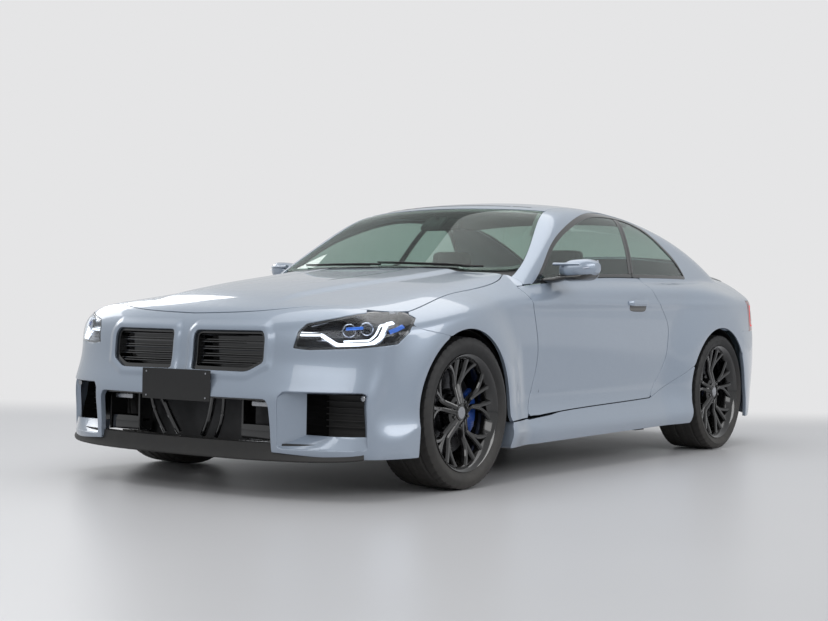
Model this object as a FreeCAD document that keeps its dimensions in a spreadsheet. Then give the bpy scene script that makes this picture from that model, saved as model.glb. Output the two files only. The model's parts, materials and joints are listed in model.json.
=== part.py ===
import FreeCAD, Part
import math
import os

# Coupe car. X runs across (the car's left is positive), Y runs along (the nose is negative), Z is up.
# The middle of the floor under the car is zero. Every length is in millimetres.

Vector = FreeCAD.Vector
doc = FreeCAD.newDocument("coupe")
os.makedirs("parts", exist_ok=True)

# Driving dimensions
sheet = doc.addObject("Spreadsheet::Sheet", "sheet")
sizes = (
    ("bodyLength", "4580"),
    ("bodyWidth", "1887"),
    ("bodyHeight", "1403"),
    ("frontOverhang", "866"),
    ("wheelBase", "2747"),
    ("frontTrack", "1600"),
    ("rearTrack", "1590"),
    ("frontTyreRadius", "337.5"),
    ("rearTyreRadius", "339.5"),
    ("frontTyreWidth", "272"),
    ("rearTyreWidth", "282"),
    ("frontRimRadius", "255"),
    ("rearRimRadius", "268"),
    ("frontArchRadius", "372"),
    ("rearArchRadius", "382"),
    ("shoulderRound", "90"),
    ("noseRound", "60"),
    ("kneeRound", "70"),
    ("waistRound", "26"),
    ("railRound", "110"),
    ("frontFlare", "44"),
    ("rearFlare", "44"),
    ("flareSpread", "230"),
    ("rearFlareSpread", "340"),
    ("skinThickness", "24"),
    ("roofThickness", "26"),
    ("glassThickness", "5"),
    ("doorInnerX", "775"),
    ("skirtInnerX", "800"),
    ("shutGap", "6"),
    ("seamGap", "0.6"),
    ("paneGap", "14"),
    ("hingePinRadius", "6"),
    ("hingeBarrelRadius", "12"),
    ("runningFit", "0.05"),
)
for row, (name, value) in enumerate(sizes, start=1):
    sheet.set("A%d" % row, name)
    sheet.set("B%d" % row, value)
    sheet.setAlias("B%d" % row, name)
doc.recompute()


def size(name):
    return float(sheet.get(name))


length = size("bodyLength")
half_width = size("bodyWidth") / 2
height = size("bodyHeight")
front_axle = size("frontOverhang") - length / 2
rear_axle = front_axle + size("wheelBase")
front_hub = size("frontTyreRadius")
rear_hub = size("rearTyreRadius")
gap = size("shutGap")
seam = size("seamGap")
fit = size("runningFit")

# Body form, as shares: along of the length, across of half the width, up of the height
width_shares = (
    (-0.5, 0.9433), (-0.4148, 0.9507), (-0.3109, 0.9528), (-0.2183, 0.9422), (-0.1528, 0.938),
    (0, 0.9401), (0.1092, 0.9412), (0.1965, 0.9454), (0.2889, 0.9539), (0.3712, 0.9592),
    (0.4367, 0.9433), (0.5, 0.9009),
)
inset_shares = (
    (0.0855, -0.0127), (0.1176, -0.0233), (0.1426, -0.0318), (0.1675, -0.0318),
    (0.2067, -0.0064), (0.2352, 0.0085), (0.2994, 0.0159), (0.3706, 0.0106), (0.4419, 0.0042),
    (0.5132, 0.0011), (0.5702, 0), (0.6415, 0.0032), (0.784, 0.0106),
)
knee_shares = (
    (-0.5, 0.4633), (-0.4258, 0.4989), (-0.379, 0.5289), (-0.3031, 0.5702), (-0.21, 0.6023),
    (-0.1528, 0.6172), (0, 0.6522), (0.131, 0.6657), (0.2183, 0.67), (0.2889, 0.6593),
    (0.3712, 0.6379), (0.4367, 0.6215), (0.5, 0.6058),
)
slope_shares = (
    (-0.5, 1.4), (-0.3031, 1.7), (-0.21, 1.45), (-0.1528, 1.3), (0, 1.25), (0.2183, 1.25),
    (0.3275, 1.5), (0.5, 1.6),
)
deck_shares = (
    (-0.5087, 0.4562), (-0.4913, 0.4989), (-0.4771, 0.536), (-0.4694, 0.5524),
    (-0.4541, 0.5745), (-0.4148, 0.6058), (-0.3493, 0.6415), (-0.262, 0.6771),
    (-0.1965, 0.7056), (-0.1747, 0.7128), (0, 0.717), (0.262, 0.727), (0.3275, 0.7555),
    (0.3712, 0.7641), (0.4258, 0.7612), (0.4694, 0.7541), (0.5, 0.7484),
)
crown_shares = (
    (-0.5, 0.0185), (-0.4694, 0.0228), (-0.379, 0.0535), (-0.3031, 0.0442), (-0.21, 0.0371),
    (-0.1747, 0.0321), (0, 0.0143), (0.262, 0.0178), (0.3712, 0.0392), (0.5, 0.0463),
)
nose_shares = (
    (0.0855, -0.4836), (0.1212, -0.4939), (0.1532, -0.4967), (0.2138, -0.4978),
    (0.3065, -0.4989), (0.3564, -0.4939), (0.3991, -0.4904), (0.4918, -0.4865),
    (0.536, -0.4793), (0.5702, -0.4716), (0.6415, -0.4541), (0.784, -0.4148),
)
tail_shares = (
    (0.0855, 0.476), (0.1426, 0.4836), (0.2138, 0.4891), (0.3207, 0.498), (0.4277, 0.499),
    (0.5132, 0.4952), (0.5702, 0.4902), (0.6415, 0.4858), (0.7128, 0.4836), (0.7555, 0.4814),
    (0.8553, 0.476),
)
glasshouse_shares = (
    (-0.262, 0.8479), (-0.1528, 0.8479), (0, 0.8606), (0.131, 0.8606), (0.2402, 0.8426),
    (0.3275, 0.8055), (0.393, 0.7631),
)
roof_shares = (
    (-0.262, 0.8411), (-0.1528, 0.9195), (-0.0655, 0.9629), (0, 0.9907), (0.0437, 0.9993),
    (0.0873, 0.9986), (0.1528, 0.985), (0.2074, 0.9601), (0.262, 0.9216), (0.3166, 0.866),
    (0.3712, 0.7947), (0.4148, 0.727), (0.4585, 0.6415), (0.5087, 0.4633),
)

# Shut lines and outlines, in the same shares
door_front_shares = (
    (0.1069, -0.1779), (0.2046, -0.181), (0.2851, -0.1725), (0.4248, -0.1614),
    (0.5004, -0.1659), (0.6458, -0.1819), (0.7128, -0.19),
)
door_rear_shares = (
    (0.1782, 0.1026), (0.2381, 0.107), (0.3749, 0.1441), (0.4562, 0.1507), (0.5225, 0.1491),
    (0.6586, 0.1094), (0.6992, 0.1028), (0.7484, 0.0961),
)
door_bottom_shares = (
    (-0.1965, 0.201), (-0.181, 0.2046), (0.107, 0.2381), (0.1659, 0.2459),
)
belt_shares = (
    (-0.1965, 0.645), (-0.1502, 0.6586), (-0.0655, 0.6828), (0.0074, 0.6978), (0.1092, 0.7063),
    (0.2214, 0.7135), (0.262, 0.7149),
)
window_top_shares = (
    (-0.1659, 0.645), (-0.1535, 0.6593), (-0.0969, 0.7855), (-0.0349, 0.8838), (0.0367, 0.948),
    (0.0878, 0.9615), (0.1319, 0.9558), (0.1747, 0.9195), (0.2162, 0.8304), (0.2382, 0.7662),
    (0.2467, 0.7199),
)
bonnet_side_shares = (
    (-0.3843, 0.8786), (-0.379, 0.8786), (-0.3031, 0.8373), (-0.21, 0.8055), (-0.1856, 0.7737),
    (-0.1697, 0.7419), (-0.1528, 0.7313),
)
bonnet_front_shares = (
    (0, -0.4742), (0.265, -0.4712), (0.5299, -0.4581), (0.6889, -0.441), (0.8055, -0.4181),
    (0.8786, -0.379),
)
bonnet_rear_shares = (
    (0, -0.202), (0.318, -0.1991), (0.5299, -0.1895), (0.6783, -0.1758), (0.7419, -0.1714),
    (0.8786, -0.1659),
)
screen_bottom_shares = (
    (0, -0.1904), (0.318, -0.1856), (0.5299, -0.176), (0.6783, -0.1642), (0.7822, -0.1524),
)
screen_top_shares = (
    (0, -0.0579), (0.318, -0.0535), (0.6105, -0.0371),
)
upper_edge_shares = (
    (-0.1904, 0.7822), (-0.1528, 0.7822), (-0.0939, 0.6995), (-0.0371, 0.6105),
    (0.0437, 0.5999), (0.083, 0.5957), (0.131, 0.5914), (0.1856, 0.5819), (0.262, 0.5946),
    (0.3472, 0.6105), (0.3712, 0.615), (0.4148, 0.655), (0.4541, 0.6783),
)
back_top_shares = (
    (0, 0.1976), (0.318, 0.1943), (0.5935, 0.1856),
)
back_bottom_shares = (
    (0, 0.3515), (0.318, 0.3507), (0.5935, 0.3472),
)
nose_bottom_shares = (
    (0, 0.1397), (0.3333, 0.1397), (0.5, 0.1283), (0.6667, 0.1226), (0.8889, 0.1269),
)
nose_top_shares = (
    (0, 0.5431), (0.2778, 0.546), (0.4444, 0.5502), (0.5778, 0.5517), (0.6667, 0.5431),
    (0.7333, 0.5203), (0.7778, 0.5025), (0.8889, 0.4904),
)
tail_bottom_shares = (
    (0, 0.1397), (0.2444, 0.1397), (0.3778, 0.1426), (0.5, 0.1354), (0.8889, 0.1297),
)
tail_top_shares = (
    (0, 0.5096), (0.3333, 0.5096), (0.6667, 0.5025), (0.8889, 0.4989),
)
seam_shares = (
    (-0.393, 0.5103), (-0.3897, 0.5068), (-0.3629, 0.4904), (-0.3275, 0.4704),
)
skirt_top_shares = (
    (-0.2402, 0.201), (-0.181, 0.2046), (0.107, 0.2381), (0.1528, 0.2851), (0.2284, 0.3792),
)
skirt_bottom_shares = (
    (-0.2402, 0.114), (-0.0343, 0.1212), (0.1965, 0.129),
)
lamp_shares = (
    (-0.1867, 0.4405), (-0.1711, 0.4918), (-0.1461, 0.5146), (0, 0.5445), (0.1354, 0.5574),
    (0.1867, 0.536), (0.1604, 0.4918), (0.1212, 0.4562), (0, 0.4433), (-0.1426, 0.4362),
)


class Curve:
    """A smooth natural cubic through a table of shares, read in millimetres."""

    def __init__(self, shares, scale_in, scale_out):
        self.a = [p[0] * scale_in for p in shares]
        self.b = [p[1] * scale_out for p in shares]
        n = len(self.a)
        self.n = n
        step = [self.a[i + 1] - self.a[i] for i in range(n - 1)]
        diag = [1.0] * n
        upper = [0.0] * n
        right = [0.0] * n
        for i in range(1, n - 1):
            rise = (self.b[i + 1] - self.b[i]) / step[i]
            rise -= (self.b[i] - self.b[i - 1]) / step[i - 1]
            lower = step[i - 1]
            diag[i] = 2 * (step[i - 1] + step[i]) - lower * upper[i - 1]
            upper[i] = step[i] / diag[i]
            right[i] = (6 * rise - lower * right[i - 1]) / diag[i]
        bend = [0.0] * n
        for i in range(n - 2, 0, -1):
            bend[i] = right[i] - upper[i] * bend[i + 1]
        self.bend = bend
        self.step = step

    def __call__(self, q):
        a = self.a
        q = min(max(q, a[0]), a[-1])
        i = 0
        while i < self.n - 2 and q > a[i + 1]:
            i += 1
        d = q - a[i]
        e = a[i + 1] - q
        w = self.step[i]
        low = self.b[i] / w - self.bend[i] * w / 6
        high = self.b[i + 1] / w - self.bend[i + 1] * w / 6
        return (self.bend[i] * e**3 + self.bend[i + 1] * d**3) / (6 * w) + low * e + high * d


right_angle = 90.0
width_at = Curve(width_shares, length, half_width)
inset_at = Curve(inset_shares, height, half_width)
knee_at = Curve(knee_shares, length, height)
slope_at = Curve(slope_shares, length, 1)
deck_at = Curve(deck_shares, length, height)
crown_at = Curve(crown_shares, length, height)
nose_at = Curve(nose_shares, height, length)
tail_at = Curve(tail_shares, height, length)
glasshouse_at = Curve(glasshouse_shares, length, half_width)
roof_at = Curve(roof_shares, length, height)
door_front = Curve(door_front_shares, height, length)
door_rear = Curve(door_rear_shares, height, length)
door_bottom = Curve(door_bottom_shares, length, height)
belt = Curve(belt_shares, length, height)
window_top = Curve(window_top_shares, length, height)
bonnet_side = Curve(bonnet_side_shares, length, half_width)
bonnet_front = Curve(bonnet_front_shares, half_width, length)
bonnet_rear = Curve(bonnet_rear_shares, half_width, length)
screen_bottom = Curve(screen_bottom_shares, half_width, length)
screen_top = Curve(screen_top_shares, half_width, length)
quarter_edge = Curve(upper_edge_shares, length, half_width)
back_top = Curve(back_top_shares, half_width, length)
back_bottom = Curve(back_bottom_shares, half_width, length)
nose_bottom = Curve(nose_bottom_shares, right_angle, height)
nose_top = Curve(nose_top_shares, right_angle, height)
tail_bottom = Curve(tail_bottom_shares, right_angle, height)
tail_top = Curve(tail_top_shares, right_angle, height)
seam_line = Curve(seam_shares, length, height)
skirt_top = Curve(skirt_top_shares, length, height)
skirt_bottom = Curve(skirt_bottom_shares, length, height)

shoulder = size("shoulderRound")
nose_round = size("noseRound")
knee_round = size("kneeRound")
waist_round = size("waistRound")
rail_round = size("railRound")
front_flare = size("frontFlare")
rear_flare = size("rearFlare")
flare_spread = size("flareSpread")
rear_spread = size("rearFlareSpread")
front_arch = size("frontArchRadius")
rear_arch = size("rearArchRadius")


def smooth_max(a, b, k):
    h = max(k - abs(a - b), 0.0) / k
    return max(a, b) + h * h * h * k / 6


def smooth_min(a, b, k):
    h = max(k - abs(a - b), 0.0) / k
    return min(a, b) - h * h * h * k / 6


def ease(t):
    t = min(max(t, 0.0), 1.0)
    return t * t * (3 - 2 * t)


def flare(y, z, axle, hub, amount, start, spread):
    away = math.hypot(y - axle, max(z - hub, 0.0))
    return amount * (1 - ease((away - start) / spread))


low_cut = half_width * 0.0276
low_reach = height * 0.2138
low_start_y = length * 0.1528
foot_level = height * 0.0713


def side_at(y, z):
    out = width_at(y) - inset_at(z)
    out -= low_cut * (1 - ease((z - foot_level) / low_reach)) * ease((abs(y) - low_start_y) / low_reach)
    out += flare(y, z, front_axle, front_hub, front_flare, front_arch, flare_spread)
    out += flare(y, z, rear_axle, rear_hub, rear_flare, rear_arch, rear_spread)
    return out - slope_at(y) * smooth_max(z - knee_at(y), 0.0, knee_round)


bulge_height = height * 0.0086
bulge_width = half_width * 0.3498
bulge_spread = half_width * 0.1166
bulge_edge = half_width * 0.0742
bulge_start = length * -0.4629
bulge_end = length * -0.131
bulge_run = length * 0.262
bulge_rise = length * 0.0546
crown_width = half_width * 0.8479


def top_at(x, y):
    a = abs(x)
    raised = 0.0
    if y < bulge_end:
        edge = bulge_width + bulge_spread * ease((y - bulge_start) / bulge_run)
        raised = 1 - ease((a - edge) / bulge_edge)
        raised *= bulge_height * ease((y - bulge_start) / bulge_rise)
    return deck_at(y) - crown_at(y) * (a / crown_width) ** 2.4 + raised


nose_width = half_width * 0.9963
nose_depth = length * 0.1092
nose_power = 2.8
tail_width = half_width * 1.0016
tail_depth = length * 0.1397
tail_power = 2.5


def end_curve(x, wide, deep, power):
    q = min(x / wide, 1.0)
    return deep * (1 - (1 - q**power) ** (1 / power)) + max(x - wide, 0.0) * 30


def body(x, y, z):
    a = abs(x)
    f = smooth_max(a - side_at(y, z), z - top_at(x, y), shoulder)
    f = smooth_max(f, nose_at(z) + end_curve(a, nose_width, nose_depth, nose_power) - y, nose_round)
    f = smooth_max(f, y - tail_at(z) + end_curve(a, tail_width, tail_depth, tail_power), nose_round)
    return f


glass_low = height * 0.7021
glass_rise = height * 0.2352
lean_one = half_width * 0.1113
lean_two = half_width * 0.0583
roof_crown = height * 0.0342
roof_half = half_width * 0.6359
screen_foot = length * -0.1882
screen_level = height * 0.7128
screen_bow = length * 0.036
screen_half = half_width * 0.7822
screen_rake = 1.68
low_share = -0.25
soft_share = 0.2


def house(x, y, z):
    a = abs(x)
    t = smooth_max((z - glass_low) / glass_rise, low_share, soft_share)
    side = a - (glasshouse_at(y) - lean_one * t - lean_two * t * abs(t))
    roof = z - (roof_at(y) - roof_crown * (a / roof_half) ** 2.2)
    foot = screen_foot + (z - screen_level) * screen_rake + screen_bow * (a / screen_half) ** 2
    f = smooth_max(side, roof, rail_round)
    return smooth_max(f, (foot - y) / 2, knee_round)


def whole(x, y, z):
    return smooth_min(body(x, y, z), house(x, y, z), waist_round)


reach = size("bodyLength") / 3
fine = 24


def hit(form, start, way, far=reach):
    """The point where a line from inside leaves the form, by halving."""
    low = 0.0
    high = far
    for _ in range(fine):
        mid = (low + high) / 2
        p = start + way * mid
        if form(p.x, p.y, p.z) < 0:
            low = mid
        else:
            high = mid
    return start + way * low


def outward(form, p):
    e = size("seamGap")
    gx = form(p.x + e, p.y, p.z) - form(p.x - e, p.y, p.z)
    gy = form(p.x, p.y + e, p.z) - form(p.x, p.y - e, p.z)
    gz = form(p.x, p.y, p.z + e) - form(p.x, p.y, p.z - e)
    n = Vector(gx, gy, gz)
    n.normalize()
    return n


def slab(outer, inner):
    """A closed solid between two grids of points of the same count."""
    a = Part.BSplineSurface()
    a.interpolate(outer)
    b = Part.BSplineSurface()
    b.interpolate(inner)
    faces = [a.toShape(), b.toShape()]
    ends_a = a.bounds()
    ends_b = b.bounds()
    for k in (0, 1):
        p = a.uIso(ends_a[k]).toShape()
        q = b.uIso(ends_b[k]).toShape()
        faces.append(Part.makeRuledSurface(p, q))
        p = a.vIso(ends_a[k + 2]).toShape()
        q = b.vIso(ends_b[k + 2]).toShape()
        faces.append(Part.makeRuledSurface(p, q))
    shell = Part.makeShell(faces)
    shell.sewShape()
    solid = Part.makeSolid(Part.Shell(shell.Faces))
    if solid.Volume < 0:
        solid.reverse()
    return solid


def skin(form, ray, nu, nv, thick, flat=None, straight=False, level=False):
    """A slab whose outer face lies on the form; the inner one is thick below it or flat at one x.

    Thick is measured along the normal, along the ray when straight, or across the car when level.
    """
    outer = []
    inner = []
    for i in range(nu + 1):
        row_out = []
        row_in = []
        for j in range(nv + 1):
            start, way = ray(i / nu, j / nv)
            p = hit(form, start, way)
            row_out.append(p)
            if straight:
                row_in.append(p - way * thick)
            elif level:
                n = outward(form, p)
                row_in.append(p - Vector(n.x, 0, n.z).normalize() * thick)
            elif flat is None:
                row_in.append(p - outward(form, p) * thick)
            else:
                row_in.append(Vector(flat, p.y, p.z))
        outer.append(row_out)
        inner.append(row_in)
    return slab(outer, inner)


middle = height * 0.4277
top_start = height * 0.4419
up = Vector(0, 0, 1)


def mix(a, b, t):
    return a + (b - a) * t


def turned(low_line, high_line, y_start, y_end):
    """Rays in planes across the car, fanned between two lines on the body side."""

    def ray(u, v):
        y = mix(y_start, y_end, u)
        t = mix(low_line(y), high_line(y), v)
        return Vector(0, y, middle), Vector(math.cos(t), 0, math.sin(t))

    return ray


def angle_of(x, z):
    return math.atan2(z - middle, x)


def angle_for(y, z):
    """The fan angle at which the whole form has height z in the plane y."""
    low = math.radians(-50)
    high = math.radians(89)
    for _ in range(fine):
        mid = (low + high) / 2
        p = hit(whole, Vector(0, y, middle), Vector(math.cos(mid), 0, math.sin(mid)))
        if p.z < z:
            low = mid
        else:
            high = mid
    return low


def angle_line(y0, y1, z_of, count=14, shift=0.0):
    """The fan angle along a line given as height over y, kept as a smooth table."""
    rows = []
    for i in range(count + 1):
        y = mix(y0, y1, i / count)
        rows.append((y, angle_for(y, z_of(y) + shift)))
    return Curve(rows, 1, 1)


def edge_line(y0, y1, x_of, count=14, shift=0.0):
    """The fan angle along a line given as distance from the middle over y, seen from above."""
    rows = []
    for i in range(count + 1):
        y = mix(y0, y1, i / count)
        p = hit(whole, Vector(x_of(y) + shift, y, top_start), up)
        rows.append((y, angle_of(p.x, p.z)))
    return Curve(rows, 1, 1)


def around(axle_y, sign, low_line, high_line, start, end, low_shift=0.0, high_shift=0.0):
    """Rays round an upright line in an axle's plane, between two heights given over the angle."""

    def ray(u, v):
        t = mix(start, end, u)
        z = mix(low_line(abs(t)) + low_shift, high_line(abs(t)) - high_shift, v)
        r = math.radians(t)
        return Vector(0, axle_y, z), Vector(math.sin(r), sign * math.cos(r), 0)

    return ray


def downward(front, rear, side, u_low=-1.0, inset=0.0):
    """Upright rays on a plan between a front, a rear and a side line."""

    def ray(u, v):
        s = mix(u_low, 1.0, u)
        y = mix(front(0.0), rear(0.0), v)
        for _ in range(6):
            x = s * (side(y) - inset)
            y = mix(front(abs(x)) + inset, rear(abs(x)) - inset, v)
        return Vector(x, y, top_start), up

    return ray


def closed_wire(points):
    """A closed wire: a nested run of points is one smooth curve, the rest are corners."""
    runs = []
    for p in points:
        if isinstance(p, list):
            runs.append(p)
        else:
            runs.append([p])
    edges = []
    for i, run in enumerate(runs):
        if len(run) > 2:
            curve = Part.BSplineCurve()
            curve.interpolate(run)
            edges.append(curve.toShape())
        after = runs[(i + 1) % len(runs)][0]
        if run[-1].distanceToPoint(after) > seam / 10:
            edges.append(Part.makeLine(run[-1], after))
    return Part.Wire(edges)


def carried(points, place, way):
    """An outline turned into vectors by place, filled and carried along way."""
    rows = []
    for p in points:
        if isinstance(p, list):
            rows.append([place(q[0], q[1]) for q in p])
        else:
            rows.append(place(p[0], p[1]))
    return Part.Face(closed_wire(rows)).extrude(way)


def prism_x(points, x0, x1):
    """An outline given as y and z, carried along X from x0 to x1."""
    return carried(points, lambda a, b: Vector(x0, a, b), Vector(x1 - x0, 0, 0))


def prism_y(points, y0, y1):
    return carried(points, lambda a, b: Vector(a, y0, b), Vector(0, y1 - y0, 0))


def prism_z(points, z0, z1):
    return carried(points, lambda a, b: Vector(a, b, z0), Vector(0, 0, z1 - z0))


def feature(name, shape):
    item = doc.addObject("Part::Feature", name)
    item.Label = name
    item.Shape = shape
    item.Placement = FreeCAD.Placement()
    return item


def mirrored(shape):
    return shape.mirror(Vector(0, 0, 0), Vector(1, 0, 0))


def one(shape):
    """The largest solid of a shape."""
    return max(shape.Solids, key=lambda s: s.Volume)

skin_thick = size("skinThickness")
roof_thick = size("roofThickness")
glass_thick = size("glassThickness")

# Cutting shapes
far_x = half_width * 1.2
arch_foot_front = 0.0858 * length
arch_foot_rear = 0.0769 * length
rear_foot_front = 0.1026 * length
rear_foot_rear = 0.0873 * length


def arch_cut(axle, hub, radius, ahead, behind, x0, x1, extra=0.0):
    """The wheel opening: a round arch whose sides run down and out to the sill."""
    r = radius + extra
    round_cut = Part.makeCylinder(r, x1 - x0, Vector(x0, axle, hub), Vector(1, 0, 0))
    points = (
        (axle - r, hub),
        (axle - ahead - extra, foot_level),
        (axle + behind + extra, foot_level),
        (axle + r, hub),
    )
    return round_cut.fuse(prism_x(points, x0, x1))


front_opening = arch_cut(front_axle, front_hub, front_arch, arch_foot_front, arch_foot_rear, 0, far_x)
rear_opening = arch_cut(rear_axle, rear_hub, rear_arch, rear_foot_front, rear_foot_rear, 0, far_x)


def door_outline(extra, count=10):
    """The door's outline seen from the side, grown by the extra."""
    z_low = door_bottom(door_front(height * 0.2046)) - extra
    z_rear = door_bottom(door_rear(z_low)) - extra
    y_front = door_front(height * 0.6593) - extra
    z_front = belt(y_front) + extra
    z_top = belt(door_rear(height * 0.7021)) + extra
    y_top = door_rear(z_top) + extra
    rear = []
    top = []
    front = []
    for i in range(count + 1):
        z = mix(z_rear, z_top, i / count)
        rear.append((door_rear(z) + extra, z))
        y = mix(y_top, y_front, i / count)
        top.append((y, belt(y) + extra))
        z = mix(z_front, z_low, i / count)
        front.append((door_front(z) - extra, z))
    top[0] = rear[-1]
    front[0] = top[-1]
    return [rear, top, front]


door_prism = prism_x(door_outline(0.0), 0, far_x)
door_hole = prism_x(door_outline(gap), 0, far_x)

# Doors, fenders, quarters, skirts
fan_low = angle_of(half_width, foot_level)
door_y0 = length * -0.1921
door_y1 = length * 0.1572


def low_fan(y):
    return fan_low


belt_fan = angle_line(door_y0, door_y1, belt, 14, height * 0.0285)
door_skin = skin(whole, turned(low_fan, belt_fan, door_y0, door_y1), 26, 18, 0, size("doorInnerX"))
door_left = one(door_skin.common(door_prism))

pillar_y0 = length * -0.1681
fender_y0 = length * -0.393
fender_y1 = length * -0.1607
post_y = pillar_y0 - seam
bonnet_fan = edge_line(fender_y0, post_y, bonnet_side)
rear_share = 0.5
rear_run_share = 0.3


def fender_ray(u, v):
    """Rays in planes across the car; the last plane leans so that it ends at the post's foot."""
    rear = mix(fender_y1, post_y, ease((v - rear_share) / rear_run_share))
    y = mix(fender_y0, rear, u)
    t = mix(fan_low, bonnet_fan(y), v)
    return Vector(0, y, middle), Vector(math.cos(t), 0, math.sin(t))


fender_skin = skin(whole, fender_ray, 30, 18, skin_thick, level=True)


def line_points(y0, y1, line, shift, count=8):
    """Points along a line given as height over y."""
    return [(mix(y0, y1, i / count), line(mix(y0, y1, i / count)) + shift) for i in range(count + 1)]


seam_y0 = fender_y0 - skin_thick
nose_seam = [line_points(seam_y0, front_axle, seam_line, seam / 2), (front_axle, 0), (seam_y0, 0)]
skirt_y0 = length * -0.2402
skirt_y1 = length * 0.2402
skirt_zone = [line_points(skirt_y0, skirt_y1, skirt_top, seam / 2, 14), (skirt_y1, 0), (skirt_y0, 0)]
skirt_zone = prism_x(skirt_zone, 0, far_x)
hinge_x = half_width * 0.9094
hinge_y = length * -0.1555
swing_low = height * 0.2067
swing_high = height * 0.5702
swing_steps = 12


def swing_room():
    """The space that the door's front edge sweeps, turned about the hinge line."""
    rows = [Vector(hinge_x, hinge_y, swing_low)]
    for i in range(swing_steps + 1):
        z = mix(swing_low, swing_high, i / swing_steps)
        y = door_front(z)
        corner = math.hypot(side_at(y, z) - hinge_x, y - hinge_y)
        rows.append(Vector(hinge_x + corner + gap, hinge_y, z))
    rows.append(Vector(hinge_x, hinge_y, swing_high))
    face = Part.Face(Part.makePolygon(rows + [rows[0]]))
    return face.revolve(Vector(hinge_x, hinge_y, 0), up, full_turn)


full_turn = 360
door_swing = swing_room()
fender_left = fender_skin
for tool in (skirt_zone, prism_x(nose_seam, 0, far_x), front_opening, door_hole, door_swing):
    fender_left = one(fender_left.cut(tool))
skirt_fan = angle_line(skirt_y0, skirt_y1, skirt_top, 16, height * 0.0285)


def sill_fan(y):
    return angle_of(half_width, skirt_bottom(y))


skirt_skin = skin(whole, turned(sill_fan, skirt_fan, skirt_y0, skirt_y1), 24, 8, 0, size("skirtInnerX"))
skirt_prism = [line_points(skirt_y0, skirt_y1, skirt_top, -seam / 2, 14), (skirt_y1, 0), (skirt_y0, 0)]
kingpin_x = half_width * 0.7525
tyre_corner = (size("frontTrack") + size("frontTyreWidth")) / 2 - kingpin_x
tyre_reach = math.hypot(tyre_corner, size("frontTyreRadius")) + gap * 2
tyre_sweep = Part.makeCylinder(tyre_reach, front_hub, Vector(kingpin_x, front_axle, 0))
skirt_skin = skirt_skin.cut([front_opening, rear_opening, door_hole, tyre_sweep])
skirt_left = one(skirt_skin.common(prism_x(skirt_prism, 0, far_x)))

# Quarter panel: from the door to the tail, with the sill-to-roof post and the wheel arch
quarter_y0 = length * 0.083
quarter_y1 = length * 0.4541
lid_y0 = length * 0.3541
lid_half_front = half_width * 0.6105
quarter_fan = edge_line(quarter_y0, quarter_y1, quarter_edge, 30, seam / 2)
quarter_skin = skin(whole, turned(low_fan, quarter_fan, quarter_y0, quarter_y1), 34, 26, skin_thick)
split_low = length * 0.0847
split_high = length * 0.1151
split_z0 = height * 0.7128
split_z1 = height * 0.9359


def glass_outline(y0, y1, lift, drop, count=12):
    """A side window's outline: its foot lifted from the belt and its top dropped from the roof line."""
    low = line_points(y0, y1, belt, lift, count)
    high = []
    for i in range(count + 1):
        y = mix(y1, y0, i / count)
        high.append((y, max(window_top(y) - drop, belt(y) + gap)))
    return [low, high]


def split_cut(shift, forward):
    """Everything ahead of, or behind, the leaning line between the two side windows."""
    y0 = split_low + shift
    y1 = split_high + shift
    lean = (y1 - y0) / (split_z1 - split_z0)
    far = -length if forward else length
    points = (
        (y0 - lean * split_z0, 0),
        (y0 + lean * (height - split_z0), height),
        (far, height),
        (far, 0),
    )
    return prism_x(points, 0, far_x)


rear_window_y1 = length * 0.2362
rear_glass_prism = prism_x(glass_outline(quarter_y0, rear_window_y1, seam, 0.0), 0, far_x)
rear_glass_hole = prism_x(glass_outline(quarter_y0 - skin_thick, rear_window_y1, 0.0, -seam), 0, far_x)
tail_seam_y = length * 0.3581
tail_seam_z = height * 0.5004
bumper_zone = prism_x(
    (
        (tail_seam_y - seam / 2, 0),
        (tail_seam_y - seam / 2, tail_seam_z + seam / 2),
        (length, tail_seam_z + seam / 2),
        (length, 0),
    ),
    0,
    far_x,
)
quarter_left = one(quarter_skin.cut([rear_opening, door_hole, bumper_zone]))
quarter_left = one(quarter_left.cut(rear_glass_hole))
quarter_left = one(quarter_left.cut(skirt_zone))

house_y0 = length * -0.1441
house_skin_fan = angle_line(house_y0, rear_window_y1, belt, 14, -height * 0.0143)
house_top_fan = angle_line(house_y0, rear_window_y1, window_top, 22, height * 0.0043)


def pane_top(y):
    return max(house_top_fan(y), house_skin_fan(y) + math.radians(4))


side_glass = skin(whole, turned(house_skin_fan, pane_top, house_y0, rear_window_y1), 34, 12, glass_thick)
pane_drop = gap * 1.5
door_pane_prism = prism_x(glass_outline(house_y0 + gap, rear_window_y1, fit * 8, pane_drop), 0, far_x)
pane_gap = size("paneGap")
door_pane = one(side_glass.common(door_pane_prism).common(split_cut(-pane_gap / 2, True)))
rear_pane = one(side_glass.common(rear_glass_prism).common(split_cut(pane_gap / 2, False)))

# Pillar frame: windscreen post and roof rail
pillar_low = angle_line(pillar_y0, quarter_y0, window_top, 20, seam)
pillar_high = edge_line(pillar_y0, quarter_y0, quarter_edge, 24, seam / 2)
pillar_skin = skin(whole, turned(pillar_low, pillar_high, pillar_y0, quarter_y0 - seam), 30, 5, roof_thick)
window_hole = prism_x(glass_outline(pillar_y0, quarter_y0 + gap, 0.0, 0.0), 0, far_x)
pillar_left = one(pillar_skin.cut(door_hole))
pillar_left = one(pillar_left.cut(window_hole))

# Roof, windscreen, rear window
roof_panel = skin(whole, downward(screen_top, back_top, quarter_edge, -1.0, seam / 2), 14, 16, roof_thick)
windscreen = skin(whole, downward(screen_bottom, screen_top, quarter_edge, -1.0, seam / 2), 18, 12, glass_thick)
rear_window = skin(whole, downward(back_top, back_bottom, quarter_edge, -1.0, seam / 2), 14, 10, glass_thick)

# Bonnet
bonnet_skin = skin(whole, downward(bonnet_front, bonnet_rear, bonnet_side, -1.0, gap), 24, 22, skin_thick)

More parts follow.
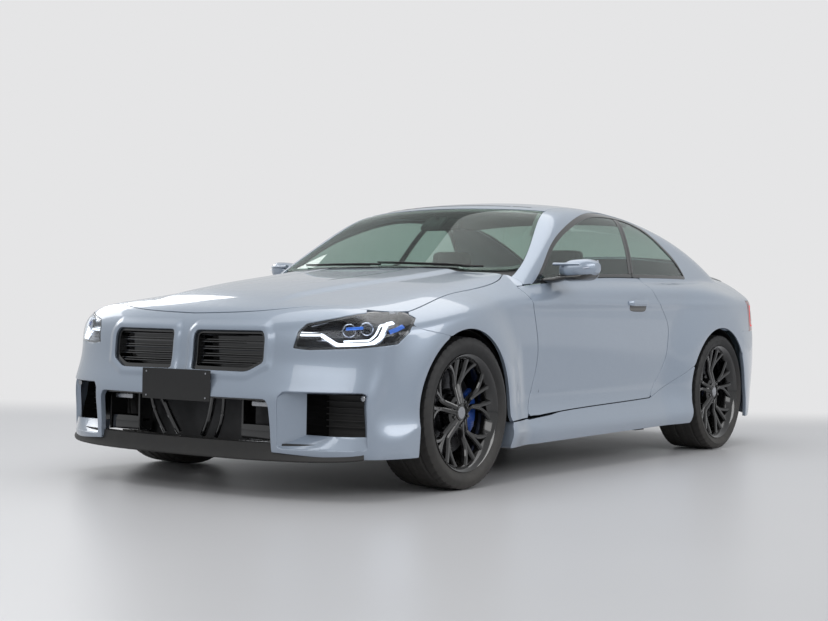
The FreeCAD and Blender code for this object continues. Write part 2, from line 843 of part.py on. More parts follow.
room_x0 = half_width * 0.4
room_y1 = length * -0.3
room_low = height * 0.5167
room_front = []
room_side = []
for i in range(13):
    x = mix(room_x0, half_width * 0.8786, i / 12)
    room_front.append((x, bonnet_front(x)))
    y = mix(bonnet_front(half_width * 0.8786), room_y1, i / 12)
    room_side.append((bonnet_side(y), y))
room_side[0] = room_front[-1]
bonnet_room = prism_z([room_front, room_side, (room_x0, room_y1)], room_low, height)

# Front bumper
bumper_reach = 80
nose_skin = skin(body, around(front_axle, -1, nose_bottom, nose_top, -bumper_reach, bumper_reach), 40, 16, skin_thick)
front_both = front_opening.fuse(mirrored(front_opening))
nose_cuts = [front_both]
kidney_shares = (
    (0.0615, 0.3685), (0.0615, 0.4882), (0.4557, 0.4918), (0.4642, 0.4704), (0.4642, 0.3991),
    (0.3837, 0.3685),
)
kidney = [(p[0] * half_width, p[1] * height) for p in kidney_shares]
intake_shares = (
    (0, 0.1675), (0, 0.2937), (0.5066, 0.2937), (0.5215, 0.2708), (0.5215, 0.1753),
    (0.4981, 0.1675),
)
intake = [(p[0] * half_width, p[1] * height) for p in intake_shares]
side_intake_shares = (
    (0.6275, 0.1839), (0.6275, 0.3065), (0.6423, 0.3179), (0.9009, 0.3179), (0.9136, 0.3108),
    (0.9136, 0.1896), (0.9009, 0.1825),
)
side_intake = [(p[0] * half_width, p[1] * height) for p in side_intake_shares]
nose_y0 = -length * 0.55
nose_y1 = length * -0.4148
for outline in (kidney, intake, side_intake):
    opening = prism_y(outline, nose_y0, nose_y1)
    nose_cuts += [opening, mirrored(opening)]


def slanted(shares, depth0, depth1):
    """An outline on a plane that faces the corner of the nose, carried inwards."""
    corner = Vector(lamp_x, lamp_y, 0)
    along = Vector(math.cos(lamp_turn), math.sin(lamp_turn), 0)
    out = Vector(math.sin(lamp_turn), -math.cos(lamp_turn), 0)
    start = corner + out * depth1
    return carried(shares, lambda a, b: start + along * (a * height) + up * (b * height), out * (depth0 - depth1))


lamp_x = half_width * 0.7239
lamp_y = length * -0.4231
lamp_turn = math.radians(45)
lamp_depth = half_width * 0.159
lamp_prism = slanted(lamp_shares, -lamp_depth, lamp_depth)
nose_cuts += [lamp_prism, mirrored(lamp_prism)]
above_seam = [line_points(seam_y0, front_axle, seam_line, -seam / 2), (front_axle, height), (seam_y0, height)]
nose_cuts.append(prism_x(above_seam, -far_x, far_x))
front_bumper = one(nose_skin.cut(nose_cuts))

# Headlamps: a clear lens over a dark housing
lamp_share = 0.992
lamp_middle_share = 0.4989
lamp_thick = half_width * 0.0636
lamp_low_shares = (
    (0, 0.3991), (1, 0.3991),
)
lamp_high_shares = (
    (0.1111, 0.5289), (0.3333, 0.5474), (0.5, 0.5602), (0.6667, 0.5674), (0.8889, 0.5524),
)
lamp_low = Curve(lamp_low_shares, right_angle, height)
lamp_high = Curve(lamp_high_shares, right_angle, height)
lens_back = glass_thick + seam


def inner_nose(x, y, z):
    """The nose form, drawn in by the lens and a hair."""
    a = abs(x)
    f = smooth_max(a - side_at(y, z) + lens_back, z - top_at(x, y) + lens_back, shoulder)
    front = nose_at(z) + end_curve(a, nose_width - lens_back, nose_depth, nose_power) + lens_back - y
    return smooth_max(f, front, nose_round)


lamp_inset = [(p[0] * lamp_share, mix(lamp_middle_share, p[1], lamp_share)) for p in lamp_shares]
lamp_inset = slanted(lamp_inset, -lamp_depth, lamp_depth)
lamp_rays = around(front_axle, -1, lamp_low, lamp_high, 20, 76)
lens_left = one(skin(body, lamp_rays, 24, 10, glass_thick).common(lamp_inset))
lens_left = one(lens_left.cut(bonnet_room))
lens_room = skin(body, lamp_rays, 24, 10, lens_back)
housing_left = skin(inner_nose, lamp_rays, 24, 10, lamp_thick, None, True).common(lamp_inset)
for tool in (front_opening, lens_room, bonnet_room):
    housing_left = one(housing_left.cut(tool))
fender_left = one(fender_left.cut(lamp_prism))
feature("headlamp_lenses", Part.makeCompound([lens_left, mirrored(lens_left)]))
feature("headlamp_housings", Part.makeCompound([housing_left, mirrored(housing_left)]))

# Rear bumper, diffuser, boot lid, tail lamps
tail_reach = 80
tail_rays = around(rear_axle, 1, tail_bottom, tail_top, -tail_reach, tail_reach)
tail_skin = skin(body, tail_rays, 36, 14, skin_thick)
rear_both = rear_opening.fuse(mirrored(rear_opening))
tail_cut = tail_skin.cut(rear_both)
tail_zone = prism_x(
    (
        (tail_seam_y + seam / 2, foot_level),
        (tail_seam_y + seam / 2, tail_seam_z - seam / 2),
        (length, tail_seam_z - seam / 2),
        (length, foot_level),
    ),
    -far_x,
    far_x,
)
diffuser_shares = (
    (-0.56, 0.0713), (-0.545, 0.152), (-0.4, 0.2402), (0.4, 0.2402), (0.545, 0.152), (0.56, 0.0713),
)
diffuser_prism = prism_y([(p[0] * half_width, p[1] * height) for p in diffuser_shares], length * 0.4, length)
bumper_grow = 1 + seam / (half_width * 0.56)
bumper_hole = prism_y(
    [(p[0] * half_width * bumper_grow, p[1] * height + seam) for p in diffuser_shares],
    length * 0.4,
    length,
)
rear_bumper = one(one(tail_cut.common(tail_zone)).cut(bumper_hole))
diffuser = one(tail_skin.common(diffuser_prism))

lid_centre_y = length * 0.3843
lid_centre_z = height * 0.5417
lid_low = height * 0.5053
lid_rear_y = length * 0.4541


def lid_ray(u, v):
    """Rays fanned in planes along the car, from the rear window down to the plate."""
    a0 = math.atan2(deck_at(lid_y0) - lid_centre_z, lid_y0 - lid_centre_y)
    a1 = math.atan2(lid_low - lid_centre_z, tail_at(lid_low) - lid_centre_y)
    t = mix(a0, a1, v)
    way = Vector(0, math.cos(t), math.sin(t))
    side = lid_half_front
    for _ in range(2):
        p = hit(whole, Vector(side, lid_centre_y, lid_centre_z), way)
        side = quarter_edge(min(p.y, lid_rear_y)) - gap
    return Vector(mix(-side, side, u), lid_centre_y, lid_centre_z), way


boot_lid_skin = skin(whole, lid_ray, 18, 26, skin_thick)
lid_front_zone = prism_x(((0, 0), (0, height), (lid_y0, height), (lid_y0, 0)), -far_x, far_x)
lid_low_zone = prism_x(((lid_y0, 0), (lid_y0, lid_low), (length, lid_low), (length, 0)), -far_x, far_x)
boot_lid_skin = one(boot_lid_skin.cut(lid_front_zone))
boot_lid_skin = one(boot_lid_skin.cut(lid_low_zone))


def sector(angle0, angle1, z0, z1):
    """A wedge about the rear axle's middle, cut from the tail's corner."""
    points = [(0, rear_axle)]
    for t in (angle0, angle1):
        points.append((length * math.sin(math.radians(t)), rear_axle + length * math.cos(math.radians(t))))
    return prism_z(points, z0, z1)


tail_lamp_low = height * 0.5004 + seam / 2
tail_lamp_high = height * 0.6344
tail_lamp_start = 39
tail_lamp_end = 62
lamp_edge = math.degrees(seam / (half_width * 0.9))
lamp_line_low_shares = (
    (0, 0.4918), (1, 0.4918),
)
lamp_line_high_shares = (
    (0, 0.645), (1, 0.645),
)
lamp_line_low = Curve(lamp_line_low_shares, right_angle, height)
lamp_line_high = Curve(lamp_line_high_shares, right_angle, height)
tail_lamp_rays = around(rear_axle, 1, lamp_line_low, lamp_line_high, 30, 70)
tail_lamp_skin = skin(body, tail_lamp_rays, 16, 8, skin_thick)
lamp_sector = sector(tail_lamp_start, tail_lamp_end, tail_lamp_low, tail_lamp_high)
tail_lamp = one(tail_lamp_skin.common(lamp_sector))
lamp_hole = sector(tail_lamp_start - right_angle / 5, tail_lamp_end + lamp_edge, tail_lamp_low - seam, tail_lamp_high + seam)
quarter_left = one(quarter_left.cut(lamp_hole))
feature("tail_lamps", Part.makeCompound([tail_lamp, mirrored(tail_lamp)]))


def block(name, shares):
    """A box whose edges are shares of the car's size, bound to the sheet."""
    item = doc.addObject("Part::Box", name)
    item.setExpression("Length", "sheet.bodyWidth * %.6f" % ((shares[1] - shares[0]) / 2))
    item.setExpression("Width", "sheet.bodyLength * %.6f" % (shares[3] - shares[2]))
    item.setExpression("Height", "sheet.bodyHeight * %.6f" % (shares[5] - shares[4]))
    place = Vector(shares[0] * half_width, shares[2] * length, shares[4] * height)
    item.Placement = FreeCAD.Placement(place, FreeCAD.Rotation())
    return item


def box(shares):
    """The same box as a plain shape."""
    wide = (shares[1] - shares[0]) * half_width
    deep = (shares[3] - shares[2]) * length
    tall = (shares[5] - shares[4]) * height
    corner = Vector(shares[0] * half_width, shares[2] * length, shares[4] * height)
    return Part.makeBox(wide, deep, tall, corner)


def joined(name, items):
    item = doc.addObject("Part::MultiFuse", name)
    item.Shapes = items
    item.Refine = True
    item.Label = name
    return item


def pair(shares):
    """The shares of a box's mirror image."""
    return (-shares[1], -shares[0]) + tuple(shares[2:])


def both(shares):
    return [box(shares), box(pair(shares))]


def across(x0, x1, y, z, r):
    return Part.makeCylinder(r, x1 - x0, Vector(x0, y, z), Vector(1, 0, 0))


def upright(x, y, z0, z1, r):
    return Part.makeCylinder(r, z1 - z0, Vector(x, y, z0), up)


def along(x, y0, y1, z, r):
    return Part.makeCylinder(r, y1 - y0, Vector(x, y0, z), Vector(0, 1, 0))


def two_sides(shape):
    return Part.makeCompound([shape, mirrored(shape)])


def fused(shapes):
    return shapes[0].fuse(shapes[1:]).removeSplitter()


# Floor: two footwells, a tunnel, the rear seat's step, the boot floor and the rear shelf
floor_left_shares = (0.1569, 0.8475, -0.2092, 0.1528, 0.1126, 0.1283)
tunnel_side_shares = (0.1378, 0.1569, -0.2092, 0.1528, 0.1126, 0.2495)
tunnel_top_shares = (-0.1378, 0.1378, -0.2092, 0.1572, 0.2352, 0.2495)
step_shares = (0.1378, 0.6571, 0.1528, 0.1572, 0.1126, 0.335)
step_middle_shares = (-0.1378, 0.1378, 0.1528, 0.1572, 0.2495, 0.335)
boot_floor_shares = (-0.6571, 0.6571, 0.1572, 0.4672, 0.3207, 0.335)
sill_shares = (0.8161, 0.8475, -0.2092, 0.1528, 0.1283, 0.1939)
pad_front_shares = (0.7419, 0.8267, -0.1681, -0.1463, 0.1041, 0.1126)
pad_rear_shares = (0.7419, 0.8267, 0.1135, 0.1354, 0.1041, 0.1126)
seat_wall_shares = (-0.6571, 0.6571, 0.2358, 0.2397, 0.335, 0.69)
shelf_shares = (-0.6571, 0.6571, 0.2358, 0.3629, 0.6771, 0.69)
# Hinge sizes
barrel = size("hingeBarrelRadius")
pin_radius = size("hingePinRadius")
hinge_levels = (height * 0.2994, height * 0.5274)
barrel_half = height * 0.0128
pin_half = height * 0.0299
arm_half = height * 0.0064
post_x = half_width * 0.7419
clear = gap - fit * 10

# Bulkhead with the hinge posts, the fixed hinge halves and the bonnet's brackets
wall_shares = (-0.7419, 0.7419, -0.2135, -0.2092, 0.1283, 0.6444)
wall_low_shares = (-0.8475, 0.8475, -0.2135, -0.2092, 0.1126, 0.1283)
wall_hole_shares = (-0.1378, 0.1378, -0.2162, -0.2052, 0.0713, 0.2352)
post_shares = (0.6783, 0.7419, -0.2092, -0.1507, 0.1285, 0.6415)
cowl_shares = (-0.7419, 0.7419, -0.2092, -0.1965, 0.6344, 0.6444)
bonnet_hinge_y = length * -0.1627
bonnet_hinge_z = height * 0.6664
bracket_shares = (
    (0.6359, 0.6508, -0.2092, -0.1627, 0.6344, 0.6522),
    (0.7059, 0.7207, -0.2092, -0.1627, 0.6344, 0.6522),
)
bonnet_lug_shares = (0.6571, 0.6995)


def hinge_arm(z):
    """A hinge's fixed half: an arm from the post, its barrel and the pin."""
    reach_x = hinge_x - post_x + barrel / 2
    start = Vector(post_x - barrel / 2, hinge_y - barrel * 0.8, z - arm_half)
    arm = Part.makeBox(reach_x, barrel * 1.6, arm_half * 2, start)
    ring = upright(hinge_x, hinge_y, z - barrel_half, z + barrel_half, barrel)
    pin = upright(hinge_x, hinge_y, z - pin_half, z + pin_half, pin_radius)
    return arm.fuse([ring, pin])


bracket_parts = []
for shares in bracket_shares:
    bracket_parts.append(box(shares))
    x0 = shares[0] * half_width
    x1 = shares[1] * half_width
    bracket_parts.append(across(x0, x1, bonnet_hinge_y, bonnet_hinge_z, barrel))
    web = Part.makeBox(x1 - x0, barrel * 2, barrel * 2, Vector(x0, bonnet_hinge_y - barrel, bonnet_hinge_z - barrel * 2))
    bracket_parts.append(web)
pin_x0 = bracket_shares[0][0] * half_width
pin_x1 = bracket_shares[1][1] * half_width
bracket_parts.append(across(pin_x0, pin_x1, bonnet_hinge_y, bonnet_hinge_z, pin_radius))
for z in hinge_levels:
    bracket_parts.append(hinge_arm(z))
bulkhead = [box(wall_shares), box(wall_low_shares), box(cowl_shares)] + both(post_shares)
bulkhead += bracket_parts + [mirrored(p) for p in bracket_parts]
bulkhead = fused(bulkhead).cut(box(wall_hole_shares))
feature("bulkhead", bulkhead)

# Doors with the moving hinge halves, panes and mirrors
for z in hinge_levels:
    tall = barrel_half + clear
    notch = Part.makeBox(
        hinge_x + barrel + clear - post_x,
        hinge_y + barrel + clear - door_y0,
        tall * 2,
        Vector(post_x, door_y0, z - tall),
    )
    bore = upright(hinge_x, hinge_y, z - pin_half - clear, z + pin_half + clear, pin_radius + fit)
    door_left = door_left.cut(notch.fuse(bore))
door_left = one(door_left)
mirror_foot_shares = (0.8638, 0.9857, -0.1227, -0.1103, 0.6593, 0.6857)
mirror_head_shares = (0.9592, 1.0959, -0.1026, -0.0764, 0.6757, 0.747)
mirror_arm_shares = (0.9433, 0.991, -0.1227, -0.0764, 0.6757, 0.6928)
mirror_left = fused([box(mirror_foot_shares), box(mirror_head_shares), box(mirror_arm_shares)])
grown_pane = prism_x(glass_outline(house_y0, rear_window_y1, 0.0, gap), 0, half_width * 0.8755)
mirror_left = one(mirror_left.cut(door_left).cut(grown_pane))
feature("door_left", door_left)
feature("door_right", mirrored(door_left))
feature("door_glass_left", door_pane)
feature("door_glass_right", mirrored(door_pane))
feature("mirror_left", mirror_left)
feature("mirror_right", mirrored(mirror_left))
feature("quarter_glass", two_sides(rear_pane))
feature("fender_left", fender_left)
feature("fender_right", mirrored(fender_left))
feature("quarter_left", quarter_left)
feature("quarter_right", mirrored(quarter_left))
feature("pillar_left", pillar_left)
feature("pillar_right", mirrored(pillar_left))
feature("side_skirts", two_sides(skirt_left))
feature("roof_panel", roof_panel)
feature("windscreen", windscreen)
feature("rear_window", rear_window)
feature("front_bumper", front_bumper)
feature("rear_bumper", rear_bumper)

# Bonnet with its hinge arms
lug_x0 = bonnet_lug_shares[0] * half_width
lug_x1 = bonnet_lug_shares[1] * half_width
bonnet_arm_shares = (0.6656, 0.691, -0.1965, -0.1627, 0.6593, 0.6728)
lug = across(lug_x0, lug_x1, bonnet_hinge_y, bonnet_hinge_z, barrel)
bonnet_arm = lug.fuse(box(bonnet_arm_shares)).cut(across(lug_x0, lug_x1, bonnet_hinge_y, bonnet_hinge_z, pin_radius + fit))
bonnet = one(bonnet_skin.fuse([bonnet_arm, mirrored(bonnet_arm)]))
feature("bonnet", bonnet)

# Boot lid with its hinge lugs, and the shelf's brackets
lid_hinge_y = length * 0.3603
lid_hinge_z = height * 0.7377
lid_lug_shares = (0.4293, 0.4822)
lid_web_shares = (0.4293, 0.4822, 0.3583, 0.3622, 0.7377, 0.7569)
lug_x0 = lid_lug_shares[0] * half_width
lug_x1 = lid_lug_shares[1] * half_width
lid_lug = across(lug_x0, lug_x1, lid_hinge_y, lid_hinge_z, barrel).fuse(box(lid_web_shares))
lid_lug = lid_lug.cut(across(lug_x0, lug_x1, lid_hinge_y, lid_hinge_z, pin_radius + fit))
boot_lid = one(boot_lid_skin.fuse([lid_lug, mirrored(lid_lug)]))
feature("boot_lid", boot_lid)
lid_arm_shares = ((0.4028, 0.4229, 0.3583, 0.3622, 0.6771, 0.7377), (0.4886, 0.5087, 0.3583, 0.3622, 0.6771, 0.7377))
shelf_parts = [box(shelf_shares)]
for shares in lid_arm_shares:
    x0 = shares[0] * half_width
    x1 = shares[1] * half_width
    part = box(shares).fuse(across(x0, x1, lid_hinge_y, lid_hinge_z, barrel * 0.75))
    shelf_parts += [part, mirrored(part)]
pin = across(lid_arm_shares[0][0] * half_width, lid_arm_shares[1][1] * half_width, lid_hinge_y, lid_hinge_z, pin_radius)
shelf_parts += [pin, mirrored(pin)]
shelf = feature("shelf", fused(shelf_parts))
floor_pan = joined("floor_pan", [
    block("floor_left", floor_left_shares),
    block("floor_right", pair(floor_left_shares)),
    block("tunnel_left", tunnel_side_shares),
    block("tunnel_right", pair(tunnel_side_shares)),
    block("tunnel_top", tunnel_top_shares),
    block("step_left", step_shares),
    block("step_right", pair(step_shares)),
    block("step_middle", step_middle_shares),
    block("boot_floor", boot_floor_shares),
    block("sill_left", sill_shares),
    block("sill_right", pair(sill_shares)),
    block("seat_wall", seat_wall_shares),
    block("pad_front_left", pad_front_shares),
    block("pad_front_right", pair(pad_front_shares)),
    block("pad_rear_left", pad_rear_shares),
    block("pad_rear_right", pair(pad_rear_shares)),
    shelf,
])


# Front end: splitter, grilles and the dark trim below the windscreen
splitter_low_shares = (
    (0, 0.1069), (0.3333, 0.1069), (0.5, 0.1041), (0.6667, 0.1012), (0.8889, 0.1069),
)
splitter_low = Curve(splitter_low_shares, right_angle, height)


def splitter_top(t):
    return nose_bottom(t) - seam


splitter_rays = around(front_axle, -1, splitter_low, splitter_top, -54, 54)
front_splitter = skin(body, splitter_rays, 24, 4, skin_thick * 2)
feature("front_splitter", front_splitter)

grille_back = half_width * 0.0095
slat = height * 0.0107
grille_rays = around(front_axle, -1, nose_bottom, nose_top, -56, 56)


def sunk_nose(x, y, z):
    """The nose form, drawn in by the depth of the grilles."""
    a = abs(x)
    f = z - top_at(x, y) + grille_back
    front = nose_at(z) + end_curve(a, nose_width - grille_back, nose_depth, nose_power) + grille_back - y
    return smooth_max(f, front, nose_round)


grille_skin = skin(sunk_nose, grille_rays, 40, 14, grille_back * 1.3)
grille_parts = []
grille_rows = (
    (kidney, 0.0615, 0.4642, 0.3792, 0.479, 6),
    (side_intake, 0.6275, 0.9136, 0.1924, 0.3079, 5),
)
for outline, left, right, low, high, count in grille_rows:
    centre_x = (left + right) / 2 * half_width
    centre_z = (low + high) / 2 * height
    half_x = (right - left) / 2 * half_width
    grow_x = 1 - seam / half_x
    grow_z = 1 - seam / ((high - low) / 2 * height)
    tight = [(mix(centre_x, p[0], grow_x), mix(centre_z, p[1], grow_z)) for p in outline]
    plate = grille_skin.common(prism_y(tight, nose_y0, nose_y1))
    step = (high - low) * height / count
    slots = []
    for k in range(count):
        z0 = low * height + step * k + (step - slat) / 2
        x_in = (left + 0.03) * half_width
        x_out = (right - 0.03) * half_width
        slots.append(Part.makeBox(x_out - x_in, nose_y1 - nose_y0, slat, Vector(x_in, nose_y0, z0)))
    plate = one(plate.cut(slots))
    grille_parts.append(plate)
    grille_parts.append(mirrored(plate))
mesh_low_shares = ((0, 0.168), (1, 0.168))
mesh_high_shares = ((0, 0.2932), (1, 0.2932))
mesh_low = Curve(mesh_low_shares, right_angle, height)
mesh_high = Curve(mesh_high_shares, right_angle, height)
plate = skin(sunk_nose, around(front_axle, -1, mesh_low, mesh_high, -29, 29), 24, 4, grille_back * 1.3)
slots = []
for k in range(5):
    z0 = 0.1796 * height + k * height * 0.0214
    wide = half_width * 0.91
    slots.append(Part.makeBox(wide, nose_y1 - nose_y0, slat, Vector(-wide / 2, nose_y0, z0)))
grille_parts.append(one(plate.cut(slots)))
feature("front_grilles", Part.makeCompound(grille_parts))

# Exhaust and diffuser
tip_shares = (0.2014, 0.3307)
tip_radius = half_width * 0.0509
tip_wall = half_width * 0.0042
tip_z = height * 0.2017
tip_y0 = length * 0.4321
tip_y1 = length * 0.4961
silencer_shares = (-0.4557, 0.4557, 0.3712, 0.4323, 0.1675, 0.2851)
hanger_shares = (0.318, 0.3498, 0.393, 0.3996, 0.2844, 0.3205)
pipe_x = half_width * 0.1007
pipe_z = height * 0.1311
pipe_radius = half_width * 0.0286
pipe_y0 = length * -0.1965
pipe_y1 = length * 0.3799
riser_shares = (0.0721, 0.1293, 0.3714, 0.3799, 0.1162, 0.1782)
exhaust = [box(silencer_shares), box(hanger_shares), box(pair(hanger_shares))]
exhaust += both(riser_shares)
pipe = along(pipe_x, pipe_y0, pipe_y1, pipe_z, pipe_radius)
exhaust += [pipe, mirrored(pipe)]
bores = []
for share in tip_shares:
    tip = along(share * half_width, tip_y0, tip_y1, tip_z, tip_radius)
    bore = along(share * half_width, tip_y0 + tip_radius, tip_y1 + tip_wall, tip_z, tip_radius - tip_wall)
    exhaust += [tip, mirrored(tip)]
    bores += [bore, mirrored(bore)]
    hole = along(share * half_width, tip_y0, tip_y1 + tip_radius, tip_z, tip_radius + seam)
    diffuser = diffuser.cut(hole.fuse(mirrored(hole)))
    rear_bumper = rear_bumper.cut(hole.fuse(mirrored(hole)))
feature("exhaust", fused(exhaust).cut(bores))
feature("diffuser", one(diffuser))

# Cabin: dashboard with the column, front seats, rear seat
dash_shares = (-0.7419, 0.7419, -0.1506, -0.0939, 0.4562, 0.6664)
dash_foot_shares = (-0.1272, 0.1272, -0.1506, -0.0655, 0.2498, 0.4562)
wheel_x = half_width * 0.3922
wheel_y = length * -0.0721
wheel_z = height * 0.5809
rake = math.radians(24)
column_way = Vector(0, math.cos(rake), math.sin(rake))
column_radius = half_width * 0.0254
stub_radius = half_width * 0.0117
column_long = length * 0.0371
stub_long = length * 0.0087
wheel_centre = Vector(wheel_x, wheel_y, wheel_z)
column = Part.makeCylinder(column_radius, column_long, wheel_centre - column_way * (column_long + stub_long), column_way)
stub = Part.makeCylinder(stub_radius, stub_long * 1.8, wheel_centre - column_way * stub_long * 1.4, column_way)
dashboard = fused([box(dash_shares), box(dash_foot_shares), column, stub])
feature("dashboard", dashboard)
rim_radius = half_width * 0.1929
grip = half_width * 0.0159
boss_radius = half_width * 0.0657
ring = Part.makeTorus(rim_radius, grip, wheel_centre, column_way)
boss_start = wheel_centre - column_way * (stub_long * 0.7)
boss = Part.makeCylinder(boss_radius, stub_long * 1.3, boss_start, column_way)
across_bar = Part.makeBox(rim_radius * 2, grip, grip * 2.2, Vector(-rim_radius, -grip / 2, -grip * 1.1))
down_bar = Part.makeBox(grip * 2.2, grip, rim_radius, Vector(-grip * 1.1, -grip / 2, -rim_radius))
bars = across_bar.fuse(down_bar)
bars.rotate(Vector(0, 0, 0), Vector(1, 0, 0), math.degrees(rake))
bars.translate(wheel_centre)
steering_wheel = fused([ring, boss, bars])
steering_wheel = steering_wheel.cut(Part.makeCylinder(stub_radius + fit, stub_long * 1.8, wheel_centre - column_way * stub_long * 1.38, column_way))
feature("steering_wheel", steering_wheel)

seat_x = half_width * 0.3922
seat_profile_shares = (
    (-0.0502, 0.2138), (-0.0546, 0.2851), (-0.0491, 0.3051), (0.0262, 0.2851),
    (0.0448, 0.2994), (0.0721, 0.7056), (0.0873, 0.7128), (0.0913, 0.7021), (0.0753, 0.3065),
    (0.0655, 0.2138),
)
seat_half = half_width * 0.2279
seat_foot_shares = (0.212, 0.5723, -0.0393, 0.0524, 0.1285, 0.2145)
head_shares = (0.2544, 0.5299, 0.079, 0.0961, 0.7185, 0.8197)
neck_shares = (0.3498, 0.4346, 0.0834, 0.0878, 0.6842, 0.7199)
seat_points = [(p[0] * length, p[1] * height) for p in seat_profile_shares]
seat = fused([
    prism_x(seat_points, seat_x - seat_half, seat_x + seat_half),
    box(seat_foot_shares),
    box(head_shares),
    box(neck_shares),
])
feature("front_seats", two_sides(seat))
bench_shares = (-0.5935, 0.5935, 0.131, 0.2314, 0.3352, 0.3991)
bench_back_shares = (-0.5935, 0.5935, 0.214, 0.2357, 0.3991, 0.67)
rear_seat = joined("rear_seat", [block("bench", bench_shares), block("bench_back", bench_back_shares)])

# Running gear
engine_shares = (-0.2862, 0.2862, -0.3581, -0.2205, 0.1924, 0.556)
engine = block("engine_block", engine_shares)
engine.Label = "engine"
gearbox_radius = half_width * 0.0721
shaft_radius = half_width * 0.036
half_shaft_radius = half_width * 0.018
drive_z = height * 0.1825
gear_y0 = length * -0.2205
gear_y1 = length * -0.0721
diff_y = length * 0.2598
final_shares = (-0.1166, 0.1166, 0.2587, 0.3166, 0.1532, 0.2851)
bell_shares = (-0.0636, 0.0636, -0.2205, -0.2151, 0.1825, 0.2566)
upright_x = size("rearTrack") / 2 - half_width * 0.1113
driveline = fused([
    along(0, gear_y0, gear_y1, drive_z, gearbox_radius),
    along(0, gear_y1 - shaft_radius, diff_y, drive_z, shaft_radius),
    box(final_shares),
    box(bell_shares),
    across(-upright_x + seam / 2, upright_x - seam / 2, rear_axle, rear_hub, half_shaft_radius),
])
feature("driveline", driveline)

kingpin_radius = half_width * 0.0148
lower_z0 = height * 0.1461
lower_z1 = height * 0.1632
upper_z0 = height * 0.3136
upper_z1 = height * 0.3307
arm_ring = kingpin_radius * 1.9
cross_shares = (-0.4028, 0.4028, -0.3275, -0.2948, 0.1461, 0.1922)
rail_shares = (0.424, 0.4897, -0.4493, -0.2136, 0.2851, 0.3706)
tower_shares = (0.3604, 0.4261, -0.3275, -0.2948, 0.1461, 0.3706)
beam_shares = (-0.6359, 0.6359, -0.4585, -0.4493, 0.2994, 0.3706)
lower_arm_shares = (0.4028, 0.7525, -0.3157, -0.3061, 0.1461, 0.1632)
upper_arm_shares = (0.4769, 0.7525, -0.3157, -0.3061, 0.3136, 0.3307)
front_parts = [box(cross_shares), box(beam_shares)]
front_parts += both(rail_shares) + both(tower_shares) + both(lower_arm_shares) + both(upper_arm_shares)
eyes = [
    upright(kingpin_x, front_axle, lower_z0, lower_z1, arm_ring),
    upright(kingpin_x, front_axle, upper_z0, upper_z1, arm_ring),
]
holes = [upright(kingpin_x, front_axle, lower_z0 - gap, upper_z1 + gap, kingpin_radius + fit)]
front_parts += eyes + [mirrored(e) for e in eyes]
front_subframe = fused(front_parts).cut(holes + [mirrored(p) for p in holes])
feature("front_subframe", front_subframe)

rear_rail_shares = (0.4981, 0.5617, 0.2183, 0.3603, 0.2887, 0.3205)
rear_cross_shares = (-0.5617, 0.5617, 0.3275, 0.3406, 0.2887, 0.3205)
rear_upper_shares = (0.5299, 0.7419, 0.2838, 0.2939, 0.2922, 0.3093)
rear_lower_shares = (0.5299, 0.7419, 0.2838, 0.2939, 0.1582, 0.1753)
rear_drop_shares = (0.4981, 0.5617, 0.2817, 0.2961, 0.1582, 0.2922)
stub_axle = half_width * 0.0254
rear_plate = across(upright_x, upright_x + half_width * 0.036, rear_axle, rear_hub, half_width * 0.1272)
rear_pin_end = size("rearTrack") / 2 + half_width * 0.0318
rear_pin = across(upright_x, rear_pin_end, rear_axle, rear_hub, stub_axle)
drop = box(rear_drop_shares).cut(across(0, half_width, rear_axle, rear_hub, half_shaft_radius * 1.6))
rear_parts = [box(rear_cross_shares)] + both(rear_rail_shares) + both(rear_upper_shares) + both(rear_lower_shares)
rear_parts += [drop, mirrored(drop), rear_plate, mirrored(rear_plate), rear_pin, mirrored(rear_pin)]
feature("rear_subframe", fused(rear_parts))

# Steered knuckles with their stub axles and brake calipers
disc_share = 0.735
disc_front_radius = size("frontRimRadius") * disc_share
front_wheel_x = size("frontTrack") / 2


def knuckle():
    body_x0 = kingpin_x - kingpin_radius * 1.6
    plate = across(body_x0, kingpin_x + kingpin_radius * 1.8, front_axle, front_hub, half_width * 0.07)
    king = upright(kingpin_x, front_axle, lower_z0 + fit, upper_z1 - fit, kingpin_radius)
    pin = across(kingpin_x, front_wheel_x + half_width * 0.0297, front_axle, front_hub, stub_axle)
    caliper = Part.makeBox(
        half_width * 0.1017,
        length * 0.012,
        height * 0.1069,
        Vector(half_width * 0.7769, front_axle + length * 0.0328, front_hub - height * 0.05345),
    )
    slot = across(
        half_width * 0.8076,
        half_width * 0.85,
        front_axle,
        front_hub,
        disc_front_radius + gap * 0.85,
    )
    bracket = Part.makeBox(
        half_width * 0.0254,
        length * 0.0371,
        height * 0.0428,
        Vector(half_width * 0.7546, front_axle, front_hub - height * 0.0214),
    )
    return fused([plate, king, pin, caliper.cut(slot), bracket])


knuckle_left = one(knuckle())
feature("knuckle_left", knuckle_left)
feature("knuckle_right", mirrored(knuckle_left))


# Wheels and tyres
def profile(sketch, points):
    """Closes a run of points in a sketch."""
    count = len(points)
    for i in range(count):
        p = points[i]
        q = points[(i + 1) % count]
        sketch.addGeometry(Part.LineSegment(Vector(p[0], p[1], 0), Vector(q[0], q[1], 0)), False)


def origin_plane(body_item, role):
    for item in body_item.Origin.OriginFeatures:
        if item.Role == role:
            return item


rim_shares = ((-0.47, 1.0), (0.5, 1.0), (0.5, 0.93), (0.42, 0.9), (0.36, 0.905), (-0.4, 0.88), (-0.45, 0.9), (-0.47, 0.93))
hub_shares = (
    (-0.19, 0.0952),
    (0.12, 0.0952),
    (0.12, 0.0),
    (0.3, 0.0),
    (0.3, 0.12),
    (0.26, 0.3),
    (0.14, 0.3),
    (0.06, 0.24),
    (-0.03, 0.24),
    (-0.03, disc_share),
    (-0.13, disc_share),
    (-0.13, 0.24),
    (-0.19, 0.24),
)


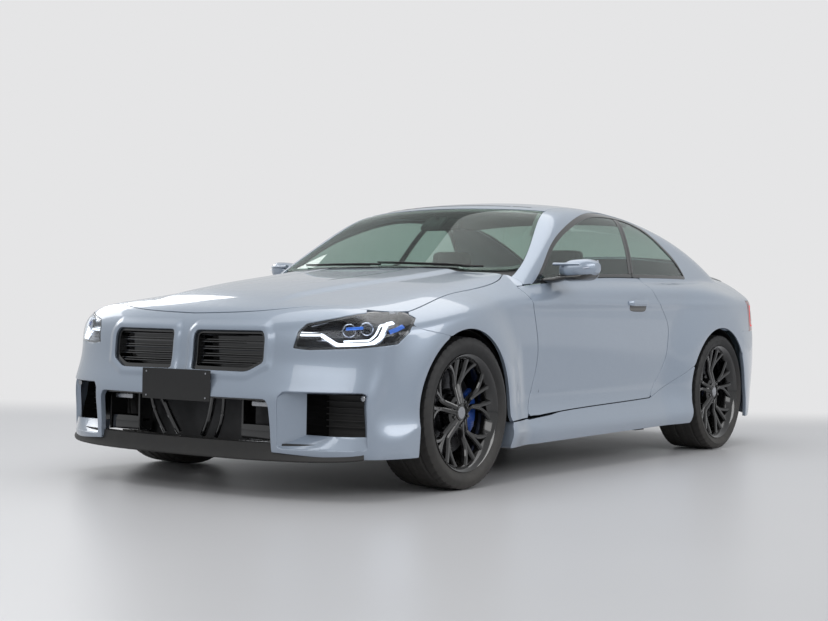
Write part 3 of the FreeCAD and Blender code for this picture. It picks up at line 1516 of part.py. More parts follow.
def wheel_body(name, place, radius, wide, turn):
    body_item = doc.addObject("PartDesign::Body", name)
    body_item.Label = name
    rim = body_item.newObject("Sketcher::SketchObject", name + "_rim_profile")
    rim.AttachmentSupport = [(origin_plane(body_item, "XY_Plane"), "")]
    rim.MapMode = "FlatFace"
    profile(rim, [(p[0] * wide, p[1] * radius) for p in rim_shares])
    barrel_item = body_item.newObject("PartDesign::Revolution", name + "_rim")
    barrel_item.Profile = rim
    barrel_item.ReferenceAxis = (rim, ["H_Axis"])
    barrel_item.Angle = 360
    hub = body_item.newObject("Sketcher::SketchObject", name + "_hub_profile")
    hub.AttachmentSupport = [(origin_plane(body_item, "XY_Plane"), "")]
    hub.MapMode = "FlatFace"
    points = []
    for p in hub_shares:
        r = p[1] * radius
        if abs(p[1] - hub_shares[0][1]) < 0.001:
            r = stub_axle + fit
        points.append((p[0] * wide, r))
    profile(hub, points)
    centre = body_item.newObject("PartDesign::Revolution", name + "_hub")
    centre.Profile = hub
    centre.ReferenceAxis = (hub, ["H_Axis"])
    centre.Angle = 360
    arm = body_item.newObject("Sketcher::SketchObject", name + "_spoke_outline")
    arm.AttachmentSupport = [(origin_plane(body_item, "YZ_Plane"), "")]
    arm.MapMode = "FlatFace"
    arm.AttachmentOffset = FreeCAD.Placement(Vector(0, 0, wide * spoke_start_share), FreeCAD.Rotation())
    profile(arm, [(p[0] * radius, p[1] * radius) for p in spoke_shares])
    pad = body_item.newObject("PartDesign::Pad", name + "_spoke")
    pad.Profile = arm
    pad.Length = wide * spoke_deep_share
    ring_item = body_item.newObject("PartDesign::PolarPattern", name + "_spokes")
    ring_item.Originals = [pad]
    for item in body_item.Origin.OriginFeatures:
        if item.Role == "X_Axis":
            ring_item.Axis = (item, [""])
    ring_item.Angle = 360
    ring_item.Occurrences = spoke_count
    body_item.Tip = ring_item
    body_item.Placement = FreeCAD.Placement(place, FreeCAD.Rotation(Vector(0, 0, 1), turn))
    return body_item


spoke_count = 5
spoke_start_share = 0.24
spoke_deep_share = 0.16
spoke_shares = (
    (-0.1, 0.2),
    (0.1, 0.2),
    (0.16, 0.6),
    (0.36, 0.85),
    (0.29, 0.89),
    (0.13, 0.68),
    (0.08, 0.92),
    (0.0, 0.925),
    (-0.08, 0.92),
    (-0.13, 0.68),
    (-0.29, 0.89),
    (-0.36, 0.85),
    (-0.16, 0.6),
)
tyre_shares = (
    (-0.455, 0.0),
    (-0.5, 0.3),
    (-0.5, 0.55),
    (-0.455, 0.88),
    (-0.4, 0.975),
    (-0.28, 1.0),
    (0.28, 1.0),
    (0.4, 0.975),
    (0.455, 0.88),
    (0.5, 0.55),
    (0.5, 0.3),
    (0.455, 0.0),
    (0.4, 0.0),
    (0.4, 0.5),
    (0.3, 0.84),
    (-0.3, 0.84),
    (-0.4, 0.5),
    (-0.4, 0.0),
)


def tyre_body(name, place, inner, outer, wide):
    body_item = doc.addObject("PartDesign::Body", name)
    body_item.Label = name
    sketch = body_item.newObject("Sketcher::SketchObject", name + "_profile")
    sketch.AttachmentSupport = [(origin_plane(body_item, "XY_Plane"), "")]
    sketch.MapMode = "FlatFace"
    profile(sketch, [(p[0] * wide, mix(inner, outer, p[1])) for p in tyre_shares])
    ring_item = body_item.newObject("PartDesign::Revolution", name + "_ring")
    ring_item.Profile = sketch
    ring_item.ReferenceAxis = (sketch, ["H_Axis"])
    ring_item.Angle = 360
    body_item.Placement = FreeCAD.Placement(place, FreeCAD.Rotation())
    return body_item


corners = (
    ("front_left", 1, "front", front_axle, front_hub),
    ("front_right", -1, "front", front_axle, front_hub),
    ("rear_left", 1, "rear", rear_axle, rear_hub),
    ("rear_right", -1, "rear", rear_axle, rear_hub),
)
for corner_name, side_sign, end_name, axle, hub_z in corners:
    place = Vector(side_sign * size(end_name + "Track") / 2, axle, hub_z)
    rim_r = size(end_name + "RimRadius")
    tyre_wide = size(end_name + "TyreWidth")
    turn = 0 if side_sign > 0 else 180
    wheel_body("wheel_" + corner_name, place, rim_r, tyre_wide * 0.9, turn)
    tyre_body("tyre_" + corner_name, place, rim_r + seam / 2, size(end_name + "TyreRadius"), tyre_wide)

# Checks and files
node_names = (
    "floor_pan bulkhead quarter_left quarter_right pillar_left pillar_right side_skirts fender_left fender_right "
    "roof_panel windscreen rear_window quarter_glass front_bumper front_grilles front_splitter headlamp_lenses "
    "headlamp_housings rear_bumper diffuser exhaust tail_lamps dashboard front_seats rear_seat engine driveline "
    "front_subframe rear_subframe bonnet door_left door_right door_glass_left door_glass_right mirror_left "
    "mirror_right boot_lid knuckle_left knuckle_right tyre_front_left tyre_front_right tyre_rear_left "
    "tyre_rear_right wheel_front_left wheel_front_right wheel_rear_left wheel_rear_right steering_wheel"
).split()
doc.recompute()
for item in doc.Objects:
    for state in item.State:
        if state in ("Invalid", "Error"):
            raise RuntimeError(item.Label + " is " + state)
for name in node_names:
    item = doc.getObjectsByLabel(name)[0]
    shape = item.Shape
    if shape.isNull() or not shape.isValid():
        raise RuntimeError(name + " has no valid shape")
    shape.exportStep("parts/" + name + ".step")
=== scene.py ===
"""The looks of a compact sports coupe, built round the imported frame.

X runs across (the car's left is positive), Y along (the nose is negative), Z up, in metres.
Body panels are grids of points on one smooth form, trimmed along the shut lines.
"""

import json
import logging
import math
import time
from dataclasses import dataclass
from enum import Enum
from typing import Callable, Sequence

import bmesh
import bpy
import numpy as np
from mathutils import Matrix, Vector

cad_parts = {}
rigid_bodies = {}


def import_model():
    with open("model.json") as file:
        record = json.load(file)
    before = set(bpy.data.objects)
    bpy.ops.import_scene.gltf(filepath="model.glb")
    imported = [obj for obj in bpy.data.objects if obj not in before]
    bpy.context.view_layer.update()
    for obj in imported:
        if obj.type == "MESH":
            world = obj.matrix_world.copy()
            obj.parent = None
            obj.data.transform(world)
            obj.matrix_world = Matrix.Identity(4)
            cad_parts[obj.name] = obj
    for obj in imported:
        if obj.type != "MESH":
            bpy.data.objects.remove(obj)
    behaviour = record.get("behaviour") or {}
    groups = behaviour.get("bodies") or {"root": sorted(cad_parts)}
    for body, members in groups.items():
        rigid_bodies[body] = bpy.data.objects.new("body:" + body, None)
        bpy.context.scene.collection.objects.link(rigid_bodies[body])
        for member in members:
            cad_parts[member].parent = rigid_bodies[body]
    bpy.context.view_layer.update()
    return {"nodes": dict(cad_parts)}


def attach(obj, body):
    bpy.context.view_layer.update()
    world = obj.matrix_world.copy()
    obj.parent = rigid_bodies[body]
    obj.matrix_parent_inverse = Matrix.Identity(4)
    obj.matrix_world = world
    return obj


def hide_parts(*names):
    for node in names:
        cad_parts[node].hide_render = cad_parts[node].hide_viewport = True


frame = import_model()
LOG = logging.getLogger("coupe")

Array = np.ndarray
PointsOf = Callable[[Array, Array], Array]
Level = Callable[[Array], Array]

LENGTH = 4.580
HALF = 0.9435
HEIGHT = 1.403
FRONT_AXLE = -1.424
REAR_AXLE = 1.323
FRONT_HUB = 0.3375
REAR_HUB = 0.3395
# The seam round the rear bumper and the tail lamps' upper edge.
TAIL_SEAM_Y = LENGTH * 0.3581
TAIL_SEAM_Z = HEIGHT * 0.5004
LAMP_TOP = HEIGHT * 0.6344
# How far a trimmed edge stands back from its seam: most panels, the rear bumper, the roof's edge.
STAND_BACK = 0.0022
TAIL_GAP = 0.0018
ROOF_GAP = 0.001


class Side(Enum):
    """The side of the car a piece is on."""

    LEFT = 1
    RIGHT = -1


# Curves and form


class Curve:
    """A natural cubic through a table of points: on each step it is the line between its two
    ends plus two cubic terms weighted by the bends there, and the bends make it smooth."""

    def __init__(self, table: Sequence[tuple[float, float]], scale_in: float, scale_out: float) -> None:
        """Solves the bends.

        Args:
            table: Pairs of place and value, as shares.
            scale_in: What a share of the place is multiplied by.
            scale_out: What a share of the value is multiplied by.
        """
        data = np.array(table, float)
        self.a = data[:, 0] * scale_in
        self.b = data[:, 1] * scale_out
        n = len(self.a)
        step = np.diff(self.a)
        matrix = np.eye(n)
        right = np.zeros(n)
        inner = np.arange(1, n - 1)
        matrix[inner, inner - 1] = step[:-1]
        matrix[inner, inner] = 2 * (step[:-1] + step[1:])
        matrix[inner, inner + 1] = step[1:]
        right[inner] = 6 * (np.diff(self.b)[1:] / step[1:] - np.diff(self.b)[:-1] / step[:-1])
        self.bend = np.linalg.solve(matrix, right)
        self.step = step

    def __call__(self, q: Array) -> Array:
        """Returns the curve's value at each place q."""
        q = np.clip(np.asarray(q, float), self.a[0], self.a[-1])
        i = np.clip(np.searchsorted(self.a, q) - 1, 0, len(self.a) - 2)
        d = q - self.a[i]
        e = self.a[i + 1] - q
        w = self.step[i]
        low = self.b[i] / w - self.bend[i] * w / 6
        high = self.b[i + 1] / w - self.bend[i + 1] * w / 6
        return (self.bend[i] * e**3 + self.bend[i + 1] * d**3) / (6 * w) + low * e + high * d


def smooth_max(a: Array, b: Array, k: float) -> Array:
    """Returns the larger of two values, rounded where they come within k of each other."""
    h = np.maximum(k - np.abs(a - b), 0) / k
    return np.maximum(a, b) + h**3 * k / 6


def smooth_min(a: Array, b: Array, k: float) -> Array:
    """Returns the smaller of two values, rounded where they come within k of each other."""
    return -smooth_max(-a, -b, k)


def ease(t: Array) -> Array:
    """Returns an S curve from 0 to 1: three t squared less two t cubed."""
    t = np.clip(t, 0, 1)
    return t * t * (3 - 2 * t)


def mix(a: Array, b: Array, t: Array) -> Array:
    """Returns the value a share t of the way from a to b."""
    return a + (b - a) * t


def along(table: Sequence[tuple[float, float]], out: float) -> Curve:
    """Returns a curve over the car's length."""
    return Curve(table, LENGTH, out)


def upwards(table: Sequence[tuple[float, float]], out: float) -> Curve:
    """Returns a curve over the car's height."""
    return Curve(table, HEIGHT, out)


def across(table: Sequence[tuple[float, float]], out: float) -> Curve:
    """Returns a curve over half the car's width."""
    return Curve(table, HALF, out)


WIDTH = along(
    (
        (-0.5, 0.9433), (-0.4148, 0.9507), (-0.3109, 0.9528), (-0.2183, 0.9422), (-0.1528, 0.938),
        (0, 0.9401), (0.1092, 0.9412), (0.1965, 0.9454), (0.2889, 0.9539), (0.3712, 0.9592),
        (0.4367, 0.9433), (0.5, 0.9009),
    ),
    HALF,
)
INSET = upwards(
    (
        (0.0855, -0.0127), (0.1176, -0.0233), (0.1426, -0.0318), (0.1675, -0.0318),
        (0.2067, -0.0064), (0.2352, 0.0085), (0.2994, 0.0159), (0.3706, 0.0106), (0.4419, 0.0042),
        (0.5132, 0.0011), (0.5702, 0), (0.6415, 0.0032), (0.784, 0.0106),
    ),
    HALF,
)
KNEE = along(
    (
        (-0.5, 0.4633), (-0.4258, 0.4989), (-0.379, 0.5289), (-0.3031, 0.5702), (-0.21, 0.6023),
        (-0.1528, 0.6172), (0, 0.6522), (0.131, 0.6657), (0.2183, 0.67), (0.2889, 0.6593),
        (0.3712, 0.6379), (0.4367, 0.6215), (0.5, 0.6058),
    ),
    HEIGHT,
)
SLOPE = along(
    (
        (-0.5, 1.4), (-0.3031, 1.7), (-0.21, 1.45), (-0.1528, 1.3), (0, 1.25), (0.2183, 1.25),
        (0.3275, 1.5), (0.5, 1.6),
    ),
    1,
)
DECK = along(
    (
        (-0.5087, 0.4562), (-0.4913, 0.4989), (-0.4771, 0.536), (-0.4694, 0.5524),
        (-0.4541, 0.5745), (-0.4148, 0.6058), (-0.3493, 0.6415), (-0.262, 0.6771),
        (-0.1965, 0.7056), (-0.1747, 0.7128), (0, 0.717), (0.262, 0.727), (0.3275, 0.7555),
        (0.3712, 0.7641), (0.4258, 0.7612), (0.4694, 0.7541), (0.5, 0.7484),
    ),
    HEIGHT,
)
CROWN = along(
    (
        (-0.5, 0.0185), (-0.4694, 0.0228), (-0.379, 0.0535), (-0.3031, 0.0442), (-0.21, 0.0371),
        (-0.1747, 0.0321), (0, 0.0143), (0.262, 0.0178), (0.3712, 0.0392), (0.5, 0.0463),
    ),
    HEIGHT,
)
NOSE = upwards(
    (
        (0.0855, -0.4836), (0.1212, -0.4939), (0.1532, -0.4967), (0.2138, -0.4978),
        (0.3065, -0.4989), (0.3564, -0.4939), (0.3991, -0.4904), (0.4918, -0.4865),
        (0.536, -0.4793), (0.5702, -0.4716), (0.6415, -0.4541), (0.784, -0.4148),
    ),
    LENGTH,
)
TAIL = upwards(
    (
        (0.0855, 0.476), (0.1426, 0.4836), (0.2138, 0.4891), (0.3207, 0.498), (0.4277, 0.499),
        (0.5132, 0.4952), (0.5702, 0.4902), (0.6415, 0.4858), (0.7128, 0.4836), (0.7555, 0.4814),
        (0.8553, 0.476),
    ),
    LENGTH,
)
GLASSHOUSE = along(
    (
        (-0.262, 0.8479), (-0.1528, 0.8479), (0, 0.8606), (0.131, 0.8606), (0.2402, 0.8426),
        (0.3275, 0.8055), (0.393, 0.7631),
    ),
    HALF,
)
ROOF = along(
    (
        (-0.262, 0.8411), (-0.1528, 0.9195), (-0.0655, 0.9629), (0, 0.9907), (0.0437, 0.9993),
        (0.0873, 0.9986), (0.1528, 0.985), (0.2074, 0.9601), (0.262, 0.9216), (0.3166, 0.866),
        (0.3712, 0.7947), (0.4148, 0.727), (0.4585, 0.6415), (0.5087, 0.4633),
    ),
    HEIGHT,
)
DOOR_FRONT = upwards(
    (
        (0.1069, -0.1779), (0.2046, -0.181), (0.2851, -0.1725), (0.4248, -0.1614),
        (0.5004, -0.1659), (0.6458, -0.1819), (0.7128, -0.19),
    ),
    LENGTH,
)
DOOR_REAR = upwards(
    (
        (0.1782, 0.1026), (0.2381, 0.107), (0.3749, 0.1441), (0.4562, 0.1507), (0.5225, 0.1491),
        (0.6586, 0.1094), (0.6992, 0.1028), (0.7484, 0.0961),
    ),
    LENGTH,
)
DOOR_BOTTOM = along(((-0.1965, 0.201), (-0.181, 0.2046), (0.107, 0.2381), (0.1659, 0.2459)), HEIGHT)
BELT = along(
    (
        (-0.1965, 0.645), (-0.1502, 0.6586), (-0.0655, 0.6828), (0.0074, 0.6978), (0.1092, 0.7063),
        (0.2214, 0.7135), (0.262, 0.7149),
    ),
    HEIGHT,
)
WINDOW_TOP = along(
    (
        (-0.1659, 0.645), (-0.1535, 0.6593), (-0.0969, 0.7855), (-0.0349, 0.8838), (0.0367, 0.948),
        (0.0878, 0.9615), (0.1319, 0.9558), (0.1747, 0.9195), (0.2162, 0.8304), (0.2382, 0.7662),
        (0.2467, 0.7199),
    ),
    HEIGHT,
)
BONNET_SIDE = along(
    (
        (-0.3843, 0.8786), (-0.379, 0.8786), (-0.3031, 0.8373), (-0.21, 0.8055), (-0.1856, 0.7737),
        (-0.1697, 0.7419), (-0.1528, 0.7313),
    ),
    HALF,
)
BONNET_FRONT = across(
    (
        (0, -0.4742), (0.265, -0.4712), (0.5299, -0.4581), (0.6889, -0.441), (0.8055, -0.4181),
        (0.8786, -0.379),
    ),
    LENGTH,
)
BONNET_REAR = across(
    (
        (0, -0.202), (0.318, -0.1991), (0.5299, -0.1895), (0.6783, -0.1758), (0.7419, -0.1714),
        (0.8786, -0.1659),
    ),
    LENGTH,
)
SCREEN_BOTTOM = across(
    ((0, -0.1904), (0.318, -0.1856), (0.5299, -0.176), (0.6783, -0.1642), (0.7822, -0.1524)), LENGTH
)
SCREEN_TOP = across(((0, -0.0579), (0.318, -0.0535), (0.6105, -0.0371)), LENGTH)
UPPER_EDGE = along(
    (
        (-0.1904, 0.7822), (-0.1528, 0.7822), (-0.0939, 0.6995), (-0.0371, 0.6105),
        (0.0437, 0.5999), (0.083, 0.5957), (0.131, 0.5914), (0.1856, 0.5819), (0.262, 0.5946),
        (0.3472, 0.6105), (0.3712, 0.615), (0.4148, 0.655), (0.4541, 0.6783),
    ),
    HALF,
)
BACK_TOP = across(((0, 0.1976), (0.318, 0.1943), (0.5935, 0.1856)), LENGTH)
BACK_BOTTOM = across(((0, 0.3515), (0.318, 0.3507), (0.5935, 0.3472)), LENGTH)
NOSE_BOTTOM = Curve(((0, 0.1397), (0.3333, 0.1397), (0.5, 0.1283), (0.6667, 0.1226), (0.8889, 0.1269)), 90,
                    HEIGHT)
NOSE_TOP = Curve(
    (
        (0, 0.5431), (0.2778, 0.546), (0.4444, 0.5502), (0.5778, 0.5517), (0.6667, 0.5431),
        (0.7333, 0.5203), (0.7778, 0.5025), (0.8889, 0.4904),
    ),
    90,
    HEIGHT,
)
TAIL_BOTTOM = Curve(((0, 0.1397), (0.2444, 0.1397), (0.3778, 0.1426), (0.5, 0.1354), (0.8889, 0.1297)), 90,
                    HEIGHT)
TAIL_TOP = Curve(((0, 0.5096), (0.3333, 0.5096), (0.6667, 0.5025), (0.8889, 0.4989)), 90, HEIGHT)
NOSE_SEAM = along(((-0.393, 0.5103), (-0.3897, 0.5068), (-0.3629, 0.4904), (-0.3275, 0.4704)), HEIGHT)
SKIRT_TOP = along(
    ((-0.2402, 0.201), (-0.181, 0.2046), (0.107, 0.2381), (0.1528, 0.2851), (0.2284, 0.3792)), HEIGHT
)
SKIRT_BOTTOM = along(((-0.2402, 0.114), (-0.0343, 0.1212), (0.1965, 0.129)), HEIGHT)


SHOULDER_ROUND = 0.090
NOSE_ROUND = 0.060
KNEE_ROUND = 0.052
WAIST_ROUND = 0.026
RAIL_ROUND = 0.110
FRONT_ARCH = 0.372
REAR_ARCH = 0.382
MIDDLE = HEIGHT * 0.4277
TOP_START = HEIGHT * 0.4419
SHUT = 0.0042
HEM = 0.0016


def side_at(y: Array, z: Array) -> Array:
    """Returns how far out the body side stands: its width over the length, less its inset over
    the height, with a swelling round each wheel and two soft creases, leaning in above the knee."""
    out = WIDTH(y) - INSET(z)
    low = 1 - ease((z - HEIGHT * 0.0713) / (HEIGHT * 0.2138))
    out -= HALF * 0.0276 * low * ease((np.abs(y) - LENGTH * 0.1528) / (HEIGHT * 0.2138))
    for axle, hub, start, spread in (
        (FRONT_AXLE, FRONT_HUB, FRONT_ARCH, 0.230),
        (REAR_AXLE, REAR_HUB, REAR_ARCH, 0.340),
    ):
        away = np.hypot(y - axle, np.maximum(z - hub, 0))
        out += 0.044 * (1 - ease((away - start) / spread))
    fold = 0.005 * np.exp(-(((z - 0.842 - 0.012 * y) / 0.020) ** 2))
    out += fold * ease((y + 1.05) / 0.3) * ease((1.75 - y) / 0.5)
    return out - SLOPE(y) * smooth_max(z - KNEE(y), 0.0, KNEE_ROUND)


def top_at(x: Array, y: Array) -> Array:
    """Returns the height of the deck: its line over the length, less a crown that grows as the
    2.4th power of the distance from the middle, with the bonnet's raised middle and its creases."""
    a = np.abs(x)
    run = ease((y + LENGTH * 0.4629) / (LENGTH * 0.262))
    edge = HALF * 0.3498 + HALF * 0.1166 * run
    raised = (1 - ease((a - edge) / (HALF * 0.0742))) * HEIGHT * 0.0086
    raised *= ease((y + LENGTH * 0.4629) / (LENGTH * 0.0546)) * (y < LENGTH * -0.131)
    inner = HALF * (0.16 + 0.10 * run)
    crease = 0.0028 * ease((a - inner) / 0.05) * (y < LENGTH * -0.131) * run
    return DECK(y) - CROWN(y) * (a / (HALF * 0.8479)) ** 2.4 + raised + crease


def end_curve(x: Array, wide: float, deep: float, power: float) -> Array:
    """Returns how far a corner falls back in plan: a superellipse of the given power."""
    q = np.minimum(x / wide, 1)
    return deep * (1 - (1 - q**power) ** (1 / power)) + np.maximum(x - wide, 0) * 30


def body(p: Array) -> Array:
    """Returns the lower body's level at points: the rounded largest of its side, top and ends."""
    x, y, z = p[..., 0], p[..., 1], p[..., 2]
    a = np.abs(x)
    f = smooth_max(a - side_at(y, z), z - top_at(x, y), SHOULDER_ROUND)
    f = smooth_max(f, NOSE(z) + end_curve(a, HALF * 0.9963, LENGTH * 0.1092, 2.8) - y, NOSE_ROUND)
    return smooth_max(f, y - TAIL(z) + end_curve(a, HALF * 1.0016, LENGTH * 0.1397, 2.5), NOSE_ROUND)


def house(p: Array) -> Array:
    """Returns the glasshouse's level at points: leaning sides, a crowned roof and a raked foot."""
    x, y, z = p[..., 0], p[..., 1], p[..., 2]
    a = np.abs(x)
    t = smooth_max((z - HEIGHT * 0.7021) / (HEIGHT * 0.2352), -0.25, 0.2)
    side = a - (GLASSHOUSE(y) - HALF * 0.1113 * t - HALF * 0.0583 * t * np.abs(t))
    roof = z - (ROOF(y) - HEIGHT * 0.0342 * (a / (HALF * 0.6359)) ** 2.2)
    foot = LENGTH * -0.1882 + (z - HEIGHT * 0.7128) * 1.68 + LENGTH * 0.036 * (a / (HALF * 0.7822)) ** 2
    return smooth_max(smooth_max(side, roof, RAIL_ROUND), (foot - y) / 2, 0.070)


def whole(p: Array) -> Array:
    """Returns the whole form's level: the smaller of body and glasshouse, rounded at the waist."""
    return smooth_min(body(p), house(p), WAIST_ROUND)


def hit(form: Level, start: Array, way: Array, far: float = 1.53) -> Array:
    """Returns where rays from inside leave a form, by halving."""
    low = np.zeros(len(start))
    high = np.full(len(start), far)
    for _ in range(20):
        mid = (low + high) / 2
        inside = form(start + way * mid[:, None]) < 0
        low = np.where(inside, mid, low)
        high = np.where(inside, high, mid)
    return start + way * low[:, None]


def unit(v: Array) -> Array:
    """Returns vectors at length one."""
    return v / np.maximum(np.linalg.norm(v, axis=-1, keepdims=True), 1e-12)


def outward(form: Level, p: Array) -> Array:
    """Returns the form's outward directions at points, from differences 1.5 mm to each side."""
    e = np.eye(3) * 0.0015
    return unit(np.stack([form(p + e[k]) - form(p - e[k]) for k in range(3)], -1))


# Rays


def fanned(y0: float, y1: float, low: Callable, high: Callable) -> PointsOf:
    """Returns rays in planes across the car, fanned between two angles given over y."""

    def ray(u: Array, v: Array) -> tuple[Array, Array]:
        """Returns rays that fan out from the car's middle, up the side."""
        y = mix(y0, y1, u)
        t = mix(low(y), high(y), v)
        zero = np.zeros_like(y)
        return np.stack([zero, y, zero + MIDDLE], -1), np.stack([np.cos(t), zero, np.sin(t)], -1)

    return ray


def around(axle: float, sign: int, low: Callable, high: Callable, start: float, end: float) -> PointsOf:
    """Returns rays round an upright line in an axle's plane, between two heights over the angle."""

    def ray(u: Array, v: Array) -> tuple[Array, Array]:
        """Returns rays that turn about an upright line through an axle."""
        t = mix(start, end, u)
        z = mix(low(np.abs(t)), high(np.abs(t)), v)
        r = np.radians(t)
        zero = np.zeros_like(z)
        return np.stack([zero, zero + axle, z], -1), np.stack([np.sin(r), sign * np.cos(r), zero], -1)

    return ray


def downward(front: Callable, rear: Callable, side: Callable, grow: float = 0.0) -> PointsOf:
    """Returns upright rays on a plan between a front, a rear and a side line, grown by grow."""

    def ray(u: Array, v: Array) -> tuple[Array, Array]:
        """Returns rays that go up through the body, fitted to its plan between both ends."""
        s = mix(-1.0, 1.0, u)
        y = mix(front(0 * s), rear(0 * s), v)
        x = s
        for _ in range(6):
            x = s * (side(y) + grow)
            y = mix(front(np.abs(x)) - grow, rear(np.abs(x)) + grow, v)
        zero = np.zeros_like(x)
        return np.stack([x, y, zero + TOP_START], -1), np.stack([zero, zero, zero + 1], -1)

    return ray


def plan_angle(y0: float, y1: float, x_of: Callable, shift: float = 0.0) -> Callable:
    """Returns the fan angle over y of a line given as its distance from the middle in plan."""
    y = np.linspace(y0, y1, 60)
    start = np.stack([x_of(y) + shift, y, np.full_like(y, TOP_START)], -1)
    p = hit(whole, start, np.tile([0.0, 0.0, 1.0], (60, 1)))
    t = np.arctan2(p[:, 2] - MIDDLE, p[:, 0])
    return lambda q: np.interp(q, y, t)


def steady(value: float) -> Callable:
    """Returns a line of one value."""
    return lambda q: np.zeros_like(q) + value


# Outlines: a level below zero is inside


def convex(points: Sequence[tuple[float, float]], soft: float) -> Callable:
    """Returns the level of a convex outline with soft corners: the rounded largest distance
    past any of its edges."""
    q = np.array(points)
    area = np.sum(q[:, 0] * np.roll(q[:, 1], -1) - np.roll(q[:, 0], -1) * q[:, 1])
    q = q if area > 0 else q[::-1]
    edge = unit(np.roll(q, -1, 0) - q)

    def level(a: Array, b: Array) -> Array:
        """Returns how far a point lies outside the polygon, with its corners rounded."""
        f = None
        for k in range(len(q)):
            d = (a - q[k, 0]) * edge[k, 1] - (b - q[k, 1]) * edge[k, 0]
            f = d if f is None else smooth_max(f, d, soft)
        return f

    return level


def outline(points: Sequence[tuple[float, float]]) -> Callable:
    """Returns the level of any closed outline: the distance to its nearest edge, negative
    inside, where inside is told by counting the edges that a level ray crosses."""
    q = np.array(points)
    r = np.roll(q, -1, 0)

    def level(a: Array, b: Array) -> Array:
        """Returns how far a point lies outside the outline, negative inside it."""
        a = a[..., None]
        b = b[..., None]
        d = r - q
        t = np.clip(((a - q[:, 0]) * d[:, 0] + (b - q[:, 1]) * d[:, 1]) / (d**2).sum(1), 0, 1)
        away = np.hypot(a - q[:, 0] - t * d[:, 0], b - q[:, 1] - t * d[:, 1]).min(-1)
        over = (q[:, 1] > b) != (r[:, 1] > b)
        run = q[:, 0] + (b - q[:, 1]) * d[:, 0] / np.where(d[:, 1] == 0, 1e-9, d[:, 1])
        inside = (over & (a < run)).sum(-1) % 2 == 1
        return np.where(inside, -away, away)

    return level


def arch(p: Array, axle: float, hub: float, radius: float, ahead: float, behind: float) -> Array:
    """Returns the wheel opening's level: a circle above the hub, and below it straight sides
    that run from the circle's widest points down to the sill."""
    y, z = p[:, 1] - axle, p[:, 2]
    drop = np.clip((hub - z) / (hub - HEIGHT * 0.0713), 0, 1.3)
    lower = np.maximum(y - mix(radius, behind, drop), -mix(radius, ahead, drop) - y)
    return np.where(z > hub, np.hypot(y, z - hub) - radius, lower)


def arches(p: Array) -> Array:
    """Returns how far a point is inside either wheel opening."""
    front = arch(p, FRONT_AXLE, FRONT_HUB, FRONT_ARCH, 0.0858 * LENGTH, 0.0769 * LENGTH)
    rear = arch(p, REAR_AXLE, REAR_HUB, REAR_ARCH, 0.1026 * LENGTH, 0.0873 * LENGTH)
    return -np.minimum(front, rear)


def every(*levels: Array) -> Array:
    """Returns the level of the part shared by several outlines."""
    return np.maximum.reduce(np.broadcast_arrays(*levels))


# Meshes


def make(name: str, points: Array, faces: Sequence, body_name: str, finish: "Finish",
         normals: Array | None = None,
         hides: Sequence[str] = (), smooth: bool = True, angle: float | None = 35.0) -> bpy.types.Object:
    """Builds a piece from points and faces.

    Args:
        name: The piece's name.
        points: Its points, in metres, in the car's frame.
        faces: Its faces, each a run of point numbers that turn left seen from outside.
        body_name: The body that it rides on.
        finish: Its finish.
        normals: A direction for each corner of each face, or None.
        hides: The nodes that it stands for.
        smooth: Whether its faces are shaded as one surface.
        angle: The turn in degrees past which an edge shows as sharp, or None.

    Returns:
        The object.
    """
    mesh = bpy.data.meshes.new(name)
    loose = not isinstance(faces, tuple)
    if loose:
        points, faces = merged(np.asarray(points), np.asarray(faces))
    loops, totals = faces
    starts = np.concatenate([[0], np.cumsum(totals)[:-1]])
    mesh.vertices.add(len(points))
    mesh.vertices.foreach_set("co", np.asarray(points, np.float32).ravel())
    mesh.loops.add(len(loops))
    mesh.loops.foreach_set("vertex_index", loops.astype(np.int32))
    mesh.polygons.add(len(totals))
    mesh.polygons.foreach_set("loop_start", starts.astype(np.int32))
    mesh.update(calc_edges=True)
    if loose:
        work = bmesh.new()
        work.from_mesh(mesh)
        bmesh.ops.recalc_face_normals(work, faces=work.faces)
        work.to_mesh(mesh)
        work.free()
    mesh.validate()
    mesh.polygons.foreach_set("use_smooth", np.full(len(mesh.polygons), smooth))
    if normals is not None and len(normals) == len(mesh.loops):
        mesh.normals_split_custom_set(np.asarray(normals).tolist())
    elif smooth and angle is not None:
        mesh.set_sharp_from_angle(angle=math.radians(angle))
    obj = bpy.data.objects.new(name, mesh)
    bpy.context.collection.objects.link(obj)
    finish.dress(obj)
    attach(obj, body_name)
    if hides:
        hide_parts(*hides)
    return obj


def merged(points: Array, faces: Array) -> tuple[Array, tuple[Array, Array]]:
    """Joins points that lie on one place and drops repeated corners.

    Returns:
        The points, and the faces' corners with how many each has.
    """
    _, first, back = np.unique(np.round(points, 6), axis=0, return_index=True, return_inverse=True)
    faces = back.reshape(-1)[faces]
    keep = faces != np.roll(faces, -1, 1)
    faces, keep = faces[keep.sum(1) > 2], keep[keep.sum(1) > 2]
    return points[first], (faces[keep], keep.sum(1))


def join_parts(parts: Sequence[tuple[Array, Array]]) -> tuple[Array, Array]:
    """Joins sheets of points and four-cornered faces into one."""
    count = 0
    points, faces = [], []
    for p, f in parts:
        points.append(p)
        faces.append(np.asarray(f) + count)
        count += len(p)
    return np.concatenate(points), np.concatenate(faces)


def flip(part: tuple[Array, Array]) -> tuple[Array, Array]:
    """Returns the mirror image across the car, with its faces still pointing out."""
    p, f = part
    return p * [-1, 1, 1], np.asarray(f)[:, ::-1]


def both(part: tuple[Array, Array]) -> tuple[Array, Array]:
    """Returns a part together with its mirror image."""
    return join_parts([part, flip(part)])


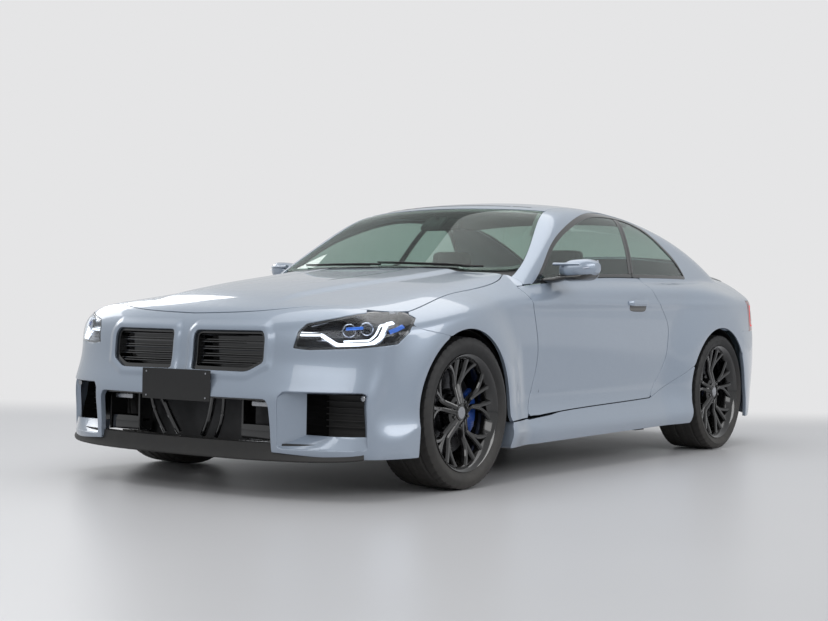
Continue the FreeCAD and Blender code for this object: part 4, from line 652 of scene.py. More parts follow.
def grid(points: Array, closed_u: bool = False, closed_v: bool = False) -> tuple[Array, Array]:
    """Returns a grid of points, counted u first, and its four-cornered faces.

    Args:
        points: An array of nu by nv by 3.
        closed_u: Whether the last row joins the first.
        closed_v: Whether the last column joins the first.
    """
    nu, nv = points.shape[:2]
    i = np.arange(nu if closed_u else nu - 1)
    j = np.arange(nv if closed_v else nv - 1)
    i, j = np.meshgrid(i, j, indexing="ij")
    i, j = i.ravel(), j.ravel()
    i2, j2 = (i + 1) % nu, (j + 1) % nv
    faces = np.stack([i * nv + j, i2 * nv + j, i2 * nv + j2, i * nv + j2], -1)
    return points.reshape(-1, 3), faces


def swept(path: Array, profile: Array, side: Array, over: Array, scale: Array | None = None) -> tuple[Array,
    Array]:
    """Carries a closed profile along a path and closes both ends: each point is the path's
    point plus the profile's two measures along the side and over directions there.

    Args:
        path: Points along the way, n by 3.
        profile: Points of the section, m by 2, turning left as seen from the path's end.
        side: The first direction at each path point, n by 3 or 3.
        over: The second direction at each path point.
        scale: How much the section grows at each path point, n or n by 2.
    """
    n = len(path)
    side = np.broadcast_to(side, (n, 3))
    over = np.broadcast_to(over, (n, 3))
    scale = np.ones((n, 2)) if scale is None else np.broadcast_to(np.asarray(scale, float).reshape(n, -1),
        (n, 2))
    section = profile[None] * scale[:, None, :]
    points = path[:, None] + section[..., :1] * side[:, None] + section[..., 1:] * over[:, None]
    p, f = grid(points, closed_v=True)
    m = profile.shape[0]
    ends = np.stack([path[0], path[-1]])
    p = np.concatenate([p, ends])
    j = np.arange(m)
    k = (j + 1) % m
    first = np.stack([np.full(m, n * m), j, k, k], -1)
    last = np.stack([np.full(m, n * m + 1), (n - 1) * m + k, (n - 1) * m + j, (n - 1) * m + j], -1)
    return p, np.concatenate([f, first, last])


def turned_shape(profile: Array, centre: Array, steps: int, closed: bool = True, start: float = 0.0,
                 end: float = 360.0) -> tuple[Array, Array]:
    """Turns a profile of (x, radius) points about a line along X through the centre."""
    whole_turn = abs(end - start) >= 360
    t = np.radians(np.linspace(start, end, steps, endpoint=not whole_turn))
    x = np.broadcast_to(profile[:, 0], (steps, len(profile)))
    r = profile[:, 1]
    points = np.stack([x, r * np.cos(t)[:, None], r * np.sin(t)[:, None]], -1) + centre
    return grid(points, closed_u=whole_turn, closed_v=closed)


def block(low: Sequence[float], high: Sequence[float], round_: float = 0.004,
          steps: int = 3) -> tuple[Array, Array]:
    """Returns a box with rounded edges: a cube's grid whose points are pushed to the rounding's
    distance from the box that is smaller by the rounding all round."""
    low, high = np.array(low, float), np.array(high, float)
    round_ = min(round_, (high - low).min() / 2.02)
    s = np.concatenate([np.linspace(-1, -0.999, 1), np.linspace(-1, 1, steps + 2)[1:-1], [1.0]])
    parts = []
    for axis in range(3):
        for sign in (-1, 1):
            a, b = np.meshgrid(s, s, indexing="ij")
            c = np.full_like(a, float(sign))
            order = [a, b]
            order.insert(axis, c)
            q = np.stack(order, -1)
            p, f = grid(q)
            turn = sign * (-1 if axis == 1 else 1)
            parts.append((p, f if turn > 0 else f[:, ::-1]))
    p, f = join_parts(parts)
    middle, half = (low + high) / 2, (high - low) / 2
    core = half - round_
    edge = np.sign(p) * np.where(np.abs(p) > 0.999, 1, np.abs(p))
    q = edge * half
    rough = np.clip(q, -core, core)
    away = q - rough
    dist = np.linalg.norm(away, axis=1, keepdims=True)
    q = np.where(dist > 0, rough + away / np.maximum(dist, 1e-9) * round_, q)
    key = np.round(q, 7)
    _, first, back = np.unique(key, axis=0, return_index=True, return_inverse=True)
    return q[first] + middle, back.reshape(-1)[f]


def tube(path: Array, radius: float | Array, steps: int = 12, flat: float = 1.0) -> tuple[Array, Array]:
    """Carries a circle along a path, its directions taken from the path's run and from up."""
    way = unit(np.gradient(path, axis=0))
    up = np.where(np.abs(way[:, 2:]) > 0.95, [[0.0, 1.0, 0.0]], [[0.0, 0.0, 1.0]])
    side = unit(np.cross(way, up))
    over = np.cross(side, way)
    t = np.linspace(0, 2 * np.pi, steps, endpoint=False)
    profile = np.stack([np.cos(t), -np.sin(t) * flat], -1)
    radius = np.broadcast_to(radius, (len(path),))
    return swept(path, profile, side, over, radius)


def bend(points: Sequence[Sequence[float]], count: int = 24) -> Array:
    """Returns a smooth line through points: a natural cubic in each measure over the run."""
    q = np.array(points, float)
    run = np.concatenate([[0], np.cumsum(np.linalg.norm(np.diff(q, axis=0), axis=1))])
    t = np.linspace(0, run[-1], count)
    if len(q) < 3:
        return q[0] + (q[-1] - q[0]) * (t / run[-1])[:, None]
    return np.stack([Curve(np.stack([run, q[:, k]], -1), 1, 1)(t) for k in range(q.shape[1])], -1)


@dataclass
class Panel:
    """A sheet on a form, cut along an outline, with a rounded edge all round and an inner face.

    Attributes:
        ray: Gives a start and a direction for each pair of shares.
        form: The level whose zero is the surface.
        counts: How many cells the grid has each way.
        keep: The outline's level at points; None keeps the whole grid.
        depth: How thick the sheet is.
        hem: The radius of its edge.
        flat: Where the inner face lies across the car, or None for one that follows the form.
    """

    ray: PointsOf
    form: Level
    counts: tuple[int, int]
    keep: Level | None = None
    depth: float = 0.012
    hem: float = HEM
    flat: float | None = None

    def at(self, uv: Array) -> Array:
        """Returns the points on the form at pairs of shares."""
        start, way = self.ray(uv[:, 0], uv[:, 1])
        return hit(self.form, start, way)

    def cross(self, uv_a: Array, uv_b: Array, k_a: Array, k_b: Array) -> tuple[Array, Array]:
        """Finds where the outline crosses between pairs of shares, by three false positions.

        Returns:
            The shares and the points of the crossings.
        """
        lo, hi, klo, khi = uv_a.copy(), uv_b.copy(), k_a.copy(), k_b.copy()
        uv = lo
        for turn in range(4):
            t = np.clip(klo / (klo - khi), 0.02, 0.98)
            uv = lo + (hi - lo) * t[:, None]
            p = self.at(uv)
            if turn == 3:
                break
            k = self.keep(p)
            same = (k < 0) == (klo < 0)
            lo = np.where(same[:, None], uv, lo)
            klo = np.where(same, k, klo)
            hi = np.where(same[:, None], hi, uv)
            khi = np.where(same, khi, k)
        return uv, p

    def build(self) -> tuple[Array, Array, Array, Array]:
        """Builds the closed sheet.

        Returns:
            Its points, its faces' corners, how many corners each face has, and a direction for
            each corner.
        """
        nu, nv = self.counts
        u, v = np.meshgrid(np.linspace(0, 1, nu + 1), np.linspace(0, 1, nv + 1), indexing="ij")
        uv = np.stack([u.ravel(), v.ravel()], -1)
        p = self.at(uv)
        k = np.full(len(p), -1.0) if self.keep is None else self.keep(p)
        ids = np.arange(len(p)).reshape(nu + 1, nv + 1)
        ea = np.concatenate([ids[:-1].ravel(), ids[:, :-1].ravel()])
        eb = np.concatenate([ids[1:].ravel(), ids[:, 1:].ravel()])
        crossing = (k[ea] < 0) != (k[eb] < 0)
        if crossing.any():
            a, b = ea[crossing], eb[crossing]
            t = k[a] / (k[a] - k[b])
            near = np.full(len(p), 9.0)
            np.minimum.at(near, a, t)
            np.minimum.at(near, b, 1 - t)
            for me, other, share in ((a, b, t), (b, a, 1 - t)):
                pick = (share <= near[me]) & (share < 0.3)
                m, o = me[pick], other[pick]
                m, first = np.unique(m, return_index=True)
                o = o[first]
                new_uv, new_p = self.cross(uv[m], uv[o], k[m], k[o])
                uv[m], p[m] = new_uv, new_p
                k[m] = 0.0
        strict = (np.sign(k[ea]) * np.sign(k[eb])) < 0
        a, b = ea[strict], eb[strict]
        extra = np.zeros((0, 3))
        if len(a):
            _, extra = self.cross(uv[a], uv[b], k[a], k[b])
        edge_id = np.full(len(ea), -1)
        edge_id[strict] = len(p) + np.arange(len(a))
        points = np.concatenate([p, extra])
        across_ids = edge_id[: nu * (nv + 1)].reshape(nu, nv + 1)
        up_ids = edge_id[nu * (nv + 1):].reshape(nu + 1, nv)
        corner = np.where(k.reshape(nu + 1, nv + 1) <= 0, ids, -1)
        slots = np.stack([
            corner[:-1, :-1], across_ids[:, :-1], corner[1:, :-1], up_ids[1:, :],
            corner[1:, 1:], across_ids[:, 1:], corner[:-1, 1:], up_ids[:-1, :],
        ], -1).reshape(-1, 8)
        level = k.reshape(nu + 1, nv + 1) < 0
        deep = (level[:-1, :-1] | level[1:, :-1] | level[1:, 1:] | level[:-1, 1:]).ravel()
        present = slots >= 0
        good = deep & (present.sum(1) >= 3)
        slots, present = slots[good], present[good]
        totals = present.sum(1)
        loops = slots[present]
        used, loops = np.unique(loops, return_inverse=True)
        points = points[used]
        n = outward(self.form, points)
        starts = np.concatenate([[0], np.cumsum(totals)[:-1]])
        following = np.arange(len(loops)) + 1
        following[starts + totals - 1] = starts
        first, second = loops[starts], loops[following[starts]]
        third = loops[following[following[starts]]]
        facing = (np.cross(points[second] - points[first], points[third] - points[second]) * n[first]).sum()
        if facing < 0:
            order = np.repeat(starts + totals - 1,
                              totals) - (np.arange(len(loops)) - np.repeat(starts, totals))
            loops = loops[order]
        head, tail = loops, loops[following]
        count = len(points)
        lone = ~np.isin(head.astype(np.int64) * count + tail, tail.astype(np.int64) * count + head)
        ba, bb = head[lone], tail[lone]
        side = np.cross(unit(points[bb] - points[ba]), unit(n[ba] + n[bb]))
        out = np.zeros_like(points)
        np.add.at(out, ba, side)
        np.add.at(out, bb, side)
        rim = np.unique(np.concatenate([ba, bb]))
        place = np.full(count, -1)
        place[rim] = np.arange(len(rim))
        o, nr, pr = unit(out[rim]), n[rim], points[rim]
        o = unit(o - nr * (o * nr).sum(1, keepdims=True))
        rings, turns = [], []
        for angle in (30, 60, 90):
            s, c = math.sin(math.radians(angle)), math.cos(math.radians(angle))
            rings.append(pr + o * self.hem * s - nr * self.hem * (1 - c))
            turns.append(nr * c + o * s)
        if self.flat is None:
            back = points - n * self.depth
            last = pr + o * self.hem - nr * self.depth
        else:
            back = points * [0, 1, 1] + [self.flat, 0, 0]
            last = rings[-1] * [0, 1, 1] + [self.flat, 0, 0]
        back[rim] = last
        m = len(rim)
        allp = np.concatenate([points, *rings, back])
        layers = [rim] + [count + m * k + np.arange(m) for k in range(3)] + [count + 3 * m + rim]
        dirs = [nr] + turns + [o]
        ia, ib = place[ba], place[bb]
        quad, quad_n = [], []
        for k in range(4):
            quad.append(np.stack([layers[k][ib], layers[k][ia], layers[k + 1][ia], layers[k + 1][ib]], -1))
            quad_n.append(np.stack([dirs[k][ib], dirs[k][ia], dirs[k + 1][ia], dirs[k + 1][ib]], 1))
        quads = np.concatenate(quad).ravel()
        quads_n = np.concatenate(quad_n).reshape(-1, 3)
        order = np.repeat(starts + totals - 1, totals) - (np.arange(len(loops)) - np.repeat(starts, totals))
        inner = loops[order] + count + 3 * m
        all_loops = np.concatenate([loops, quads, inner])
        all_totals = np.concatenate([totals, np.full(len(quads) // 4, 4), totals])
        inner_n = -n[loops[order]] if self.flat is None else np.tile([-1.0, 0, 0], (len(inner), 1))
        normals = np.concatenate([n[loops], quads_n, inner_n])
        return allp, all_loops, all_totals, normals


def panel(name: str, sheets: Sequence[Panel], side: Side | None, body_name: str, finish: "Finish",
          hides: Sequence[str] = ()) -> bpy.types.Object:
    """Builds a piece from one or more sheets.

    Args:
        name: The piece's name.
        sheets: The sheets, worked out on the left.
        side: LEFT keeps them, RIGHT mirrors them, and None makes both in one piece.
        body_name: The body that it rides on.
        finish: Its finish.
        hides: The nodes that it stands for.

    Returns:
        The object.
    """
    points, loops, totals, normals = [], [], [], []
    count = 0
    for sheet in sheets:
        p, l, t, n = sheet.build()
        variants = [side is not Side.RIGHT, side is not Side.LEFT]
        if side is None and sheet.keep is None:
            variants = [True, False]
        for k, wanted in enumerate(variants):
            if not wanted:
                continue
            if k == 0:
                points.append(p)
                loops.append(l + count)
                normals.append(n)
            else:
                starts = np.concatenate([[0], np.cumsum(t)[:-1]])
                order = np.repeat(starts + t - 1, t) - (np.arange(len(l)) - np.repeat(starts, t))
                points.append(p * [-1, 1, 1])
                loops.append(l[order] + count)
                normals.append(n[order] * [-1, 1, 1])
            totals.append(t)
            count += len(p)
    faces = (np.concatenate(loops), np.concatenate(totals))
    return make(name, np.concatenate(points), faces, body_name, finish, np.concatenate(normals), hides)


# Finishes


class Grain(Enum):
    """The fine relief of a surface."""

    PEEL = "peel"
    RUBBER = "rubber"
    MOULDED = "moulded"
    LEATHER = "leather"
    BRUSHED = "brushed"
    CAST = "cast"
    CARPET = "carpet"
    SMOOTH = "smooth"


def linear(red: int, green: int, blue: int) -> tuple[float, float, float, float]:
    """Returns a colour written as on a screen, 0 to 255, in the shader's own scale."""
    c = np.array([red, green, blue]) / 255
    c = np.where(c <= 0.04045, c / 12.92, ((c + 0.055) / 1.055) ** 2.4)
    return float(c[0]), float(c[1]), float(c[2]), 1.0


class NodeSheet:
    """A node tree with short ways to add and join nodes."""

    def __init__(self, tree: bpy.types.NodeTree) -> None:
        """Keeps the tree."""
        self.tree = tree

    def add(self, kind: str, values: dict | None = None, **fields: object) -> bpy.types.Node:
        """Adds a node.

        Args:
            kind: The node's type.
            values: Input values or outputs to join, by input name or number.
            fields: The node's own settings.

        Returns:
            The node.
        """
        node = self.tree.nodes.new(kind)
        for key, value in fields.items():
            setattr(node, key, value)
        for key, value in (values or {}).items():
            if isinstance(value, bpy.types.NodeSocket):
                self.tree.links.new(value, node.inputs[key])
            else:
                node.inputs[key].default_value = value
        return node

    def math(self, operation: str, a: object, b: object = 0.0, clamp: bool = False) -> bpy.types.NodeSocket:
        """Returns the output of a sum of two values."""
        return self.add("ShaderNodeMath", {0: a, 1: b}, operation=operation, use_clamp=clamp).outputs[0]


def group_of(name: str, inputs: Sequence[tuple[str, float]],
             outputs: Sequence[str]) -> tuple[bpy.types.NodeTree, NodeSheet, bpy.types.Node, bpy.types.Node]:
    """Makes an empty shader node group with named float sockets."""
    tree = bpy.data.node_groups.new(name, "ShaderNodeTree")
    for key, value in inputs:
        tree.interface.new_socket(key, in_out="INPUT", socket_type="NodeSocketFloat").default_value = value
    for key in outputs:
        tree.interface.new_socket(key, in_out="OUTPUT", socket_type="NodeSocketFloat")
    sheet = NodeSheet(tree)
    return tree, sheet, sheet.add("NodeGroupInput"), sheet.add("NodeGroupOutput")


def grain_group(kind: Grain) -> bpy.types.NodeTree:
    """Builds, once, the group for a kind of relief: Height, Tone and Rough from Scale.

    The height is noise for peel, cast and moulded surfaces, cells for leather and rubber, noise
    drawn out along one way for brushed metal, and fine tufts for carpet. Tone and Rough vary
    slowly over the surface.
    """
    name = "grain_" + kind.value
    if name in bpy.data.node_groups:
        return bpy.data.node_groups[name]
    tree, s, source, out = group_of(name, [("Scale", 200.0)], ["Height", "Tone", "Rough"])
    place = s.add("ShaderNodeTexCoord").outputs["Object"]
    if kind in (Grain.LEATHER, Grain.RUBBER):
        cells = s.add("ShaderNodeTexVoronoi", {"Vector": place, "Scale": source.outputs["Scale"]},
                      feature="DISTANCE_TO_EDGE")
        height = s.math("MINIMUM", cells.outputs["Distance"], 0.22)
    elif kind is Grain.BRUSHED:
        drawn = s.add("ShaderNodeMapping", {"Vector": place, "Scale": (1.0, 1.0, 14.0)})
        height = s.add("ShaderNodeTexNoise",
                       {"Vector": drawn.outputs[0], "Scale": source.outputs["Scale"],
                        "Detail": 3.0}).outputs[0]
    elif kind is Grain.CARPET:
        height = s.add("ShaderNodeTexVoronoi",
                       {"Vector": place, "Scale": source.outputs["Scale"]}).outputs["Distance"]
    else:
        detail = 1.0 if kind is Grain.PEEL else 5.0
        height = s.add("ShaderNodeTexNoise",
                       {"Vector": place, "Scale": source.outputs["Scale"], "Detail": detail}).outputs[0]
    broad = s.add("ShaderNodeTexNoise",
                  {"Vector": place, "Scale": 3.1, "Detail": 4.0, "Roughness": 0.62}).outputs[0]
    small = s.add("ShaderNodeTexNoise", {"Vector": place, "Scale": 38.0, "Detail": 3.0}).outputs[0]
    s.tree.links.new(height, out.inputs["Height"])
    s.tree.links.new(s.math("ADD", s.math("MULTIPLY", broad, 0.65), s.math("MULTIPLY", small, 0.35)),
                     out.inputs["Tone"])
    s.tree.links.new(s.math("ADD", s.math("MULTIPLY", broad, 0.5), s.math("MULTIPLY", small, 0.5)),
                     out.inputs["Rough"])
    return tree


def flake_group() -> bpy.types.NodeTree:
    """Builds, once, the group for metal flakes in paint: tiny cells, each with its own Shine."""
    if "metal_flake" in bpy.data.node_groups:
        return bpy.data.node_groups["metal_flake"]
    tree, s, source, out = group_of("metal_flake", [("Scale", 1500.0), ("Amount", 0.06)], ["Shine"])
    place = s.add("ShaderNodeTexCoord").outputs["Object"]
    cells = s.add("ShaderNodeTexVoronoi", {"Vector": place, "Scale": source.outputs["Scale"]})
    apart = s.add("ShaderNodeSeparateColor", {0: cells.outputs["Color"]})
    shine = s.math("MULTIPLY", s.math("SUBTRACT", apart.outputs[0], 0.5), source.outputs["Amount"])
    s.tree.links.new(s.math("ADD", shine, 1.0), out.inputs["Shine"])
    return tree


def dust_group() -> bpy.types.NodeTree:
    """Builds, once, the group for road dust: a Mask that is strongest low down and in patches."""
    if "road_dust" in bpy.data.node_groups:
        return bpy.data.node_groups["road_dust"]
    tree, s, source, out = group_of("road_dust", [("Amount", 0.1), ("Top", 0.5)], ["Mask"])
    place = s.add("ShaderNodeTexCoord").outputs["Object"]
    z = s.add("ShaderNodeSeparateXYZ", {0: place}).outputs[2]
    low = s.math("SUBTRACT", 1.0, s.math("DIVIDE", z, source.outputs["Top"]), clamp=True)
    patch = s.add("ShaderNodeTexNoise",
                  {"Vector": place, "Scale": 9.0, "Detail": 6.0, "Roughness": 0.7}).outputs[0]
    s.tree.links.new(s.math("MULTIPLY", s.math("MULTIPLY", low, patch), source.outputs["Amount"]),
                     out.inputs["Mask"])
    return tree


@dataclass(frozen=True)
class Finish:
    """A surface's finish.

    Attributes:
        name: The material's name.
        slot: The record's material slot.
        color: Its main colour, as on a screen.
        tone: A second colour that the first drifts to in patches.
        rough: Its middle roughness.
        span: How far the roughness wanders.
        metallic: How metallic it is.
        coat: How much clear coat lies on it.
        grain: The relief's kind.
        scale: The relief's cells in a metre.
        relief: The relief's height in metres.
        flake: How much its metal flakes glint.
        dust: How much dust lies low on it.
        specular: The specular level.
        glow: The strength of its own light.
        clear: Whether it is clear glass or plastic.
        ior: The glass's index.
    """

    name: str
    slot: str
    color: tuple[int, int, int]
    tone: tuple[int, int, int] | None = None
    rough: float = 0.4
    span: float = 0.08
    metallic: float = 0.0
    coat: float = 0.0
    grain: Grain = Grain.MOULDED
    scale: float = 600.0
    relief: float = 0.00004
    flake: float = 0.0
    dust: float = 0.0
    specular: float = 0.5
    glow: float = 0.0
    clear: bool = False
    ior: float = 1.45

    def material(self) -> bpy.types.Material:
        """Builds the material once and returns it."""
        if self.name in bpy.data.materials:
            return bpy.data.materials[self.name]
        mat = bpy.data.materials.new(self.name)
        mat.use_nodes = True
        s = NodeSheet(mat.node_tree)
        shader = mat.node_tree.nodes["Principled BSDF"]
        grain = s.add("ShaderNodeGroup", node_tree=grain_group(self.grain))
        grain.inputs["Scale"].default_value = self.scale
        tone = self.tone or tuple(int(c * 0.93) for c in self.color)
        mixed = s.add("ShaderNodeMix", {0: grain.outputs["Tone"], 6: linear(*self.color), 7: linear(*tone)},
                      data_type="RGBA")
        color = mixed.outputs[2]
        if self.flake:
            flake = s.add("ShaderNodeGroup", node_tree=flake_group())
            flake.inputs["Amount"].default_value = self.flake
            color = s.add("ShaderNodeMix", {0: 1.0, 6: color, 7: flake.outputs[0]}, data_type="RGBA",
                          blend_type="MULTIPLY").outputs[2]
        if self.dust:
            dust = s.add("ShaderNodeGroup", node_tree=dust_group())
            dust.inputs["Amount"].default_value = self.dust
            color = s.add("ShaderNodeMix", {0: dust.outputs[0], 6: color, 7: linear(150, 143, 132)},
                          data_type="RGBA").outputs[2]
        mat.node_tree.links.new(color, shader.inputs["Base Color"])
        span = s.add("ShaderNodeMapRange",
                     {0: grain.outputs["Rough"], 1: 0.3, 2: 0.7, 3: max(self.rough - self.span, 0.0),
                      4: self.rough + self.span})
        mat.node_tree.links.new(span.outputs[0], shader.inputs["Roughness"])
        if self.grain is not Grain.SMOOTH:
            bump = s.add("ShaderNodeBump",
                         {"Strength": 0.6, "Distance": self.relief, "Height": grain.outputs["Height"]})
            mat.node_tree.links.new(bump.outputs[0], shader.inputs["Normal"])
        shader.inputs["Metallic"].default_value = self.metallic
        shader.inputs["Specular IOR Level"].default_value = self.specular
        shader.inputs["Coat Weight"].default_value = self.coat
        shader.inputs["Coat Roughness"].default_value = 0.03
        if self.glow:
            mat.node_tree.links.new(color, shader.inputs["Emission Color"])
            shader.inputs["Emission Strength"].default_value = self.glow
        if self.clear:
            shader.inputs["Transmission Weight"].default_value = 1.0
            shader.inputs["IOR"].default_value = self.ior
            path = s.add("ShaderNodeLightPath")
            see = s.add("ShaderNodeBsdfTransparent", {0: linear(*self.color)})
            either = s.add("ShaderNodeMixShader",
                           {0: path.outputs["Is Shadow Ray"], 1: shader.outputs[0], 2: see.outputs[0]})
            mat.node_tree.links.new(either.outputs[0], mat.node_tree.nodes["Material Output"].inputs[0])
        return mat

    def dress(self, obj: bpy.types.Object) -> None:
        """Gives the finish to a piece of the scene."""
        obj.data.materials.clear()
        obj.data.materials.append(self.material())

    def coat_node(self, node: bpy.types.Object) -> None:
        """Gives the finish to a node that came with the frame."""
        if not node.material_slots:
            node.data.materials.append(None)
        for place in node.material_slots:
            place.material = self.material()


PAINT = Finish("blue_grey_paint", "body_paint", (146, 158, 173), (142, 154, 170), 0.34, 0.03, 0.35, 1.0,
               Grain.PEEL, 260.0, 0.00001, 0.10, 0.10)
GLASS = Finish("green_tint_glass", "glass", (196, 212, 206), (190, 208, 202), 0.0, 0.0, clear=True,
               grain=Grain.SMOOTH)
LENS = Finish("clear_lens", "glass", (240, 243, 246), (236, 240, 244), 0.0, 0.0, clear=True,
              grain=Grain.SMOOTH, ior=1.22)
SCREEN = Finish("dark_screen_glass", "glass", (176, 196, 188), (172, 192, 184), 0.0, 0.0, clear=True,
                grain=Grain.SMOOTH, ior=1.2)
BLACK_GLOSS = Finish("gloss_black_trim", "gloss_black", (9, 9, 10), (13, 13, 14), 0.12, 0.05, coat=0.8,
                     grain=Grain.PEEL, scale=300.0, relief=0.00001)
BLACK_WHEEL = Finish("gloss_black_wheel", "wheel_black", (12, 12, 13), (18, 18, 19), 0.16, 0.05, 0.3, 1.0,
                     Grain.PEEL, 340.0, 0.00001, dust=0.05)
RUBBER = Finish("tyre_rubber", "tyre", (17, 17, 18), (25, 25, 26), 0.62, 0.10, grain=Grain.RUBBER,
                scale=900.0, relief=0.00006, dust=0.18)
PLASTIC = Finish("matt_black_plastic", "gloss_black", (17, 17, 18), (24, 24, 25), 0.5, 0.08,
                 grain=Grain.MOULDED, scale=1400.0, relief=0.00006, dust=0.08)
MESH = Finish("grey_mesh", "dark_metal", (70, 71, 73), (56, 57, 60), 0.5, 0.1, 0.6, grain=Grain.CAST,
              scale=700.0, dust=0.15)
DARK_METAL = Finish("dark_cast_metal", "dark_metal", (52, 53, 56), (38, 39, 42), 0.5, 0.12, 0.8,
                    grain=Grain.CAST, scale=260.0, relief=0.0003, dust=0.5)
BRIGHT = Finish("brushed_metal", "bright_metal", (178, 180, 184), (150, 152, 157), 0.28, 0.08, 1.0,
                grain=Grain.BRUSHED, scale=300.0, relief=0.00003)
# The brake disc's colour is its dark metal, darkened further by painted shade for the shadow inside the
# wheel.
DISC_METAL_AND_PAINTED_SHADE = Finish("disc_metal_and_painted_shade", "bright_metal", (84, 85, 88), (66, 67, 70), 0.3, 0.1, 1.0,
              grain=Grain.BRUSHED, scale=420.0, relief=0.00004, dust=0.1)
CALIPER = Finish("blue_caliper_paint", "bright_metal", (28, 66, 140), (22, 56, 122), 0.3, 0.08, coat=0.6,
                 grain=Grain.CAST, scale=420.0, relief=0.00008)
LAMP_DARK = Finish("lamp_inside", "gloss_black", (20, 22, 27), (30, 33, 40), 0.22, 0.08, 0.4,
                   grain=Grain.MOULDED, scale=900.0)
LAMP_CHROME = Finish("lamp_chrome", "bright_metal", (198, 202, 210), (170, 176, 188), 0.08, 0.04, 1.0,
                     grain=Grain.SMOOTH)
LIGHT = Finish("daytime_light", "bright_metal", (250, 252, 255), (236, 244, 255), 0.3, 0.05,
               grain=Grain.SMOOTH, glow=1.5)
# The headlamps' blue accents are blue trim of their own colour, not lamps; their weak glow is painted glow.
BLUE_ACCENT_PAINTED_GLOW = Finish("lamp_blue_accent_painted_glow", "glass", (60, 120, 215), (40, 90, 180), 0.12, 0.05, 0.5,
                   grain=Grain.SMOOTH, glow=0.12)
RED_LENS = Finish("red_lamp_lens", "lamp_red", (128, 8, 12), (96, 5, 9), 0.08, 0.03, coat=1.0,
                  grain=Grain.SMOOTH)
RED_LIGHT = Finish("red_lamp_line", "lamp_red", (210, 22, 24), (180, 14, 18), 0.2, 0.05, grain=Grain.SMOOTH,
                   glow=0.5)
CABIN = Finish("soft_cabin_plastic", "cabin_plastic", (26, 26, 28), (34, 34, 36), 0.62, 0.08,
               grain=Grain.LEATHER, scale=700.0, relief=0.00012)
LEATHER = Finish("black_leather", "seat_leather", (24, 24, 26), (34, 34, 37), 0.45, 0.08,
                 grain=Grain.LEATHER, scale=520.0, relief=0.0002)
RED_ACCENT = Finish("red_accent", "seat_leather", (190, 26, 28), (170, 20, 24), 0.4, 0.1,
                    grain=Grain.MOULDED, scale=900.0)
CARPET_MAT = Finish("black_carpet", "cabin_plastic", (22, 22, 23), (32, 32, 33), 0.9, 0.05,
                    grain=Grain.CARPET, scale=900.0, relief=0.0008)
STEEL = Finish("exhaust_steel", "bright_metal", (120, 121, 124), (88, 88, 92), 0.32, 0.12, 1.0,
               grain=Grain.BRUSHED, scale=260.0, relief=0.00005, dust=0.1)
TIP = Finish("black_chrome_tip", "bright_metal", (52, 53, 56), (40, 41, 44), 0.14, 0.05, 1.0,
             grain=Grain.SMOOTH)


# Outer panels

OFF = SHUT / 2 + HEM
LOW_FAN = math.atan2(HEIGHT * 0.06 - MIDDLE, HALF)
SPLIT = ((LENGTH * 0.0847, HEIGHT * 0.7128), (LENGTH * 0.1151, HEIGHT * 0.9359))


def split_line(p: Array) -> Array:
    """Returns how far a point is behind the leaning line between the two side windows."""
    (y0, z0), (y1, z1) = SPLIT
    return p[:, 1] - (y0 + (p[:, 2] - z0) * (y1 - y0) / (z1 - z0))


def lamp_level(p: Array) -> Array:
    """Returns the headlamp outline's level, seen square to the corner of the nose."""
    shares = (
        (-0.1867, 0.4405), (-0.1711, 0.4918), (-0.1461, 0.5146), (0, 0.5445), (0.1354, 0.5574),
        (0.1867, 0.536), (0.1604, 0.4918), (0.1212, 0.4562), (0, 0.4433), (-0.1426, 0.4362),
    )
    shape = outline([(a * HEIGHT, b * HEIGHT) for a, b in shares])
    along_way = ((p[:, 0] - HALF * 0.7239) + (p[:, 1] + LENGTH * 0.4231)) * math.sqrt(0.5)
    away = ((p[:, 0] - HALF * 0.7239) - (p[:, 1] + LENGTH * 0.4231)) * math.sqrt(0.5)
    return np.where(away > -0.17, shape(along_way, p[:, 2]), 1.0)


KIDNEY = convex([(0.058, 0.517), (0.056, 0.676), (0.068, 0.690), (0.424, 0.692), (0.442, 0.664),
                 (0.442, 0.556), (0.366, 0.515)], 0.018)
INTAKE = convex([(-0.507, 0.08), (-0.505, 0.240), (-0.497, 0.385), (-0.478, 0.412), (0.478, 0.412),
                 (0.497, 0.385), (0.505, 0.240), (0.507, 0.08)], 0.012)
SIDE_INTAKE = convex([(0.524, 0.216), (0.530, 0.420), (0.552, 0.446), (0.852, 0.446), (0.864, 0.436),
                      (0.864, 0.216), (0.852, 0.205), (0.536, 0.205)], 0.008)


